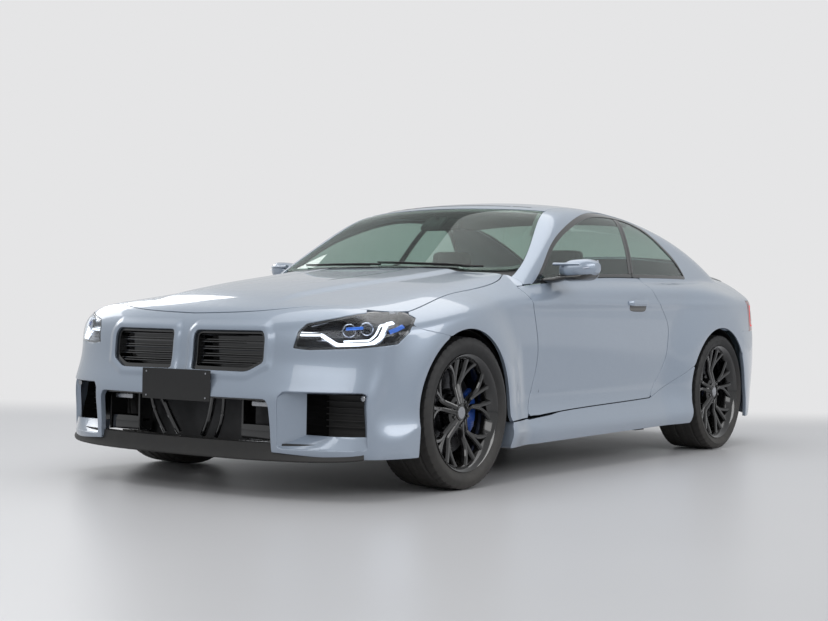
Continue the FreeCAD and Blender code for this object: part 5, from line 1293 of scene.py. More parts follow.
@dataclass
class Bodyshell:
    """The painted panels and the dark trims round them.

    Attributes:
        cell: The size of the grid's cells along the car.
        thick: The panels' thickness.
        door_inner: Where a door's inner face lies across the car.
    """

    cell: float = 0.014
    thick: float = 0.020
    door_inner: float = 0.775

    def counts(self, long: float, high: float, fine: float = 1.0) -> tuple[int, int]:
        """Returns how many cells a sheet of a length and a height needs."""
        return int(long / self.cell * fine), int(high / self.cell * fine)

    def build(self) -> None:
        """Builds every panel."""
        for step in (self.doors, self.fenders, self.quarters, self.skirts, self.pillars, self.top,
                     self.bonnet,
                     self.nose, self.tail, self.liners):
            step()

    def doors(self) -> None:
        """Builds both doors: a fanned sheet cut along the door's shut lines, flat inside."""
        def keep(p: Array) -> Array:
            """Returns the level inside which the door's skin is kept."""
            y, z = p[:, 1], p[:, 2]
            low = DOOR_BOTTOM(y) + OFF + 0.004 * ease((-0.72 - y) / 0.08) - z
            return every(DOOR_FRONT(z) + OFF - y, y - DOOR_REAR(z) + OFF, low, z - BELT(y) + 0.004)

        sheet = Panel(fanned(LENGTH * -0.1921, LENGTH * 0.1572, steady(math.radians(-21)),
                             steady(math.radians(26))),
                      whole, self.counts(1.6, 0.75), keep, self.thick, HEM, self.door_inner)
        trim = CabinTrim()
        for side, tag in ((Side.LEFT, "left"), (Side.RIGHT, "right")):
            panel("door_skin_" + tag, [sheet], side, "door_" + tag, PAINT, ("door_" + tag,))
            trim.door_card(side, tag)

    def fenders(self) -> None:
        """Builds both front fenders, cut round the wheel, the lamp, the door and the bonnet."""
        y0, y1 = LENGTH * -0.393, LENGTH * -0.1560
        post = LENGTH * -0.1681 - 0.001
        high = plan_angle(y0, post, BONNET_SIDE, -0.012)

        def ray(u: Array, v: Array) -> tuple[Array, Array]:
            """Returns the rays to the fender's skin, drawn back to the post above its middle."""
            rear = mix(y1, post, ease((v - 0.5) / 0.3))
            y = mix(y0 - 0.004, rear, u)
            t = mix(LOW_FAN, high(y), v)
            zero = np.zeros_like(y)
            return np.stack([zero, y, zero + MIDDLE], -1), np.stack([np.cos(t), zero, np.sin(t)], -1)

        def keep(p: Array) -> Array:
            """Returns the level inside which the fender's skin is kept."""
            x, y, z = p.T
            seam = np.where(y < FRONT_AXLE, NOSE_SEAM(y) + STAND_BACK - z, -1.0)
            front = np.minimum(y - DOOR_FRONT(z) + OFF, BELT(y) + 0.0005 - z)
            edge = np.where(z > 0.7, BONNET_SIDE(y) + OFF - x, -1.0)
            foot = np.minimum(y - post + HEM, z - BELT(y) + 0.006)
            return every(seam, front, edge, arches(p), SKIRT_TOP(y) + STAND_BACK - z, -lamp_level(p) + 0.0035,
                         foot)

        for side, tag in ((Side.LEFT, "left"), (Side.RIGHT, "right")):
            sheet = Panel(ray, whole, self.counts(1.05, 0.85), keep, 0.016)
            panel("fender_skin_" + tag, [sheet], side, "shell", PAINT, ("fender_" + tag,))

    def quarters(self) -> None:
        """Builds both rear quarters up to the roof, cut round the wheel, window, door and lamp."""
        y0, y1 = LENGTH * 0.083, LENGTH * 0.4541
        high = plan_angle(y0, y1, UPPER_EDGE, -0.010)

        def keep(p: Array) -> Array:
            """Returns the level inside which the quarter's skin is kept, its window cut out."""
            x, y, z = p.T
            edge = np.where(z > 0.85, UPPER_EDGE(y) + np.where(y > LENGTH * 0.352, OFF, ROOF_GAP + HEM) - x,
                            -1.0)
            door = np.where(z < HEIGHT * 0.706, DOOR_REAR(z) + OFF - y, LENGTH * 0.083 + HEM - y)
            window = np.minimum(WINDOW_TOP(y) + 0.001 - z, z - BELT(y) + 0.001)
            window = np.where(y < LENGTH * 0.2475, window, -1.0)
            bumper = np.minimum(y - TAIL_SEAM_Y + TAIL_GAP, TAIL_SEAM_Z + TAIL_GAP - z)
            turn = np.degrees(np.arctan2(x, y - REAR_AXLE))
            lamp = every(turn - 62.2, TAIL_SEAM_Z - STAND_BACK - z, z - LAMP_TOP - STAND_BACK,
                         REAR_AXLE + 0.3 - y)
            return every(edge, door, window, bumper, arches(p), SKIRT_TOP(y) + STAND_BACK - z, -lamp)

        for side, tag in ((Side.LEFT, "left"), (Side.RIGHT, "right")):
            sheet = Panel(fanned(y0, y1, steady(LOW_FAN), high), whole, self.counts(1.70, 1.30), keep, 0.009)
            panel("quarter_skin_" + tag, [sheet], side, "shell", PAINT, ("quarter_" + tag,))

    def skirts(self) -> None:
        """Builds both side skirts below the doors, open to the wheels at their ends."""
        def keep(p: Array) -> Array:
            """Returns the level inside which the skirt is kept, under the door's lower edge."""
            y, z = p[:, 1], p[:, 2]
            drop = 0.006 * ease((-0.50 - y) / 0.15) * ease((y + 0.86) / 0.03)
            door = np.minimum(DOOR_REAR(z) + OFF - y, z - DOOR_BOTTOM(y) + OFF + drop)
            top = np.where((y > DOOR_FRONT(z)) & (y < LENGTH * 0.107), HEIGHT, SKIRT_TOP(y))
            return every(z - top + STAND_BACK, arches(p), door, SKIRT_BOTTOM(y) - z)

        sheet = Panel(fanned(LENGTH * -0.2402, LENGTH * 0.2402, steady(math.radians(-29)),
                             steady(math.radians(0))),
                      whole, self.counts(2.2, 0.50), keep, self.thick, HEM, 0.800)
        panel("side_skirt_panels", [sheet], None, "shell", PAINT, ("side_skirts",))

    def pillars(self) -> None:
        """Builds the windscreen posts with the roof rails."""
        y0, y1 = LENGTH * -0.1681, LENGTH * 0.083
        high = plan_angle(y0, y1, UPPER_EDGE, -0.006)

        def low(y: Array) -> Array:
            """Returns the angle of the post's lower edge along the car."""
            return np.interp(y, (y0, -0.66, -0.44, -0.1, y1), np.radians((17.0, 20.0, 28.0, 42.0, 44.0)))

        def keep(p: Array) -> Array:
            """Returns the level inside which the windscreen post is kept."""
            x, y, z = p.T
            over = np.minimum(WINDOW_TOP(y) + 0.001 - z, 1.0)
            foot = np.where(y < LENGTH * -0.155, BELT(y) + 0.006 - z, -1.0)
            return every(over, foot, UPPER_EDGE(y) + ROOF_GAP + HEM - x, y - y1 + HEM)

        for side, tag in ((Side.LEFT, "left"), (Side.RIGHT, "right")):
            sheet = Panel(fanned(y0, y1, low, high), whole, self.counts(1.15, 0.30, 1.4), keep, 0.014)
            panel("pillar_skin_" + tag, [sheet], side, "shell", PAINT, ("pillar_" + tag,))

    def top(self) -> None:
        """Builds the roof, with its fine line at the front."""
        def keep(p: Array) -> Array:
            """Returns the level inside which the roof's skin is kept."""
            x, y = np.abs(p[:, 0]), p[:, 1]
            return every(SCREEN_TOP(x) + 0.002 + HEM - y, y - BACK_TOP(x) + 0.002 + HEM,
                         x - UPPER_EDGE(y) + ROOF_GAP + HEM)

        sheet = Panel(downward(SCREEN_TOP, BACK_TOP, UPPER_EDGE, 0.012), whole, (80, 92), keep, 0.020)
        panel("roof_skin", [sheet], Side.LEFT, "shell", PAINT, ("roof_panel",))

        def line(p: Array) -> Array:
            """Returns the level of the narrow line across the roof behind the windscreen."""
            x, y = np.abs(p[:, 0]), p[:, 1]
            front = SCREEN_TOP(x) + 0.075
            return every(np.abs(y - front) - 0.0035, x - 0.47)

        lifted = Panel(downward(SCREEN_TOP, BACK_TOP, UPPER_EDGE, 0.0), lambda p: whole(p) - 0.0012,
                       (80, 230), line, 0.003, 0.0006)
        panel("roof_edge_strip", [lifted], Side.LEFT, "shell", BLACK_GLOSS)

    def bonnet(self) -> None:
        """Builds the bonnet, cut along its shut lines seen from above."""
        def keep(p: Array) -> Array:
            """Returns the level inside which the bonnet's skin is kept."""
            x, y = np.abs(p[:, 0]), p[:, 1]
            return every(BONNET_FRONT(x) + OFF - y, y - BONNET_REAR(x) + OFF, x - BONNET_SIDE(y) + OFF)

        sheet = Panel(downward(BONNET_FRONT, BONNET_REAR, BONNET_SIDE, 0.012), whole,
                      self.counts(1.72, 1.40), keep, 0.016)
        panel("bonnet_skin", [sheet], Side.LEFT, "bonnet", PAINT, ("bonnet",))

    def nose(self) -> None:
        """Builds the front bumper with its openings, and a raised rim round the upper grilles."""
        top = lambda t: NOSE_TOP(t) + 0.022
        ray = around(FRONT_AXLE, -1, NOSE_BOTTOM, top, -80, 80)

        def keep(p: Array) -> Array:
            """Returns the level inside which the front bumper is kept, its openings cut out."""
            x, y, z = np.abs(p[:, 0]), p[:, 1], p[:, 2]
            left = np.stack([x, y, z], -1)
            seam = np.where(x > 0.80, z - NOSE_SEAM(y) + STAND_BACK, -1.0)
            edge = np.where(z > 0.60, y - BONNET_FRONT(x) + OFF, -1.0)
            edge = np.where(x > HALF * 0.8786, -1.0, edge)
            return every(-KIDNEY(x, z), -INTAKE(x, z), -SIDE_INTAKE(x, z), -lamp_level(left) + 0.003,
                         arches(p), seam, edge)

        def raised(p: Array) -> Array:
            """Returns the body's level with a raised rim round the upper grilles."""
            away = KIDNEY(np.abs(p[:, 0]), p[:, 2])
            front = ease((-1.9 - p[:, 1]) / 0.1)
            return body(p) - 0.009 * ease(1 - np.abs(away - 0.012) / 0.030) * front

        sheet = Panel(ray, raised, (230, 70), keep, 0.024, 0.004)
        panel("front_bumper_skin", [sheet], Side.LEFT, "shell", PAINT, ("front_bumper",))

    def tail(self) -> None:
        """Builds the rear bumper, the diffuser, the boot lid and its dark lip."""
        ray = around(REAR_AXLE, 1, TAIL_BOTTOM, lambda t: TAIL_TOP(t) + 0.01, -80, 80)
        low = convex([(-0.54, 0.095), (-0.515, 0.213), (-0.377, 0.337), (0.377, 0.337), (0.515, 0.213),
                      (0.54, 0.095)], 0.016)

        def holes(p: Array) -> Array:
            """Returns the level of the round holes for the exhaust's ends."""
            x = np.abs(p[:, 0])
            one = np.hypot(x - 0.190, p[:, 2] - 0.283)
            two = np.hypot(x - 0.312, p[:, 2] - 0.283)
            return np.minimum(one, two) - 0.053

        def keep(p: Array) -> Array:
            """Returns the level inside which the rear bumper is kept."""
            seam = every(TAIL_SEAM_Y + TAIL_GAP - p[:, 1], p[:, 2] - TAIL_SEAM_Z + STAND_BACK)
            return every(seam, arches(p), -low(p[:, 0], p[:, 2]) + 0.0012, -holes(p))

        def under(p: Array) -> Array:
            """Returns the level inside which the diffuser's skin is kept."""
            return every(low(p[:, 0], p[:, 2]) + 0.0012, -holes(p))

        sheet = Panel(ray, body, (190, 44), keep, 0.020, 0.003)
        panel("rear_bumper_skin", [sheet], Side.LEFT, "shell", PAINT, ("rear_bumper",))
        sheet = Panel(around(REAR_AXLE, 1, TAIL_BOTTOM, steady(0.36), -36, 36), body, (130, 26), under,
                      0.018, 0.003)
        panel("diffuser_skin", [sheet], Side.LEFT, "shell", BLACK_GLOSS, ("diffuser",))
        fins = []
        for x in (-0.075, 0.075, -0.40, 0.40):
            fins.append(block((x - 0.006, 2.16, 0.192), (x + 0.006, 2.252, 0.268), 0.004))
        p, f = join_parts(fins)
        make("diffuser_fins", p, f, "shell", BLACK_GLOSS)
        panel("boot_lid_skin", [Panel(self.lid_ray(), whole, (110, 84), None, 0.018)], Side.LEFT,
              "boot_lid", PAINT, ("boot_lid",))
        x = np.linspace(-1, 1, 61)[:, None] * 0.60
        v = np.linspace(0, 1, 9)[None, :]
        base_y = 2.087 - 0.045 * (x / 0.6) ** 2 + v * 0.058
        start = np.stack(np.broadcast_arrays(x, np.minimum(base_y, 2.12), TOP_START), -1).reshape(-1, 3)
        ground = hit(whole, start, np.tile([0.0, 0.0, 1.0], (len(start), 1)))[:, 2].reshape(61, 9)
        rise = 0.003 + 0.017 * v**1.5 * (1 - (x / 0.605) ** 6)
        upper = np.stack(np.broadcast_arrays(x, base_y, ground + rise), -1)
        lower = np.stack(np.broadcast_arrays(x, base_y, ground + rise - 0.005 - 0.004 * (1 - v)), -1)
        ring = np.concatenate([upper, lower[:, ::-1]], 1)
        p, f = grid(ring, closed_v=True)
        n = ring.shape[1]
        cap0 = np.stack([np.arange(8), np.arange(1, 9), n - 2 - np.arange(8), n - 1 - np.arange(8)], -1)
        cap1 = cap0[:, ::-1] + 60 * n
        make("boot_lip_spoiler", p, np.concatenate([f, cap0, cap1]), "boot_lid", BLACK_GLOSS)

    def lid_ray(self) -> PointsOf:
        """Returns rays fanned in planes along the car, from the rear window to the plate."""
        cy, cz = LENGTH * 0.3843, HEIGHT * 0.5417
        y0, low, rear = LENGTH * 0.3541, HEIGHT * 0.5053, LENGTH * 0.4541
        a0 = math.atan2(float(DECK(y0)) - cz, y0 - cy)
        a1 = math.atan2(low - cz, float(TAIL(low)) - cy)

        def ray(u: Array, v: Array) -> tuple[Array, Array]:
            """Returns the rays to the boot lid's skin, fitted to the body's upper edge."""
            t = mix(a0, a1, v)
            zero = np.zeros_like(t)
            way = np.stack([zero, np.cos(t), np.sin(t)], -1)
            side = zero + HALF * 0.6105
            for _ in range(3):
                p = hit(whole, np.stack([side, zero + cy, zero + cz], -1), way)
                side = UPPER_EDGE(np.minimum(p[:, 1], rear)) - OFF
            return np.stack([mix(-side, side, u), zero + cy, zero + cz], -1), way

        return ray

    def liners(self) -> None:
        """Builds the dark tunnels over the wheels, with a short lip turned in at their inner ends."""
        for name, axle, hub, radius, inner, outer in (
            ("front_arch_liners", FRONT_AXLE, FRONT_HUB, 0.366, 0.500, 0.885),
            ("rear_arch_liners", REAR_AXLE, REAR_HUB, 0.376, 0.655, 0.905),
        ):
            start = 12 if axle < 0 else 8
            t = np.radians(np.linspace(start, 180 - start, 49))[:, None]
            x = np.array([inner + 0.012, inner, inner, inner + 0.03, 0.72, outer])[None, :]
            r = np.array([0.02, 0.03, radius - 0.030, radius, radius, radius])[None, :]
            wide = 1.12 if axle < 0 else 1.0
            points = np.stack(np.broadcast_arrays(x, axle + r * wide * np.cos(t), hub + r * np.sin(t)), -1)
            p, f = grid(points[:, 2:])
            thick = points[:,
                           2:] + np.stack(np.broadcast_arrays(-0.0, np.cos(t) * 0.003, np.sin(t) * 0.003), -1)
            q, g = grid(thick)
            rows, cols = points.shape[0], points.shape[1] - 2
            rim = self.rim(rows, cols, len(p))
            piece = (np.concatenate([p, q]), np.concatenate([f[:, ::-1], g + len(p), rim]))
            p, f = both(piece)
            make(name, p, f, "shell", PLASTIC)

    @staticmethod
    def rim(rows: int, cols: int, shift: int) -> Array:
        """Returns the faces that join the edges of two grids of the same counts."""
        i = np.arange(rows)
        j = np.arange(cols)
        loop = np.concatenate([i * cols, (rows - 1) * cols + j[1:], (i[::-1] * cols + cols - 1)[1:],
                               j[::-1][1:-1]])
        after = np.roll(loop, -1)
        return np.stack([after, loop, loop + shift, after + shift], -1)




@dataclass
class Glazing:
    """The panes, their dark borders and the dark trims at the windows' edges.

    Attributes:
        thick: The glass's thickness.
        border: How wide a pane's dark border is.
    """

    thick: float = 0.0042
    border: float = 0.022

    def side_panes(self) -> None:
        """Builds the side windows with a dark surround that follows their outline."""
        y0, y1 = LENGTH * -0.1560, LENGTH * 0.2485

        def low(y: Array) -> Array:
            """Returns the angle of the panes' lower edge."""
            return np.full_like(y, math.radians(15.5))

        def high(y: Array) -> Array:
            """Returns the angle of the panes' upper edge along the car."""
            return np.interp(y, (y0, -0.44, -0.16, 0.17, 0.40, 0.60, 0.80, 0.99, 1.09, y1),
                             np.radians((22, 34.5, 44.5, 50, 51, 50, 47, 41, 34, 31)))

        def opening(p: Array) -> Array:
            """Returns the level of the window opening, negative inside it."""
            y, z = p[:, 1], p[:, 2]
            return every(BELT(y) + 0.002 - z, (z - WINDOW_TOP(y)) * 0.75)

        wide = 0.018
        ray = fanned(y0, y1, low, high)
        counts = (250, 56)
        sunk = lambda p: whole(p) + 0.0045
        proud = lambda p: whole(p) + 0.0005

        def front_pane(p: Array) -> Array:
            """Returns the level of the door's pane."""
            return every(opening(p) + 0.004, split_line(p) + 0.004)

        def rear_pane(p: Array) -> Array:
            """Returns the level of the rear side pane."""
            return every(opening(p) + 0.004, -split_line(p) + 0.004)

        def upper_trim(p: Array) -> Array:
            """Returns the level of the dark trim over the windows."""
            level = opening(p)
            return every(level + 0.001, -(level + wide), BELT(p[:, 1]) + 0.021 - p[:, 2])

        def belt_front(p: Array) -> Array:
            """Returns the level of the door's trim along the belt."""
            y, z = p[:, 1], p[:, 2]
            return every(z - BELT(y) - 0.018, BELT(y) - z, split_line(p) + 0.003, opening(p))

        def belt_rear(p: Array) -> Array:
            """Returns the level of the rear pane's trim along the belt."""
            y, z = p[:, 1], p[:, 2]
            return every(z - BELT(y) - 0.018, BELT(y) - z, -split_line(p) + 0.003, opening(p))

        def post_front(p: Array) -> Array:
            """Returns the level of the door's side of the middle post."""
            return every(opening(p) + 0.018, split_line(p) + 0.0025, -split_line(p) - 0.034)

        def post_rear(p: Array) -> Array:
            """Returns the level of the rear pane's side of the middle post."""
            return every(opening(p) + 0.018, -split_line(p) + 0.0025, split_line(p) - 0.022)

        for side, tag in ((Side.LEFT, "left"), (Side.RIGHT, "right")):
            panel("door_window_" + tag, [Panel(ray, sunk, counts, front_pane, self.thick, 0.0006)], side,
                  "door_" + tag, GLASS, ("door_glass_" + tag,))
            panel("door_window_trim_" + tag, [
                Panel(ray, proud, counts, belt_front, 0.006, 0.0012),
                Panel(ray, lambda p: whole(p) + 0.0030, counts, post_front, 0.0012, 0.0004),
            ], side, "door_" + tag, BLACK_GLOSS)
        panel("rear_side_windows", [Panel(ray, sunk, counts, rear_pane, self.thick, 0.0006)], None, "shell",
              GLASS, ("quarter_glass",))
        panel("window_surrounds", [
            Panel(ray, proud, counts, upper_trim, 0.008, 0.0012),
            Panel(ray, proud, counts, belt_rear, 0.008, 0.0012),
            Panel(ray, lambda p: whole(p) + 0.0030, counts, post_rear, 0.0012, 0.0004),
        ], None, "shell", BLACK_GLOSS)

    def screens(self) -> None:
        """Builds the windscreen and rear window with their dark borders under the glass."""
        for name, front, rear, hides in (
            ("windscreen_glass", SCREEN_BOTTOM, SCREEN_TOP, ("windscreen",)),
            ("rear_window_glass", BACK_TOP, BACK_BOTTOM, ("rear_window",)),
        ):
            def level(p: Array, front: Curve = front, rear: Curve = rear) -> Array:
                """Returns the level of a windscreen or rear window, negative inside it."""
                x, y = np.abs(p[:, 0]), p[:, 1]
                return every((front(x) - y) * 0.6, (y - rear(x)) * 0.6, x - UPPER_EDGE(y))

            ray = downward(front, rear, UPPER_EDGE, 0.010)
            counts = (96, 60)
            glass = Panel(ray, lambda p: whole(p) + 0.0015, counts, lambda p: level(p) + STAND_BACK,
                          self.thick,
                          0.0006)
            panel(name, [glass], Side.LEFT, "shell", SCREEN, hides)
            edge = Panel(ray, lambda p: whole(p) + 0.0064, counts,
                         lambda p: every(level(p) + STAND_BACK, -(level(p) + self.border)), 0.0010, 0.0003)
            panel(name + "_border", [edge], Side.LEFT, "shell", BLACK_GLOSS)

    def build(self) -> None:
        """Builds all the glass."""
        self.side_panes()
        self.screens()


# Wheels


@dataclass
class Wheel:
    """One road wheel: a tyre with tread, a rim with forked double spokes, a disc and a caliper.

    Attributes:
        place: The wheel's middle.
        radius: The tyre's radius.
        wide: The tyre's width.
        rim: The rim's outer radius.
        tag: The part of the names that says which wheel it is.
        out: The side that its face looks to.
    """

    place: tuple[float, float, float]
    radius: float
    wide: float
    rim: float
    tag: str
    out: Side
    pairs: int = 5

    def set_out(self, part: tuple[Array, Array]) -> tuple[Array, Array]:
        """Puts a part, worked out about zero with its face towards +X, into its place."""
        p, f = part
        if self.out is Side.RIGHT:
            p, f = flip((p, f))
        return p + self.place, f

    def tyre(self) -> tuple[Array, Array]:
        """Returns the tyre: a closed section turned about the axle, whose tread sinks into four
        grooves all round and into slanted cuts at the shoulders."""
        r, w, rim = self.radius, self.wide / 2, self.rim
        lead = [(-w * 0.80, rim - 0.012), (-w * 0.86, rim + 0.004), (-w * 0.97, rim + 0.020),
                (-w, (r + rim) / 2 + 0.004),
                (-w * 0.985, r - 0.030), (-w * 0.945, r - 0.014), (-w * 0.90, r - 0.0055)]
        x = np.linspace(-w * 0.86, w * 0.86, 45)
        crown = np.stack([x, r - 0.0045 * (np.abs(x) / (w * 0.86)) ** 2.5], -1)
        back = [(-a, b) for a, b in lead[::-1]]
        inner = [(w * 0.74, rim - 0.018), (-w * 0.74, rim - 0.018)]
        profile = np.array([*lead, *crown.tolist(), *back, *inner])
        steps = 288
        points, _ = turned_shape(profile, np.zeros(3), steps)
        grid_points = points.reshape(steps, len(profile), 3)
        px = profile[:, 0][None, :]
        turn = np.arange(steps)[:, None]
        groove = np.zeros((steps, len(profile)))
        for g in (-0.55, -0.19, 0.19, 0.55):
            groove = np.maximum(groove, 1 - np.clip((np.abs(px - g * w) - 0.0035) / 0.0025, 0, 1))
        edge = np.clip((np.abs(px) - w * 0.62) / 0.004, 0, 1) * np.clip((w * 0.955 - np.abs(px)) / 0.004, 0,
            1)
        cut = ((turn + np.round(np.abs(px) * 90)) % 6 < 1) * edge * 0.6
        middle = ((turn + np.round(px * 60)) % 8 < 1) * (np.abs(px) < w * 0.5) * 0.25
        on = (np.arange(len(profile)) >= 5) & (np.arange(len(profile)) < 7 + 45 + 2)
        sink = np.maximum(np.maximum(groove, cut), middle) * on * 0.0065
        radial = grid_points[..., 1:]
        length = np.linalg.norm(radial, axis=-1, keepdims=True)
        grid_points[..., 1:] = radial * (1 - sink[..., None] / length)
        ring = (np.abs(px) > w * 0.90) & (profile[:, 1] < r - 0.02) & (profile[:, 1] > rim + 0.003)
        side_rib = ring * 0.0006 * np.sin(profile[:, 1] * 2600)[None, :]
        grid_points[..., 0] += side_rib * np.sign(px)
        return grid(grid_points, closed_u=True, closed_v=True)

    def barrel(self) -> tuple[Array, Array]:
        """Returns the rim's barrel: a lip, a well and a hollow cone, turned about the axle."""
        r, w = self.rim, self.wide / 2 - 0.012
        outer = [(w - 0.004, r - 0.004), (w, r + 0.004), (w - 0.006, r + 0.007), (w - 0.014, r - 0.004),
                 (w - 0.05, r - 0.018),
                 (0.0, r - 0.030), (-w + 0.03, r - 0.018), (-w + 0.008, r + 0.004), (-w, r + 0.003)]
        inner = [(-w, r - 0.010), (-w + 0.03, r - 0.028), (0.0, r - 0.040), (w - 0.055, r - 0.030),
                 (w - 0.018, r - 0.016)]
        return turned_shape(np.array(outer + inner), np.zeros(3), 96)

    def spokes(self) -> tuple[Array, Array]:
        """Returns the spokes: each arm is a rounded bar carried along a line over (radius, turn),
        one from the hub to the rim and a branch that leaves it half way out."""
        parts = []
        w, r = self.wide / 2 - 0.012, self.rim - 0.014
        section = np.array([(1, 0.25), (0.62, 1), (0, 1.16), (-0.62, 1), (-1, 0.25), (-0.8, -1.5),
                            (0, -1.8), (0.8, -1.5)])
        for pair in range(self.pairs):
            for hand in (-1, 1):
                lines = (
                    ([0.040, 0.10, 0.165, r], [15.0, 9.0, 9.5, 9.0], (0.0150, 0.0125, 0.0112, 0.0125), 0.010),
                    ([0.128, 0.175, 0.215, r], [9.4, 14.5, 21.5, 26.5], (0.0090, 0.0100, 0.0105, 0.0125),
                     0.009),
                )
                for radii, turns, widths, deep in lines:
                    t = np.linspace(0, 1, 15)
                    knots = np.linspace(0, 1, 4)
                    rr = np.interp(t, knots, radii)
                    ang = np.radians(90 + pair * 360 / self.pairs + hand * Curve(list(zip(knots, turns)), 1,
                        1)(t))
                    face = w - 0.022 - 0.030 * np.clip((rr - 0.03) / 0.10, 0,
                                                       1) * (1 - np.clip((rr - 0.12) / (r - 0.12), 0,
                                                           1)) - 0.012
                    path = np.stack([face, rr * np.cos(ang), rr * np.sin(ang)], -1)
                    way = unit(np.gradient(path, axis=0))
                    over = unit(np.array([1.0, 0, 0]) - way * way[:, :1])
                    side = np.cross(over, way)
                    grow = np.stack([np.interp(t, knots, widths), np.full(15, deep)], -1)
                    p, f = swept(path, section[::-1], side, over, grow)
                    parts.append((p, f[:, ::-1]))
        hub = [(w - 0.052, 0.0), (w - 0.030, 0.0), (w - 0.028, 0.028), (w - 0.030, 0.034),
               (w - 0.034, 0.036), (w - 0.036, 0.066),
               (w - 0.046, 0.076), (w - 0.075, 0.080), (w - 0.080, 0.0)]
        parts.append(turned_shape(np.array(hub[1:]), np.zeros(3), 60, closed=False))
        for k in range(5):
            a = math.radians(k * 72 + 54)
            c = np.array([0.0, 0.056 * math.cos(a), 0.056 * math.sin(a)])
            bolt = [(w - 0.0275, 0.0), (w - 0.0270, 0.0066), (w - 0.0285, 0.0076), (w - 0.0365, 0.0076),
                    (w - 0.0368, 0.0)]
            parts.append(turned_shape(np.array(bolt), c, 6, closed=False))
        return join_parts(parts)

    def disc(self) -> tuple[Array, Array]:
        """Returns the brake disc: a turned ring with a shallow wave of fine rings on its face."""
        x = self.wide / 2 - 0.115
        r = 0.186
        radii = np.linspace(0.105, r, 40)
        face = np.stack([x + 0.0004 * np.sin(radii * 2400), radii], -1)
        back = [(x - 0.012, r), (x - 0.020, r), (x - 0.030, 0.10), (x - 0.012, 0.05), (x + 0.016, 0.05),
                (x + 0.020, 0.062), (x + 0.018, 0.098)]
        return turned_shape(np.concatenate([face, back]), np.zeros(3), 96)

    def caliper(self) -> tuple[Array, Array]:
        """Returns the caliper: a rounded section carried along an arc outside the disc."""
        ahead = -1 if self.place[1] > 0 else 1
        t = np.radians(np.linspace(-32, 32, 21)) + (0 if ahead > 0 else math.pi)
        x = self.wide / 2 - 0.113
        path = np.stack([np.full(21, x - 0.006), 0.160 * np.cos(t), 0.160 * np.sin(t)], -1)
        out = np.stack([np.zeros(21), np.cos(t), np.sin(t)], -1)
        section = np.array([(0.027, -0.030), (0.027, 0.030), (0.020, 0.040), (-0.030, 0.040),
                            (-0.036, 0.030), (-0.036, -0.030)])
        end = 1 - 0.25 * np.abs(np.linspace(-1, 1, 21)) ** 6
        p, f = swept(path, section, np.array([1.0, 0, 0]), out, np.stack([end, end], -1))
        return p, f

    def build(self) -> None:
        """Builds the wheel's pieces on their bodies."""
        wheel_body = "road_wheel_" + self.tag
        hub_body = "shell" if self.tag.startswith("rear") else "knuckle_" + self.tag.split("_")[1]
        p, f = self.set_out(self.tyre())
        make("tyre_tread_" + self.tag, p, f, wheel_body, RUBBER, hides=("tyre_" + self.tag,), angle=38)
        p, f = self.set_out(join_parts([self.barrel(), self.spokes()]))
        make("rim_spokes_" + self.tag, p, f, wheel_body, BLACK_WHEEL, hides=("wheel_" + self.tag,), angle=32)
        w = self.wide / 2 - 0.012
        cap = np.array([(w - 0.0270, 0.0), (w - 0.0268, 0.018), (w - 0.0276, 0.0262), (w - 0.0292, 0.0270),
                        (w - 0.0294, 0.0)])
        p, f = self.set_out(turned_shape(cap, np.zeros(3), 48, closed=False))
        make("wheel_cap_" + self.tag, p, f, wheel_body, BRIGHT)
        p, f = self.set_out(self.disc())
        # The disc's finish holds painted shade from inside the wheel.
        make("brake_disc_" + self.tag, p, f, wheel_body, DISC_METAL_AND_PAINTED_SHADE)
        p, f = self.set_out(self.caliper())
        make("brake_caliper_" + self.tag, p, f, hub_body, CALIPER)


# Front


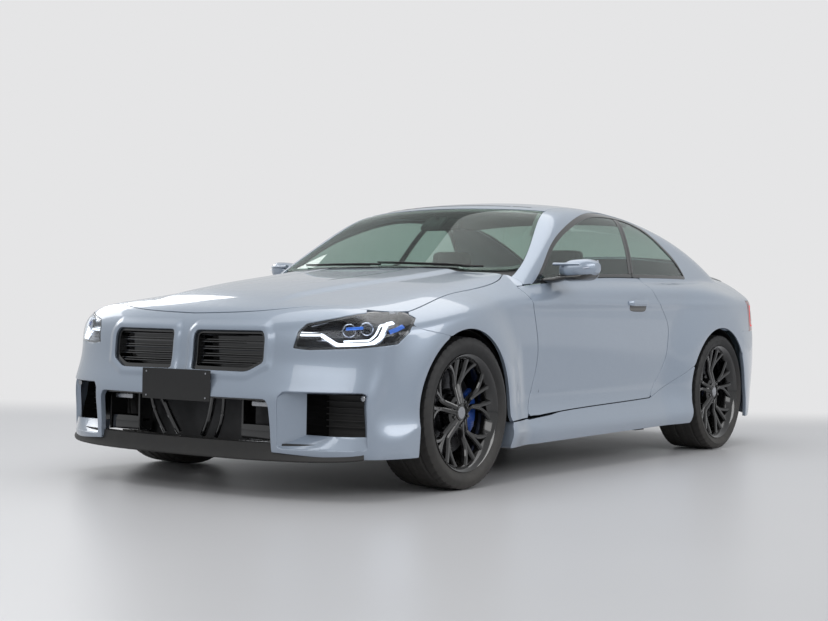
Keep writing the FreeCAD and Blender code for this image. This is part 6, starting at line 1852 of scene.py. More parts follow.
@dataclass
class FrontEnd:
    """The grilles, intakes, splitter, plate and headlamps."""

    bars: int = 5

    def build(self) -> None:
        """Builds the front's pieces."""
        for step in (self.kidneys, self.intakes, self.splitter, self.plate, self.headlamps, self.cowl):
            step()

    def kidneys(self) -> None:
        """Builds the two upper grilles: double bars across and a dark tray behind them."""
        parts = []
        for k in range(self.bars):
            z = 0.546 + k * 0.0300
            for lift, deep in ((0.0, 0.0), (0.0095, 0.004)):
                x = np.linspace(0.058, 0.444, 25)
                y = NOSE(np.full_like(x, z)) + end_curve(x, HALF * 0.9963, LENGTH * 0.1092,
                                                         2.8) + 0.034 + deep
                path = np.stack([x, y, np.full_like(x, z + lift)], -1)
                section = np.array([(-0.013, -0.0030), (0.013, -0.0030), (0.015, 0.0), (0.013, 0.0030),
                                    (-0.013, 0.0030), (-0.015, 0.0)])
                parts.append(swept(path, section[::-1], np.array([0.0, 1, 0]), np.array([0.0, 0, 1])))
        p, f = both(join_parts(parts))
        make("kidney_bars", p, f, "shell", BLACK_GLOSS, hides=("front_grilles",))
        tray = block((0.040, -2.165, 0.495), (0.470, -2.155, 0.705), 0.002, 1)
        p, f = both(tray)
        make("kidney_trays", p, f, "shell", BLACK_GLOSS)
        ray = around(FRONT_AXLE, -1, steady(0.50), steady(0.71), 0.5, 36)
        ring = Panel(ray, lambda p: body(p) + 0.010, (110, 56),
                     lambda p: np.abs(KIDNEY(p[:, 0], p[:, 2]) + 0.006) - 0.010, 0.040, 0.0016)
        panel("kidney_frames", [ring], None, "shell", BLACK_GLOSS)

    def intakes(self) -> None:
        """Builds what shows in the lower openings: a mesh, ducts, struts, trims and slats."""
        rows, cols = 26, 90
        x = np.linspace(-0.47, 0.47, cols)[:, None]
        z = np.linspace(0.215, 0.42, rows)[None, :]
        wave = 0.0045 * (np.cos(np.arange(cols)[:, None] * math.pi) * np.cos(np.arange(rows)[None,
            :] * math.pi))
        points = np.stack(np.broadcast_arrays(x, -2.125 + 0.10 * (x / 0.47) ** 2 + wave, z), -1)
        p, f = grid(points)
        q, g = grid(points + [0, 0.006, 0])
        rim = Bodyshell.rim(cols, rows, len(p))
        make("intake_mesh", np.concatenate([p, q]), np.concatenate([f, g[:, ::-1] + len(p), rim[:, ::-1]]),
             "shell", MESH, angle=20)
        parts = []
        for hand in (-1, 1):
            leg = bend([(hand * 0.155, -2.215, 0.402), (hand * 0.125, -2.200, 0.33),
                        (hand * 0.070, -2.185, 0.235)], 16)
            parts.append(tube(leg, 0.013, 10))
            arm = bend([(hand * 0.215, -2.215, 0.402), (hand * 0.200, -2.205, 0.33),
                        (hand * 0.150, -2.190, 0.232)], 16)
            parts.append(tube(arm, 0.009, 10))
        parts.append(block((-0.486, -2.235, 0.398), (0.486, -2.150, 0.412), 0.004))
        for hand in (-1, 1):
            a, b = sorted((hand * 0.300, hand * 0.478))
            parts.append(block((a, -2.205, 0.232), (b, -2.120, 0.300), 0.012))
            a, b = sorted((hand * 0.300, hand * 0.312))
            parts.append(block((a, -2.200, 0.232), (b, -2.120, 0.400), 0.004))
            a, b = sorted((hand * 0.482, hand * 0.492))
            parts.append(block((a, -2.200, 0.232), (b, -2.100, 0.400), 0.003))
        p, f = join_parts(parts)
        make("intake_struts", p, f, "shell", BLACK_GLOSS)
        silver = []
        for hand in (-1, 1):
            a, b = sorted((hand * 0.352, hand * 0.462))
            silver.append(block((a, -2.196, 0.372), (b, -2.176, 0.394), 0.005))
        p, f = join_parts(silver)
        make("intake_silver_trims", p, f, "shell", BRIGHT)
        slats = []
        for k in range(6):
            z = 0.290 + k * 0.026
            slats.append(block((0.605, -2.015, z), (0.858, -2.003, z + 0.006), 0.002, 1))
        slats.append(block((0.600, -1.992, 0.255), (0.862, -1.986, 0.450), 0.002, 1))
        p, f = both(join_parts(slats))
        p = p + np.stack([0 * p[:, 0], (np.abs(p[:, 0]) - 0.60) * 0.20, 0 * p[:, 0]], -1)
        make("side_intake_slats", p, f, "shell", PLASTIC)
        frame_part, tunnel_part = self.side_frame()
        make("side_intake_tunnels", *both(tunnel_part), "shell", BLACK_GLOSS)
        make("side_intake_frames", *both(frame_part), "shell", PAINT)
        sensor = turned_shape(np.array([(0.0, 0.0), (0.0, 0.010), (0.006, 0.012), (0.008, 0.008),
                                        (0.0085, 0.0)]), np.zeros(3), 28, closed=False)
        q = sensor[0][:, [1, 0, 2]] * [1, -1, 1] + [0.838, -2.062, 0.420]
        p, f = both((q, sensor[1]))
        make("parking_sensors", p, f, "shell", BRIGHT)

    @staticmethod
    def side_frame() -> tuple[tuple[Array, Array], tuple[Array, Array]]:
        """Builds a side intake's frame and tunnel from two outlines of the same count: the outer
        one lies just under the body's skin, the inner one further in and back, and a ruled sheet
        runs from one to the other and on to the slats.

        Returns:
            The painted frame and the dark tunnel.
        """
        def ring(corners: Sequence[tuple[float, float]]) -> Array:
            """Returns a closed outline's points, twelve to an edge."""
            q = np.array([*corners, corners[0]])
            run = np.concatenate([[0], np.cumsum(np.hypot(*np.diff(q, axis=0).T))])
            t = np.concatenate([np.linspace(a, b, 12, endpoint=False) for a, b in zip(run[:-1], run[1:])])
            return np.stack([np.interp(t, run, q[:, 0]), np.interp(t, run, q[:, 1])], -1)

        def skin(q: Array) -> Array:
            """Returns where the body's skin lies in front of points of an outline."""
            start = np.stack([q[:, 0], np.full(len(q), -1.80), q[:, 1]], -1)
            return hit(body, start, np.tile([0.0, -1.0, 0.0], (len(q), 1)), 0.6)[:, 1]

        outer = ring([(0.527, 0.211), (0.859, 0.211), (0.859, 0.441), (0.533, 0.441)])
        inner = ring([(0.604, 0.264), (0.857, 0.264), (0.857, 0.439), (0.604, 0.439)])
        y_out = skin(outer) + 0.0045
        y_in = np.maximum(skin(inner) + 0.020, -2.140)
        y_end = -1.992 + (inner[:, 0] - 0.60) * 0.20
        edge = np.stack([outer[:, 0], y_out, outer[:, 1]], -1)
        neck = np.stack([inner[:, 0], y_in, inner[:, 1]], -1)
        deep = np.stack([inner[:, 0], np.maximum(y_end, y_in + 0.01), inner[:, 1]], -1)
        centre = np.array([0.73, -2.0, 0.35])
        away = unit((neck - centre) * [1, 0, 1])
        parts = []
        for first, second in ((edge, neck), (neck, deep)):
            t = np.linspace(0, 1, 9)[:, None, None]
            near = first[None] + (second - first)[None] * t
            ringed = np.concatenate([near, near[::-1] + away[None] * 0.004], 0)
            parts.append(grid(ringed, closed_u=True, closed_v=True))
        return parts[0], parts[1]

    def splitter(self) -> None:
        """Builds the dark lip under the nose: a blade's section carried round the front in plan."""
        t = np.linspace(-1, 1, 97)
        x = 0.845 * np.sin(t * math.pi / 2 * 0.97)
        z0 = 0.160 + 0.018 * np.abs(t) ** 3
        y = NOSE(np.full_like(x, 0.20)) + end_curve(np.abs(x), HALF * 0.9963, LENGTH * 0.1092, 2.8)
        path = np.stack([x, y + 0.016, z0], -1)
        way = unit(np.gradient(path, axis=0))
        side = unit(np.cross(way, [0.0, 0, 1]))
        section = np.array([(0.016, -0.006), (0.018, 0.000), (0.012, 0.010), (0.003, 0.034), (0.001, 0.066),
                            (-0.030, 0.068), (-0.110, 0.010), (-0.110, -0.008)])
        p, f = swept(path, section, side, np.array([0.0, 0, 1]))
        make("front_lip_blade", p, f, "shell", PLASTIC, hides=("front_splitter",))

    @staticmethod
    def inward(p: Array, f: Array) -> bool:
        """Returns whether a closed shape's faces point in, from the sign of its volume."""
        a, b, c, d = (p[f[:, k]] for k in range(4))
        volume = (a * np.cross(b, c)).sum() + (a * np.cross(c, d)).sum()
        return volume < 0

    def plate(self) -> None:
        """Builds the bare dark plate with its frame and four screws."""
        part = block((-0.198, -2.2895, 0.385), (0.202, -2.2835, 0.518), 0.003, 3)
        holder = block((-0.16, -2.284, 0.400), (0.16, -2.245, 0.500), 0.006, 2)
        p, f = join_parts([part, holder])
        make("bare_plate", p, f, "shell", PLASTIC)
        screws = []
        for x in (-0.172, 0.176):
            for z in (0.400, 0.503):
                q, g = turned_shape(np.array([(-0.001, 0.0), (0.0, 0.0042), (0.0012, 0.0040),
                                              (0.0018, 0.0022), (0.0019, 0.0)]), np.zeros(3), 16,
                                              closed=False)
                screws.append((q[:, [1, 0, 2]] * [1, -1, 1] + [x, -2.2894, z], g))
        p, f = join_parts(screws)
        make("plate_screws", p, f, "shell", BRIGHT)

    def headlamps(self) -> None:
        """Builds the lenses, the dark bowls, the light lines, projectors and slats behind them."""
        ray = around(FRONT_AXLE, -1, steady(0.560),
                     lambda t: np.interp(t, (18, 30, 45, 60, 80), (0.74, 0.768, 0.786, 0.80, 0.79)), 18, 80)
        lens = Panel(ray, body, (110, 36), lambda p: every(lamp_level(p) + 0.002, self.over_bonnet(p)),
                     0.0035, 0.0012)
        bowl = Panel(ray, lambda p: body(p) + 0.050, (100, 34),
                     lambda p: every(lamp_level(p) - 0.004, self.over_bonnet(p) - 0.004), 0.003, 0.0006)
        panel("headlamp_clear_lenses", [lens], None, "shell", LENS, ("headlamp_lenses",))
        panel("headlamp_bowls", [bowl], None, "shell", LAMP_DARK, ("headlamp_housings",))
        edge = Panel(ray, lambda p: body(p) + 0.0045, (150, 48),
                     lambda p: every(lamp_level(p) - 0.003, -(lamp_level(p) + 0.010),
                                     self.over_bonnet(p) - 0.003), 0.050, 0.0006)
        panel("headlamp_walls", [edge], None, "shell", BLACK_GLOSS)
        u = np.array([math.sqrt(0.5), math.sqrt(0.5), 0])
        base = np.array([HALF * 0.7239, LENGTH * -0.4231, 0.0])

        def at(a: Array, b: Array, sink: float) -> Array:
            """Puts a point given along the lamp and up it on the form, sunk by so much."""
            out = np.array([math.sqrt(0.5), -math.sqrt(0.5), 0])
            q = base + np.outer(a, u) + np.outer(b, [0, 0, 1.0]) - out * 0.35
            return hit(lambda p: body(p) + sink, q, np.tile(out, (len(a), 1)), 0.8)

        def line(points: Sequence[tuple[float, float]], sink: float, wide: float, deep: float,
                 count: int = 60) -> tuple[Array, Array]:
            """Carries a flat rounded bar along a broken line on the lamp."""
            q = np.array(points, float)
            run = np.concatenate([[0], np.cumsum(np.hypot(*np.diff(q, axis=0).T))])
            t = np.linspace(0, run[-1], count)
            a, b = np.interp(t, run, q[:, 0]), np.interp(t, run, q[:, 1])
            kernel = np.array([1, 2, 3, 2, 1]) / 9
            a[2:-2] = np.convolve(a, kernel, "valid")
            b[2:-2] = np.convolve(b, kernel, "valid")
            path = at(a, b, sink)
            n = outward(body, path)
            way = unit(np.gradient(path, axis=0))
            side = unit(np.cross(n, way))
            section = np.array([(wide, -deep), (wide, deep * 0.6), (wide * 0.5, deep), (-wide * 0.5, deep),
                                (-wide, deep * 0.6), (-wide, -deep)])
            p, f = swept(path, section, side, n)
            return p, (f[:, ::-1] if self.inward(p, f) else f)

        bright = [
            line([(-0.232, 0.678), (-0.150, 0.676), (-0.085, 0.634), (0.050, 0.640), (0.085, 0.662),
                  (0.120, 0.722), (0.155, 0.728)], 0.014, 0.0078, 0.003),
            line([(-0.060, 0.650), (0.044, 0.656), (0.068, 0.676), (0.092, 0.716), (0.112, 0.720)], 0.018,
                 0.0036, 0.003),
        ]
        p, f = both(join_parts(bright))
        make("daytime_light_lines", p, f, "shell", LIGHT)
        thin = [line([(-0.185, 0.708), (-0.08, 0.738), (0.05, 0.757), (0.178, 0.768)], 0.012, 0.0022, 0.002),
                line([(-0.165, 0.654), (-0.125, 0.652), (-0.088, 0.624), (0.052, 0.630), (0.095, 0.655),
                      (0.128, 0.712)], 0.020, 0.004, 0.002)]
        p, f = both(join_parts(thin))
        make("headlamp_bright_strips", p, f, "shell", LAMP_CHROME)
        blue = [line([(0.130, 0.690), (0.165, 0.700), (0.200, 0.715)], 0.012, 0.009, 0.0015),
                line([(-0.05, 0.700), (0.02, 0.706)], 0.022, 0.006, 0.002)]
        p, f = both(join_parts(blue))
        # The blue accents carry a weak painted glow.
        make("headlamp_blue_accents", p, f, "shell", BLUE_ACCENT_PAINTED_GLOW)
        lenses, rings = [], []
        for a, b, r in ((-0.035, 0.694, 0.023), (0.035, 0.702, 0.023)):
            c = at(np.array([a]), np.array([b]), 0.036)[0]
            n = outward(body, c[None])[0]
            n = unit(n * [1, 1, 0.2])
            e1 = unit(np.cross([0.0, 0, 1], n))
            e2 = np.cross(n, e1)
            for bag, profile in (
                (lenses,
                 [(0.0, -0.002), (r * 0.98, 0.0), (r * 0.9, 0.006), (r * 0.65, 0.012), (r * 0.35, 0.0155),
                  (0.0, 0.0165)]),
                (rings,
                 [(r * 0.96, -0.012), (r * 1.18, -0.010), (r * 1.22, 0.004), (r * 1.10, 0.006),
                  (r * 1.0, 0.002)]),
            ):
                q = np.array(profile)
                t = np.linspace(0, 2 * math.pi, 40, endpoint=False)[:, None]
                pts = c + (q[:, 0] * np.cos(t))[..., None] * e1 + (q[:, 0] * np.sin(t))[...,
                    None] * e2 + np.broadcast_to(q[:, 1], (40, len(q)))[..., None] * n
                g = grid(pts, closed_u=True, closed_v=bag is rings)
                bag.append(g)
        p, f = both(join_parts(lenses))
        make("projector_lenses", p, f, "shell", LENS)
        p, f = both(join_parts(rings))
        make("projector_rings", p, f, "shell", LAMP_CHROME)
        slats = [line([(-0.235, 0.640 + 0.013 * k), (-0.150, 0.642 + 0.013 * k)], 0.010, 0.0022, 0.005,
                      16) for k in range(4)]
        p, f = both(join_parts(slats))
        make("headlamp_slats", p, f, "shell", BLACK_GLOSS)

    @staticmethod
    def over_bonnet(p: Array) -> Array:
        """Returns how far a point is inside the bonnet's outline seen from above."""
        inner = np.minimum(p[:, 1] - BONNET_FRONT(p[:, 0]), BONNET_SIDE(p[:, 1]) - p[:, 0])
        return np.where(p[:, 2] > 0.70, inner + 0.004, -1.0)

    def cowl(self) -> None:
        """Builds the dark panel at the windscreen's foot and the two wipers."""
        def keep(p: Array) -> Array:
            """Returns the level inside which the cowl's cover is kept."""
            x, y = np.abs(p[:, 0]), p[:, 1]
            return every(BONNET_REAR(x) - 0.02 - y, y - SCREEN_BOTTOM(x) - 0.012, x - HALF * 0.78)

        ray = downward(lambda x: BONNET_REAR(x) - 0.02, lambda x: SCREEN_BOTTOM(x) + 0.015,
                       steady(HALF * 0.78), 0.0)
        sheet = Panel(ray, lambda p: whole(p) + 0.010, (90, 12), keep, 0.006)
        panel("cowl_cover", [sheet], Side.LEFT, "shell", PLASTIC)
        parts = []
        for foot, tip in (((0.58, -0.745), (-0.02, -0.800)), ((0.02, -0.800), (-0.56, -0.745))):
            for radius, lift, a, b in ((0.0055, 0.010, 0.0, 1.0), (0.0028, 0.0045, 0.12, 1.0)):
                t = np.linspace(a, b, 24)
                x = foot[0] + (tip[0] - foot[0]) * t
                y = SCREEN_BOTTOM(np.abs(x)) + 0.014 + 0.030 * t
                start = np.stack([x, y, np.full_like(x, TOP_START)], -1)
                path = hit(lambda p: whole(p) - lift, start, np.tile([0.0, 0.0, 1.0], (24, 1)))
                parts.append(tube(path, radius * (1 - 0.35 * t), 8))
        p, f = join_parts(parts)
        make("wiper_arms", p, f, "shell", PLASTIC)


# Rear and sides


@dataclass
class Details:
    """The tail lamps, mirrors, door handles, exhaust tips and aerial."""

    def build(self) -> None:
        """Builds the pieces."""
        for step in (self.tail_lamps, self.mirrors, self.handles, self.tips, self.aerial):
            step()

    def tail_lamps(self) -> None:
        """Builds the rear lamps: red lenses with a lit line round each and a dark middle."""
        def level(p: Array) -> Array:
            """Returns the level of the tail lamp, negative inside it."""
            turn = np.degrees(np.arctan2(np.abs(p[:, 0]), p[:, 1] - REAR_AXLE))
            return every(0.6432 - np.abs(p[:, 0]), (turn - 62) * 0.016, TAIL_SEAM_Z + STAND_BACK - p[:, 2],
                         p[:, 2] - LAMP_TOP + STAND_BACK)

        ray = around(REAR_AXLE, 1, steady(0.66), steady(0.92), 30, 68)
        panel("tail_lamp_lenses", [Panel(ray, body, (80, 34), lambda p: level(p) + 0.0016, 0.020, 0.004)],
              None, "shell", RED_LENS, ("tail_lamps",))
        glow = Panel(ray, lambda p: body(p) - 0.0012, (110, 46), lambda p: np.abs(level(p) + 0.032) - 0.005,
                     0.002, 0.0008)
        panel("tail_light_lines", [glow], None, "shell", RED_LIGHT)
        dark = Panel(ray, lambda p: body(p) - 0.0008, (90, 40), lambda p: level(p) + 0.062, 0.002, 0.0008)
        panel("tail_lamp_middles", [dark], None, "shell", BLACK_GLOSS)

    def mirrors(self) -> None:
        """Builds the door mirrors: a painted cap lofted across the car, its dark lower part, foot,
        winglet and glass; a section's points lie on a superellipse."""
        def loft(rows: Sequence[tuple[float, ...]], power: float, count: int = 40) -> tuple[Array, Array]:
            """Builds a closed body along rows of places and half sizes, its sections rounded boxes."""
            q = np.array(rows)
            t = np.linspace(0, 2 * math.pi, count, endpoint=False)
            c = np.sign(np.cos(t)) * np.abs(np.cos(t)) ** (2 / power)
            s = np.sign(np.sin(t)) * np.abs(np.sin(t)) ** (2 / power)
            path = np.stack([q[:, 0], q[:, 1], q[:, 2]], -1)
            section = np.stack([c, s], -1)
            p, f = swept(path, section, np.array([0.0, 1, 0]), np.array([0.0, 0, 1]), q[:, 3:5])
            return p, (f[:, ::-1] if FrontEnd.inward(p, f) else f)

        s = np.linspace(0, 1, 14)
        x = 0.872 + (1.032 - 0.872) * s
        half_y = 0.086 * (1 - (np.clip((s - 0.5) / 0.5, 0,
                                       1)) ** 3 * 0.60) * (0.72 + 0.28 * np.clip(s / 0.25, 0, 1))
        y = -0.470 + 0.036 * s
        mid_z = 0.999 + 0.012 * s
        half_z = 0.0485 * (1 - np.clip((s - 0.55) / 0.45, 0,
                                       1) ** 3 * 0.50) * (0.70 + 0.30 * np.clip(s / 0.3, 0, 1))
        cap = loft(np.stack([x, y, mid_z, half_y, half_z], -1), 2.6)
        low = loft(np.stack([x - 0.008, y + 0.004, mid_z - half_z * 0.86, half_y * 0.97, half_z * 0.40],
                            -1), 3.0)
        xs = np.linspace(0.855, 0.985, 8)
        wing = loft(np.stack([xs, np.linspace(-0.555, -0.508, 8), np.full(8, 1.026),
                              np.linspace(0.014, 0.030, 8), np.full(8, 0.0075)], -1), 2.2)
        arm = loft([(0.800, -0.545, 0.946, 0.045, 0.013), (0.860, -0.535, 0.950, 0.040, 0.014),
                    (0.900, -0.510, 0.962, 0.034, 0.014), (0.960, -0.480, 0.972, 0.030, 0.010)], 2.4)
        p0, f0 = block((0.905, -0.401, 0.972), (1.010, -0.396, 1.040), 0.002, 2)
        glass = (p0 + np.stack([0 * p0[:, 0], (p0[:, 0] - 0.905) * 0.16, (p0[:, 0] - 0.905) * 0.10], -1), f0)
        lamp = loft([(0.955, -0.5275, 1.004, 0.003, 0.0022), (0.990, -0.520, 1.006, 0.003, 0.0026),
                     (1.022, -0.502, 1.010, 0.003, 0.0022)], 2.0, 16)
        for side, tag in ((Side.LEFT, "left"), (Side.RIGHT, "right")):
            hand = flip if side is Side.RIGHT else (lambda part: part)
            p, f = hand(join_parts([cap, wing]))
            make("mirror_cap_" + tag, p, f, "door_" + tag, PAINT, hides=("mirror_" + tag,))
            p, f = hand(join_parts([low, arm]))
            make("mirror_base_" + tag, p, f, "door_" + tag, BLACK_GLOSS)
            p, f = hand(glass)
            make("mirror_glass_" + tag, p, f, "door_" + tag, LAMP_CHROME)
            p, f = hand(lamp)
            make("mirror_indicator_" + tag, p, f, "door_" + tag, LAMP_CHROME)

    def handles(self) -> None:
        """Builds the door handles: a bowed bar over a dark sheet of painted shade on the door."""
        s = np.linspace(0, 1, 24)
        y = 0.190 + 0.225 * s
        z = 0.848 + 0.004 * s
        skin = hit(whole, np.stack([np.zeros(24), y, z], -1), np.tile([1.0, 0, 0], (24, 1)))[:, 0]
        rise = 0.016 * np.clip(np.sin(math.pi * s) * 2.6, 0, 1) ** 0.7
        path = np.stack([skin + rise - 0.004, y, z], -1)
        section = np.array([(-0.005, -0.0150), (0.004, -0.0160), (0.0075, -0.0095), (0.0085, 0.0),
                            (0.0075, 0.0095), (0.004, 0.0160), (-0.005, 0.0150)])
        grow = np.stack([np.ones(24), 0.70 + 0.30 * np.clip(np.sin(math.pi * s) * 2, 0, 1)], -1)
        bar = swept(path, section, np.array([1.0, 0, 0]), np.array([0.0, 0, 1]), grow)
        bar = (bar[0], bar[1][:, ::-1] if FrontEnd.inward(*bar) else bar[1])
        # A flat dark sheet just proud of the door round and under the handle: painted shade where a recess
        # would be.
        recess_shade_level = lambda p: (((p[:, 1] - 0.305) / 0.098) ** 4 + ((p[:,
            2] - 0.829) / 0.026) ** 4) ** 0.25 * 0.026 - 0.026
        ray = fanned(0.20, 0.41, steady(math.radians(12)), steady(math.radians(22)))
        for side, tag in ((Side.LEFT, "left"), (Side.RIGHT, "right")):
            hand = flip if side is Side.RIGHT else (lambda part: part)
            p, f = hand(bar)
            make("door_handle_" + tag, p, f, "door_" + tag, PAINT)
            # The dark sheet under each handle is painted shade, not a recess.
            panel("handle_cup_" + tag,
                  [Panel(ray, lambda p: whole(p) - 0.0006, (60, 40), recess_shade_level, 0.001, 0.0004)], side,
                  "door_" + tag, BLACK_GLOSS)

    def tips(self) -> None:
        """Builds the four exhaust ends: rolled tubes turned about lines along the car."""
        parts = []
        for x in (-0.312, -0.190, 0.190, 0.312):
            profile = np.array([(2.050, 0.046), (2.250, 0.048), (2.262, 0.0475), (2.266, 0.044),
                                (2.262, 0.0415), (2.245, 0.041), (2.060, 0.039), (2.050, 0.042)])
            q, f = turned_shape(profile, np.zeros(3), 56)
            q = q[:, [1, 0, 2]] + [x, 0, 0.283]
            parts.append((q, f[:, ::-1]))
        p, f = join_parts(parts)
        if FrontEnd.inward(p, f):
            f = f[:, ::-1]
        make("exhaust_ends", p, f, "shell", TIP)

    def aerial(self) -> None:
        """Builds the roof aerial: sections on a fin's outline that narrow towards its top."""
        s = np.linspace(0, 1, 12)
        rows = []
        for k in s:
            half_y = 0.062 * (1 - k) ** 0.55 + 0.004
            rows.append((0.0, 0.935 + 0.045 * k, 1.2995 + 0.042 * k, 0.019 * (1 - k) ** 0.6 + 0.003, half_y))
        q = np.array(rows)
        ground = hit(whole, np.array([[0.0, 0.935, TOP_START]]), np.array([[0.0, 0, 1.0]]))[0, 2]
        q[:, 2] = ground - 0.004 + 0.040 * s
        t = np.linspace(0, 2 * math.pi, 28, endpoint=False)
        section = np.stack([np.cos(t), np.sin(t)], -1)
        p, f = swept(q[:, :3], section, np.array([1.0, 0, 0]), np.array([0.0, 1, 0]), q[:, 3:5])
        if FrontEnd.inward(p, f):
            f = f[:, ::-1]
        make("roof_aerial", p, f, "shell", PAINT)


# Cabin


@dataclass
class CabinTrim:
    """What shows through the glass and the open doors.

    Attributes:
        seat_x: How far a front seat's middle is from the car's middle.
        seat_half: Half a front seat's width.
        rim_radius: The steering wheel's radius at the middle of its grip.
        grip: The grip's radius.
        card_x: Where a door card's inner face lies across the car.
    """

    seat_x: float = 0.370
    seat_half: float = 0.212
    rim_radius: float = 0.180
    grip: float = 0.0155
    card_x: float = 0.752

    def build(self) -> None:
        """Builds the cabin's pieces."""
        for step in (self.dashboard, self.steering, self.front_seats, self.rear_bench, self.lining,
                     self.mats):
            step()

    def door_card(self, side: Side, tag: str) -> None:
        """Builds a door's inner trim: a wavy card whose face swells at the armrest, and a pull."""
        y = np.linspace(-0.655, 0.425, 55)[:, None]
        v = np.linspace(0, 1, 29)[None, :]
        low = 0.335 + 0.02 * (y + 0.66)
        high = BELT(y) - 0.022
        z = low + (high - low) * v
        rest = np.exp(-(((z - 0.640 - 0.05 * y) / 0.045) ** 2)) * ease((y + 0.45) / 0.3) * ease((0.40 - y)
            / 0.15)
        panel_dip = 0.010 * np.exp(-(((z - 0.800) / 0.060) ** 2))
        x = self.card_x - 0.052 * rest + panel_dip + 0 * y
        face = np.stack(np.broadcast_arrays(x, y, z), -1)
        back = face * [0, 1, 1] + [0.7745, 0, 0]
        p, f = grid(face)
        q, g = grid(back)
        rim = Bodyshell.rim(55, 29, len(p))
        part = (np.concatenate([p, q]), np.concatenate([f, g[:, ::-1] + len(p), rim]))
        pull = tube(bend([(self.card_x - 0.004, -0.30, 0.735), (self.card_x - 0.040, -0.24, 0.745),
                          (self.card_x - 0.040, -0.12, 0.752),
                          (self.card_x - 0.004, -0.06, 0.755)], 20), 0.011, 12)
        hand = flip if side is Side.RIGHT else (lambda one: one)
        p, f = hand(part)
        make("door_card_" + tag, p, f, "door_" + tag, CABIN)
        p, f = hand(pull)
        make("door_pull_" + tag, p, f, "door_" + tag, BRIGHT)

    def dashboard(self) -> None:
        """Builds the dashboard: a section over (y, z) carried across the car, bent towards the
        screen at its ends, with a hood before the driver, a console, a display and air vents."""
        section = np.array([
            (-0.682, 0.900), (-0.640, 0.918), (-0.570, 0.927), (-0.500, 0.922), (-0.445, 0.902),
            (-0.415, 0.872),
            (-0.420, 0.838), (-0.438, 0.812), (-0.440, 0.770), (-0.404, 0.742), (-0.385, 0.700),
            (-0.398, 0.650),
            (-0.450, 0.600), (-0.560, 0.560), (-0.660, 0.560), (-0.686, 0.700),
        ])
        ring = bend([*section.tolist(), section[0].tolist()], 76)[:-1]
        x = np.linspace(-0.692, 0.692, 81)
        a = np.abs(x)[:, None]
        y = ring[None, :, 0] - 0.030 * (a / 0.69) ** 3 * (ring[None, :, 0] > -0.6)
        hood = np.exp(-(((x[:, None] - self.seat_x) / 0.150) ** 4)) * np.clip((ring[None, :,
            1] - 0.83) / 0.09, 0, 1)
        z = ring[None, :, 1] + 0.020 * hood * (ring[None, :, 0] > -0.60) - 0.018 * (a / 0.69) ** 2.5
        points = np.stack(np.broadcast_arrays(x[:, None], y, z), -1)
        p, f = grid(points, closed_v=True)
        n = points.shape[1]
        middle = points[[0, -1]].mean(1)
        j = np.arange(n)
        k = (j + 1) % n
        caps = [np.stack([np.full(n, len(p)), j, k, k], -1),
                np.stack([np.full(n, len(p) + 1), 80 * n + k, 80 * n + j, 80 * n + j], -1)]
        body_part = (np.concatenate([p, middle]), np.concatenate([f, *caps]))
        console = block((-0.115, -0.640, 0.355), (0.115, -0.315, 0.600), 0.030, 6)
        arm = block((-0.105, -0.300, 0.400), (0.105, 0.240, 0.500), 0.028, 6)
        p, f = join_parts([body_part, console, arm])
        make("dashboard_body", p, f, "shell", CABIN, hides=("dashboard",), angle=40)
        gloss = [
            block((-0.130, -0.418, 0.826), (0.150, -0.404, 0.905), 0.006, 2),
            block((0.255, -0.424, 0.838), (0.485, -0.412, 0.905), 0.006, 2),
            block((-0.090, -0.250, 0.498), (0.030, -0.060, 0.503), 0.002, 1),
        ]
        for x0 in (-0.640, -0.180, 0.560):
            for k in range(4):
                gloss.append(block((x0, -0.450, 0.762 + 0.013 * k), (x0 + 0.105, -0.430, 0.768 + 0.013 * k),
                                   0.002, 1))
        p, f = join_parts(gloss)
        make("dashboard_screens", p, f, "shell", BLACK_GLOSS)
        strip = bend([(-0.680, -0.466, 0.796), (-0.40, -0.439, 0.809), (0, -0.434, 0.812),
                      (0.40, -0.439, 0.809), (0.680, -0.466, 0.796)], 60)
        p, f = join_parts([tube(strip, 0.004, 8),
                           tube(bend([(0.04, -0.16, 0.50), (0.042, -0.165, 0.545), (0.046, -0.18, 0.585)],
                                     10), 0.013, 12)])
        make("dashboard_bright_strip", p, f, "shell", BRIGHT)

    def steering(self) -> None:
        """Builds the steering wheel: a ring round its axis, a crowned boss and three spokes."""
        centre = np.array([0.370041, -0.330218, 0.815003])
        way = np.array([0, math.cos(math.radians(24)), math.sin(math.radians(24))])
        up = np.cross(np.array([1.0, 0, 0]), way)

        def at(right: Array, over: Array, out: Array) -> Array:
            """Puts a point given across, up and out of the wheel's plane in its place."""
            return centre + np.asarray(right)[..., None] * [1.0, 0, 0] + np.asarray(over)[...,
                None] * up + np.asarray(out)[..., None] * way

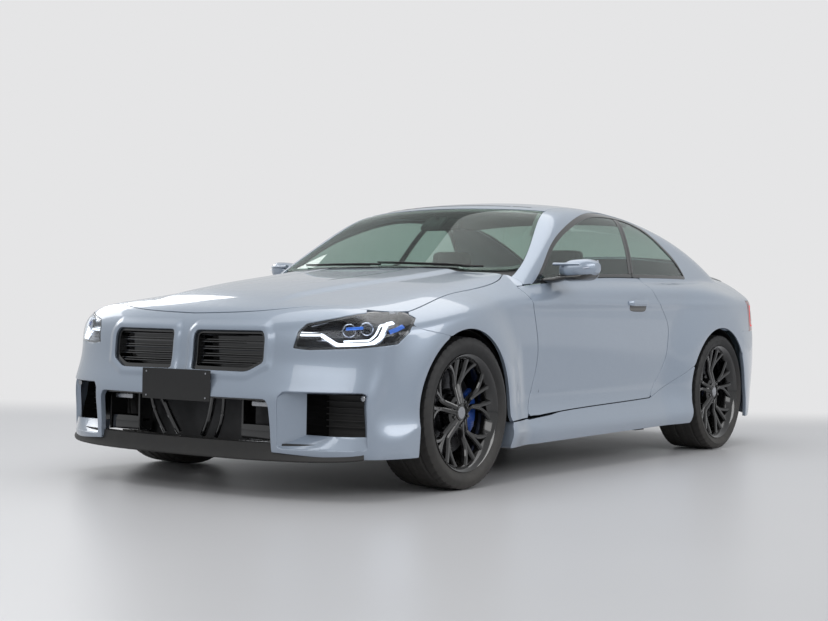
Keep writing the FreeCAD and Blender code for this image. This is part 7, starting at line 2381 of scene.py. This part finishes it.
        t = np.linspace(0, 2 * math.pi, 96, endpoint=False)[:, None]
        s = np.linspace(0, 2 * math.pi, 16, endpoint=False)[None, :]
        r = self.rim_radius + self.grip * np.cos(s)
        ring = grid(at(r * np.cos(t), r * np.sin(t), self.grip * np.sin(s) + 0 * t), True, True)
        make("steering_rim", *ring, "steering_wheel", LEATHER, hides=("steering_wheel",))
        q = np.array([(0.0, -0.030), (0.046, -0.030), (0.064, -0.018), (0.068, -0.004), (0.060, 0.006),
                      (0.036, 0.011), (0.0, 0.013)])
        rr, oo = q[None, :, 0], q[None, :, 1]
        squash = 1 - 0.18 * np.maximum(np.sin(t), 0)
        boss = grid(at(rr * np.cos(t) * 1.15, rr * np.sin(t) * squash, oo + 0 * t), True, False)
        make("steering_boss", *boss, "steering_wheel", CABIN)
        parts = []
        for angle in (4, 176, 270):
            a = math.radians(angle)
            run = np.linspace(0.050, self.rim_radius - 0.004, 12)
            path = at(run * math.cos(a), run * math.sin(a), -0.012 + 0.012 * ((run - 0.05) / 0.13))
            section = np.array([(0.016, 0), (0.012, 0.005), (-0.012, 0.005), (-0.016, 0), (-0.012, -0.005),
                                (0.012, -0.005)])
            side = -math.sin(a) * np.array([1.0, 0, 0]) + math.cos(a) * up
            parts.append(swept(path, section, side, way, 1 + 0.25 * np.abs(np.linspace(-1, 1, 12)) ** 3))
        make("steering_spokes", *join_parts(parts), "steering_wheel", BRIGHT)
        run = np.radians(np.linspace(86, 94, 9))
        path = at(self.rim_radius * np.cos(run), self.rim_radius * np.sin(run), 0 * run)
        radial = np.cos(run)[:, None] * [1.0, 0, 0] + np.sin(run)[:, None] * up
        round_ = np.stack([np.cos(s[0]), np.sin(s[0])], -1) * (self.grip + 0.0006)
        make("steering_mark", *swept(path, round_, radial, way), "steering_wheel", RED_ACCENT)

    @staticmethod
    def pad(path: Array, out: Array, half: float, thick: Array, bolster: float,
            seams: Sequence[float]) -> tuple[Array, Array]:
        """Returns a padded form: a superellipse section carried along a path whose width and depth
        close to nothing at both ends, raised in bolsters at its sides, with sewn channels pressed
        in across it and a seam along each bolster's foot.

        Args:
            path: The points along the pad's middle.
            out: The direction that its face looks to at each.
            half: Half its width.
            thick: Half its depth at each path point.
            bolster: How high its sides rise.
            seams: The shares of its run at which channels lie.
        """
        n = len(path)
        s = np.linspace(-1, 1, n)
        close = np.clip(1 - np.abs(s) ** 7, 0, 1) ** (1 / 7)
        t = np.linspace(0, 2 * math.pi, 56, endpoint=False)
        c = np.sign(np.cos(t)) * np.abs(np.cos(t)) ** (2 / 3.4)
        d = np.sign(np.sin(t)) * np.abs(np.sin(t)) ** (2 / 2.6)
        a = c[None, :] * close[:, None]
        face = np.maximum(d, 0)[None, :]
        rise = bolster * ease((np.abs(a) - 0.56) / 0.34) * face
        press = np.zeros((n, 56))
        for at in seams:
            press += np.exp(-(((s[:, None] + 1) / 2 - at) / 0.012) ** 2) * (np.abs(a) < 0.60)
        press += 1.1 * np.exp(-((np.abs(a) - 0.60) / 0.022) ** 2)
        crown = 0.010 * (1 - a**2) * face
        depth = d[None, :] * (thick * close**0.8)[:, None] + rise * close[:,
            None] + crown - 0.0045 * press * face * (close[:, None] > 0.5)
        over = np.broadcast_to(out, (n, 3))
        points = path[:, None] + (a * half)[..., None] * [1.0, 0, 0] + depth[..., None] * over[:, None]
        points[0] = points[0].mean(0)
        points[-1] = points[-1].mean(0)
        return grid(points, closed_v=True)

    def soft(self, name: str, part: tuple[Array, Array], fill: float, hides: Sequence[str] = ()) -> None:
        obj = make(name, part[0], part[1], "shell", LEATHER, hides=hides, angle=None)

    def front_seats(self) -> None:
        """Builds both front seats: a cushion, a back, a headrest on posts and a shell each."""
        for x, tag in ((self.seat_x, "left"), (-self.seat_x, "right")):
            shift = np.array([x, 0, 0])
            run = bend([(0, -0.238, 0.400), (0, -0.10, 0.425), (0, 0.06, 0.408), (0, 0.215, 0.385)], 56)
            way = unit(np.gradient(run, axis=0))
            out = np.cross([1.0, 0, 0], way)
            thick = np.full(56, 0.058)
            self.soft("seat_cushion_" + tag,
                      self.pad(run + shift, out, self.seat_half, thick, 0.038, (0.25, 0.45, 0.65)), 0.8,
                      ("front_seats",) if tag == "left" else ())
            run = bend([(0, 0.235, 0.395), (0, 0.262, 0.52), (0, 0.318, 0.72), (0, 0.372, 0.905),
                        (0, 0.385, 0.965)], 64)
            way = unit(np.gradient(run, axis=0))
            out = np.cross(way, [-1.0, 0, 0])
            thick = np.interp(np.linspace(0, 1, 64), (0, 0.3, 0.8, 1), (0.058, 0.052, 0.042, 0.034))
            width = self.seat_half
            self.soft("seat_back_" + tag,
                      self.pad(run + shift, out, width, thick, 0.040, (0.28, 0.42, 0.56, 0.70)), 0.8)
            run = bend([(0, 0.372, 0.995), (0, 0.378, 1.06), (0, 0.386, 1.142)], 40)
            way = unit(np.gradient(run, axis=0))
            out = np.cross(way, [-1.0, 0, 0])
            self.soft("seat_headrest_" + tag,
                      self.pad(run + shift, out, 0.130, np.full(40, 0.036), 0.006, ()), 0.85)
            parts = []
            for dx in (-0.055, 0.055):
                parts.append(tube(bend([(x + dx, 0.382, 0.94), (x + dx, 0.380, 0.99),
                                        (x + dx, 0.380, 1.03)], 8), 0.0065, 10))
            for dx in (-0.165, 0.165):
                parts.append(tube(bend([(x + dx, -0.17, 0.200), (x + dx, 0.0, 0.198),
                                        (x + dx, 0.225, 0.200)], 8), 0.014, 8))
            make("seat_rails_" + tag, *join_parts(parts), "shell", DARK_METAL)
            base = block((x - 0.180, -0.175, 0.215), (x + 0.180, 0.215, 0.345), 0.045, 7)
            sides = [block((x + d - 0.012, -0.16, 0.235), (x + d + 0.012, 0.285, 0.385), 0.011,
                           3) for d in (-0.192, 0.192)]
            make("seat_base_" + tag, *join_parts([base, *sides]), "shell", PLASTIC)

    def rear_bench(self) -> None:
        """Builds the rear seats: two cushions and two backs."""
        hides = ("rear_seat",)
        for x, tag in ((0.285, "left"), (-0.285, "right")):
            shift = np.array([x, 0, 0])
            run = bend([(0, 0.615, 0.520), (0, 0.76, 0.512), (0, 0.905, 0.490)], 44)
            way = unit(np.gradient(run, axis=0))
            self.soft("bench_cushion_" + tag,
                      self.pad(run + shift, np.cross([1.0, 0, 0], way), 0.262, np.full(44, 0.042), 0.016,
                               (0.35, 0.6)), 0.8, hides)
            hides = ()
            run = bend([(0, 0.930, 0.500), (0, 0.968, 0.68), (0, 1.018, 0.930)], 48)
            way = unit(np.gradient(run, axis=0))
            self.soft("bench_back_" + tag,
                      self.pad(run + shift, np.cross(way, [-1.0, 0, 0]), 0.262, np.full(48, 0.044), 0.016,
                               (0.35, 0.6)), 0.8)

    def lining(self) -> None:
        """Builds the roof lining, the mirror on the windscreen and the sensor housing behind it."""
        sheet = Panel(downward(SCREEN_TOP, BACK_TOP, UPPER_EDGE, -0.012), lambda p: whole(p) + 0.026,
                      (50, 56), None, 0.004)
        panel("roof_lining", [sheet], Side.LEFT, "shell", CABIN)
        mirror = block((-0.115, -0.300, 1.222), (0.115, -0.262, 1.288), 0.017, 5)
        stalk = tube(bend([(0, -0.290, 1.262), (0, -0.320, 1.285), (0, -0.345, 1.300)], 8), 0.009, 10)
        housing = block((-0.060, -0.400, 1.242), (0.060, -0.300, 1.272), 0.012, 4)
        tilt = np.array([0.0, 0.0, 1.0])
        shifted = housing[0] + ((housing[0][:, 1] + 0.35) * 0.60)[:, None] * tilt
        p, f = join_parts([mirror, stalk, (shifted, housing[1])])
        make("cabin_mirror", p, f, "shell", PLASTIC)
        make("cabin_mirror_glass", *block((-0.108, -0.2625, 1.228), (0.108, -0.2605, 1.282), 0.001, 2),
             "shell", LAMP_CHROME)

    def mats(self) -> None:
        """Builds the floor mats: thin sheets that roll at their edges."""
        parts = []
        for x, y0, y1 in ((0.37, -0.66, -0.27), (-0.37, -0.66, -0.27), (0.36, 0.46, 0.585),
                          (-0.36, 0.46, 0.585)):
            u = np.linspace(-1, 1, 17)[:, None]
            v = np.linspace(0, 1, 21)[None, :]
            edge = 0.004 * np.maximum(np.abs(u), np.abs(2 * v - 1)) ** 12
            face = np.stack(np.broadcast_arrays(x + 0.19 * u, y0 + (y1 - y0) * v, 0.1885 + edge), -1)
            p, f = grid(face)
            q, g = grid(face * [1, 1, 0] + [0, 0, 0.1825])
            rim = Bodyshell.rim(17, 21, len(p))
            parts.append((np.concatenate([p, q]), np.concatenate([f, g[:, ::-1] + len(p), rim])))
        make("floor_mats", *join_parts(parts), "shell", CARPET_MAT)


# Stage


@dataclass
class Stage:
    """The pale studio: floor, background, lights and camera.

    Attributes:
        floor_tone: The floor's colour near the car.
        back_tone: The background's colour.
        ambient: How bright the background is to the object.
        fade: How far behind the car's middle, as the camera looks, the floor starts and ends to turn
            into the background, in metres.
        eye: The camera's place.
        yaw: The camera's turn about the upright, in degrees.
        pitch: How far it looks up, in degrees.
        roll: How far it leans, in degrees.
        lens: Its focal length, in millimetres on a frame of sensor.
        sensor: The frame's width in millimetres.
        floor_half: Half the floor's side, in metres.
        floor_rough: The floor's roughness.
        floor_shine: The floor's specular level.
        sky_tint: The colour of the light from all round.
        far_clip: How far the camera sees, in metres.
    """

    floor_tone: tuple[int, int, int] = (192, 192, 194)
    back_tone: tuple[int, int, int] = (229, 229, 230)
    ambient: float = 0.62
    fade: tuple[float, float] = (2.2, 4.4)
    eye: tuple[float, float, float] = (4.352, -6.711, 0.755)
    yaw: float = -35.14
    pitch: float = 0.26
    roll: float = 0.94
    lens: float = 62.4
    sensor: float = 36.0
    floor_half: float = 60.0
    floor_rough: float = 0.34
    floor_shine: float = 0.35
    sky_tint: tuple[float, float, float, float] = (0.96, 0.98, 1.0, 1.0)
    far_clip: float = 200.0

    def build(self) -> None:
        """Builds the stage."""
        self.floor()
        self.world()
        self.lights()
        self.camera()

    def floor(self) -> None:
        """Builds the floor: a wide plane, pale near the car and like the background far off."""
        mesh = bpy.data.meshes.new("studio_floor")
        span = self.floor_half
        mesh.from_pydata([(-span, -span, 0), (span, -span, 0), (span, span, 0), (-span, span, 0)], [],
                         [(0, 1, 2, 3)])
        obj = bpy.data.objects.new("studio_floor", mesh)
        bpy.context.collection.objects.link(obj)
        mat = bpy.data.materials.new("studio_floor")
        mat.use_nodes = True
        s = NodeSheet(mat.node_tree)
        shader = mat.node_tree.nodes["Principled BSDF"]
        place = s.add("ShaderNodeTexCoord").outputs["Object"]
        cloud = s.add("ShaderNodeTexNoise", {"Vector": place, "Scale": 1.7, "Detail": 4.0}).outputs[0]
        near = linear(*self.floor_tone)
        tone = s.add("ShaderNodeMix", {0: cloud, 6: near, 7: tuple(c * 0.975 for c in near[:3]) + (1.0,)},
                     data_type="RGBA").outputs[2]
        mat.node_tree.links.new(tone, shader.inputs["Base Color"])
        shader.inputs["Roughness"].default_value = self.floor_rough
        shader.inputs["Specular IOR Level"].default_value = self.floor_shine
        yaw = math.radians(self.yaw)
        length = s.add("ShaderNodeVectorMath", {0: place, 1: (math.sin(yaw), math.cos(yaw), 0.0)},
                       operation="DOT_PRODUCT").outputs["Value"]
        far = s.add("ShaderNodeMapRange", {0: length, 1: self.fade[0], 2: self.fade[1], 3: 0.0, 4: 1.0},
                    interpolation_type="SMOOTHSTEP").outputs[0]
        glow = s.add("ShaderNodeEmission", {0: linear(*self.back_tone), 1: 1.0}).outputs[0]
        either = s.add("ShaderNodeMixShader", {0: far, 1: shader.outputs[0], 2: glow}).outputs[0]
        mat.node_tree.links.new(either, mat.node_tree.nodes["Material Output"].inputs[0])
        mesh.materials.append(mat)

    def world(self) -> None:
        """Sets the background: one colour where it is seen, and a softer light on the object."""
        world = bpy.data.worlds.new("studio")
        bpy.context.scene.world = world
        world.use_nodes = True
        s = NodeSheet(world.node_tree)
        path = s.add("ShaderNodeLightPath")
        seen = s.math("MAXIMUM", path.outputs["Is Camera Ray"], path.outputs["Is Transmission Ray"])
        shown = s.add("ShaderNodeBackground", {0: linear(*self.back_tone), 1: 1.0}).outputs[0]
        light = s.add("ShaderNodeBackground", {0: self.sky_tint, 1: self.ambient}).outputs[0]
        both_ = s.add("ShaderNodeMixShader", {0: seen, 1: light, 2: shown}).outputs[0]
        world.node_tree.links.new(both_, world.node_tree.nodes["World Output"].inputs[0])

    def lights(self) -> None:
        """Places the soft boxes: one overhead, one before the nose and one at each side."""
        for name, place, aim, size, power in (
            ("top_box", (0.0, -0.3, 4.6), (0.0, -0.2, 0.0), (4.2, 7.5), 135.0),
            ("front_box", (2.6, -9.0, 4.4), (0.2, -1.6, 0.5), (8.0, 2.6), 150.0),
            ("side_box", (7.5, 1.0, 3.6), (0.6, 0.2, 0.6), (7.0, 2.4), 190.0),
            ("far_box", (-6.0, 0.5, 3.6), (-0.6, 0.3, 0.7), (5.0, 2.0), 90.0),
        ):
            data = bpy.data.lights.new(name, "AREA")
            data.shape = "RECTANGLE"
            data.size, data.size_y = size
            data.energy = power
            obj = bpy.data.objects.new(name, data)
            obj.location = place
            way = Vector(aim) - Vector(place)
            obj.rotation_euler = way.to_track_quat("-Z", "Y").to_euler()
            bpy.context.collection.objects.link(obj)

    def camera(self) -> None:
        """Places the camera from its turn, pitch and roll."""
        data = bpy.data.cameras.new("camera")
        data.sensor_width = self.sensor
        data.sensor_fit = "HORIZONTAL"
        data.lens = self.lens
        data.clip_end = self.far_clip
        obj = bpy.data.objects.new("camera", data)
        yaw, pitch, roll = (math.radians(a) for a in (self.yaw, self.pitch, self.roll))
        ahead = np.array([math.sin(yaw) * math.cos(pitch), math.cos(yaw) * math.cos(pitch), math.sin(pitch)])
        right = unit(np.cross(ahead, [0.0, 0.0, 1.0]))
        up = np.cross(right, ahead)
        r2 = right * math.cos(roll) + up * math.sin(roll)
        u2 = up * math.cos(roll) - right * math.sin(roll)
        turn = Matrix(np.stack([r2, u2, -ahead], -1).tolist()).to_4x4()
        turn.translation = Vector(self.eye)
        obj.matrix_world = turn
        bpy.context.collection.objects.link(obj)
        bpy.context.scene.camera = obj


def coat_frame() -> None:
    """Gives a finish to each node that shows as it came with the frame."""
    for name, finish in (
        ("floor_pan", CARPET_MAT), ("bulkhead", DARK_METAL), ("engine", DARK_METAL),
        ("driveline", DARK_METAL),
        ("front_subframe", DARK_METAL), ("rear_subframe", DARK_METAL), ("knuckle_left", DARK_METAL),
        ("knuckle_right", DARK_METAL), ("exhaust", STEEL),
    ):
        finish.coat_node(frame["nodes"][name])


def wheels() -> list[Wheel]:
    """Returns the four wheels."""
    front = dict(radius=0.3373, wide=0.272, rim=0.255)
    rear = dict(radius=0.3393, wide=0.282, rim=0.268)
    return [
        Wheel((0.800, FRONT_AXLE, FRONT_HUB), tag="front_left", out=Side.LEFT, **front),
        Wheel((-0.800, FRONT_AXLE, FRONT_HUB), tag="front_right", out=Side.RIGHT, **front),
        Wheel((0.795, REAR_AXLE, REAR_HUB), tag="rear_left", out=Side.LEFT, **rear),
        Wheel((-0.795, REAR_AXLE, REAR_HUB), tag="rear_right", out=Side.RIGHT, **rear),
    ]


def main() -> None:
    """Builds every assembly in order and reports each piece."""
    bpy.context.scene.view_settings.view_transform = "Standard"
    logging.basicConfig(level=logging.INFO, format="%(message)s")
    coat_frame()
    for part in (Bodyshell(), Glazing(), *wheels(), FrontEnd(), Details(), CabinTrim(), Stage()):
        known = set(bpy.data.objects)
        begun = time.time()
        part.build()
        for obj in (o for o in bpy.data.objects if o not in known and o.type == "MESH"):
            LOG.info("%s: %s, %d faces", type(part).__name__, obj.name, len(obj.data.polygons))
        LOG.info("%s took %.1f s", type(part).__name__, time.time() - begun)


if __name__ == "__main__":
    main()
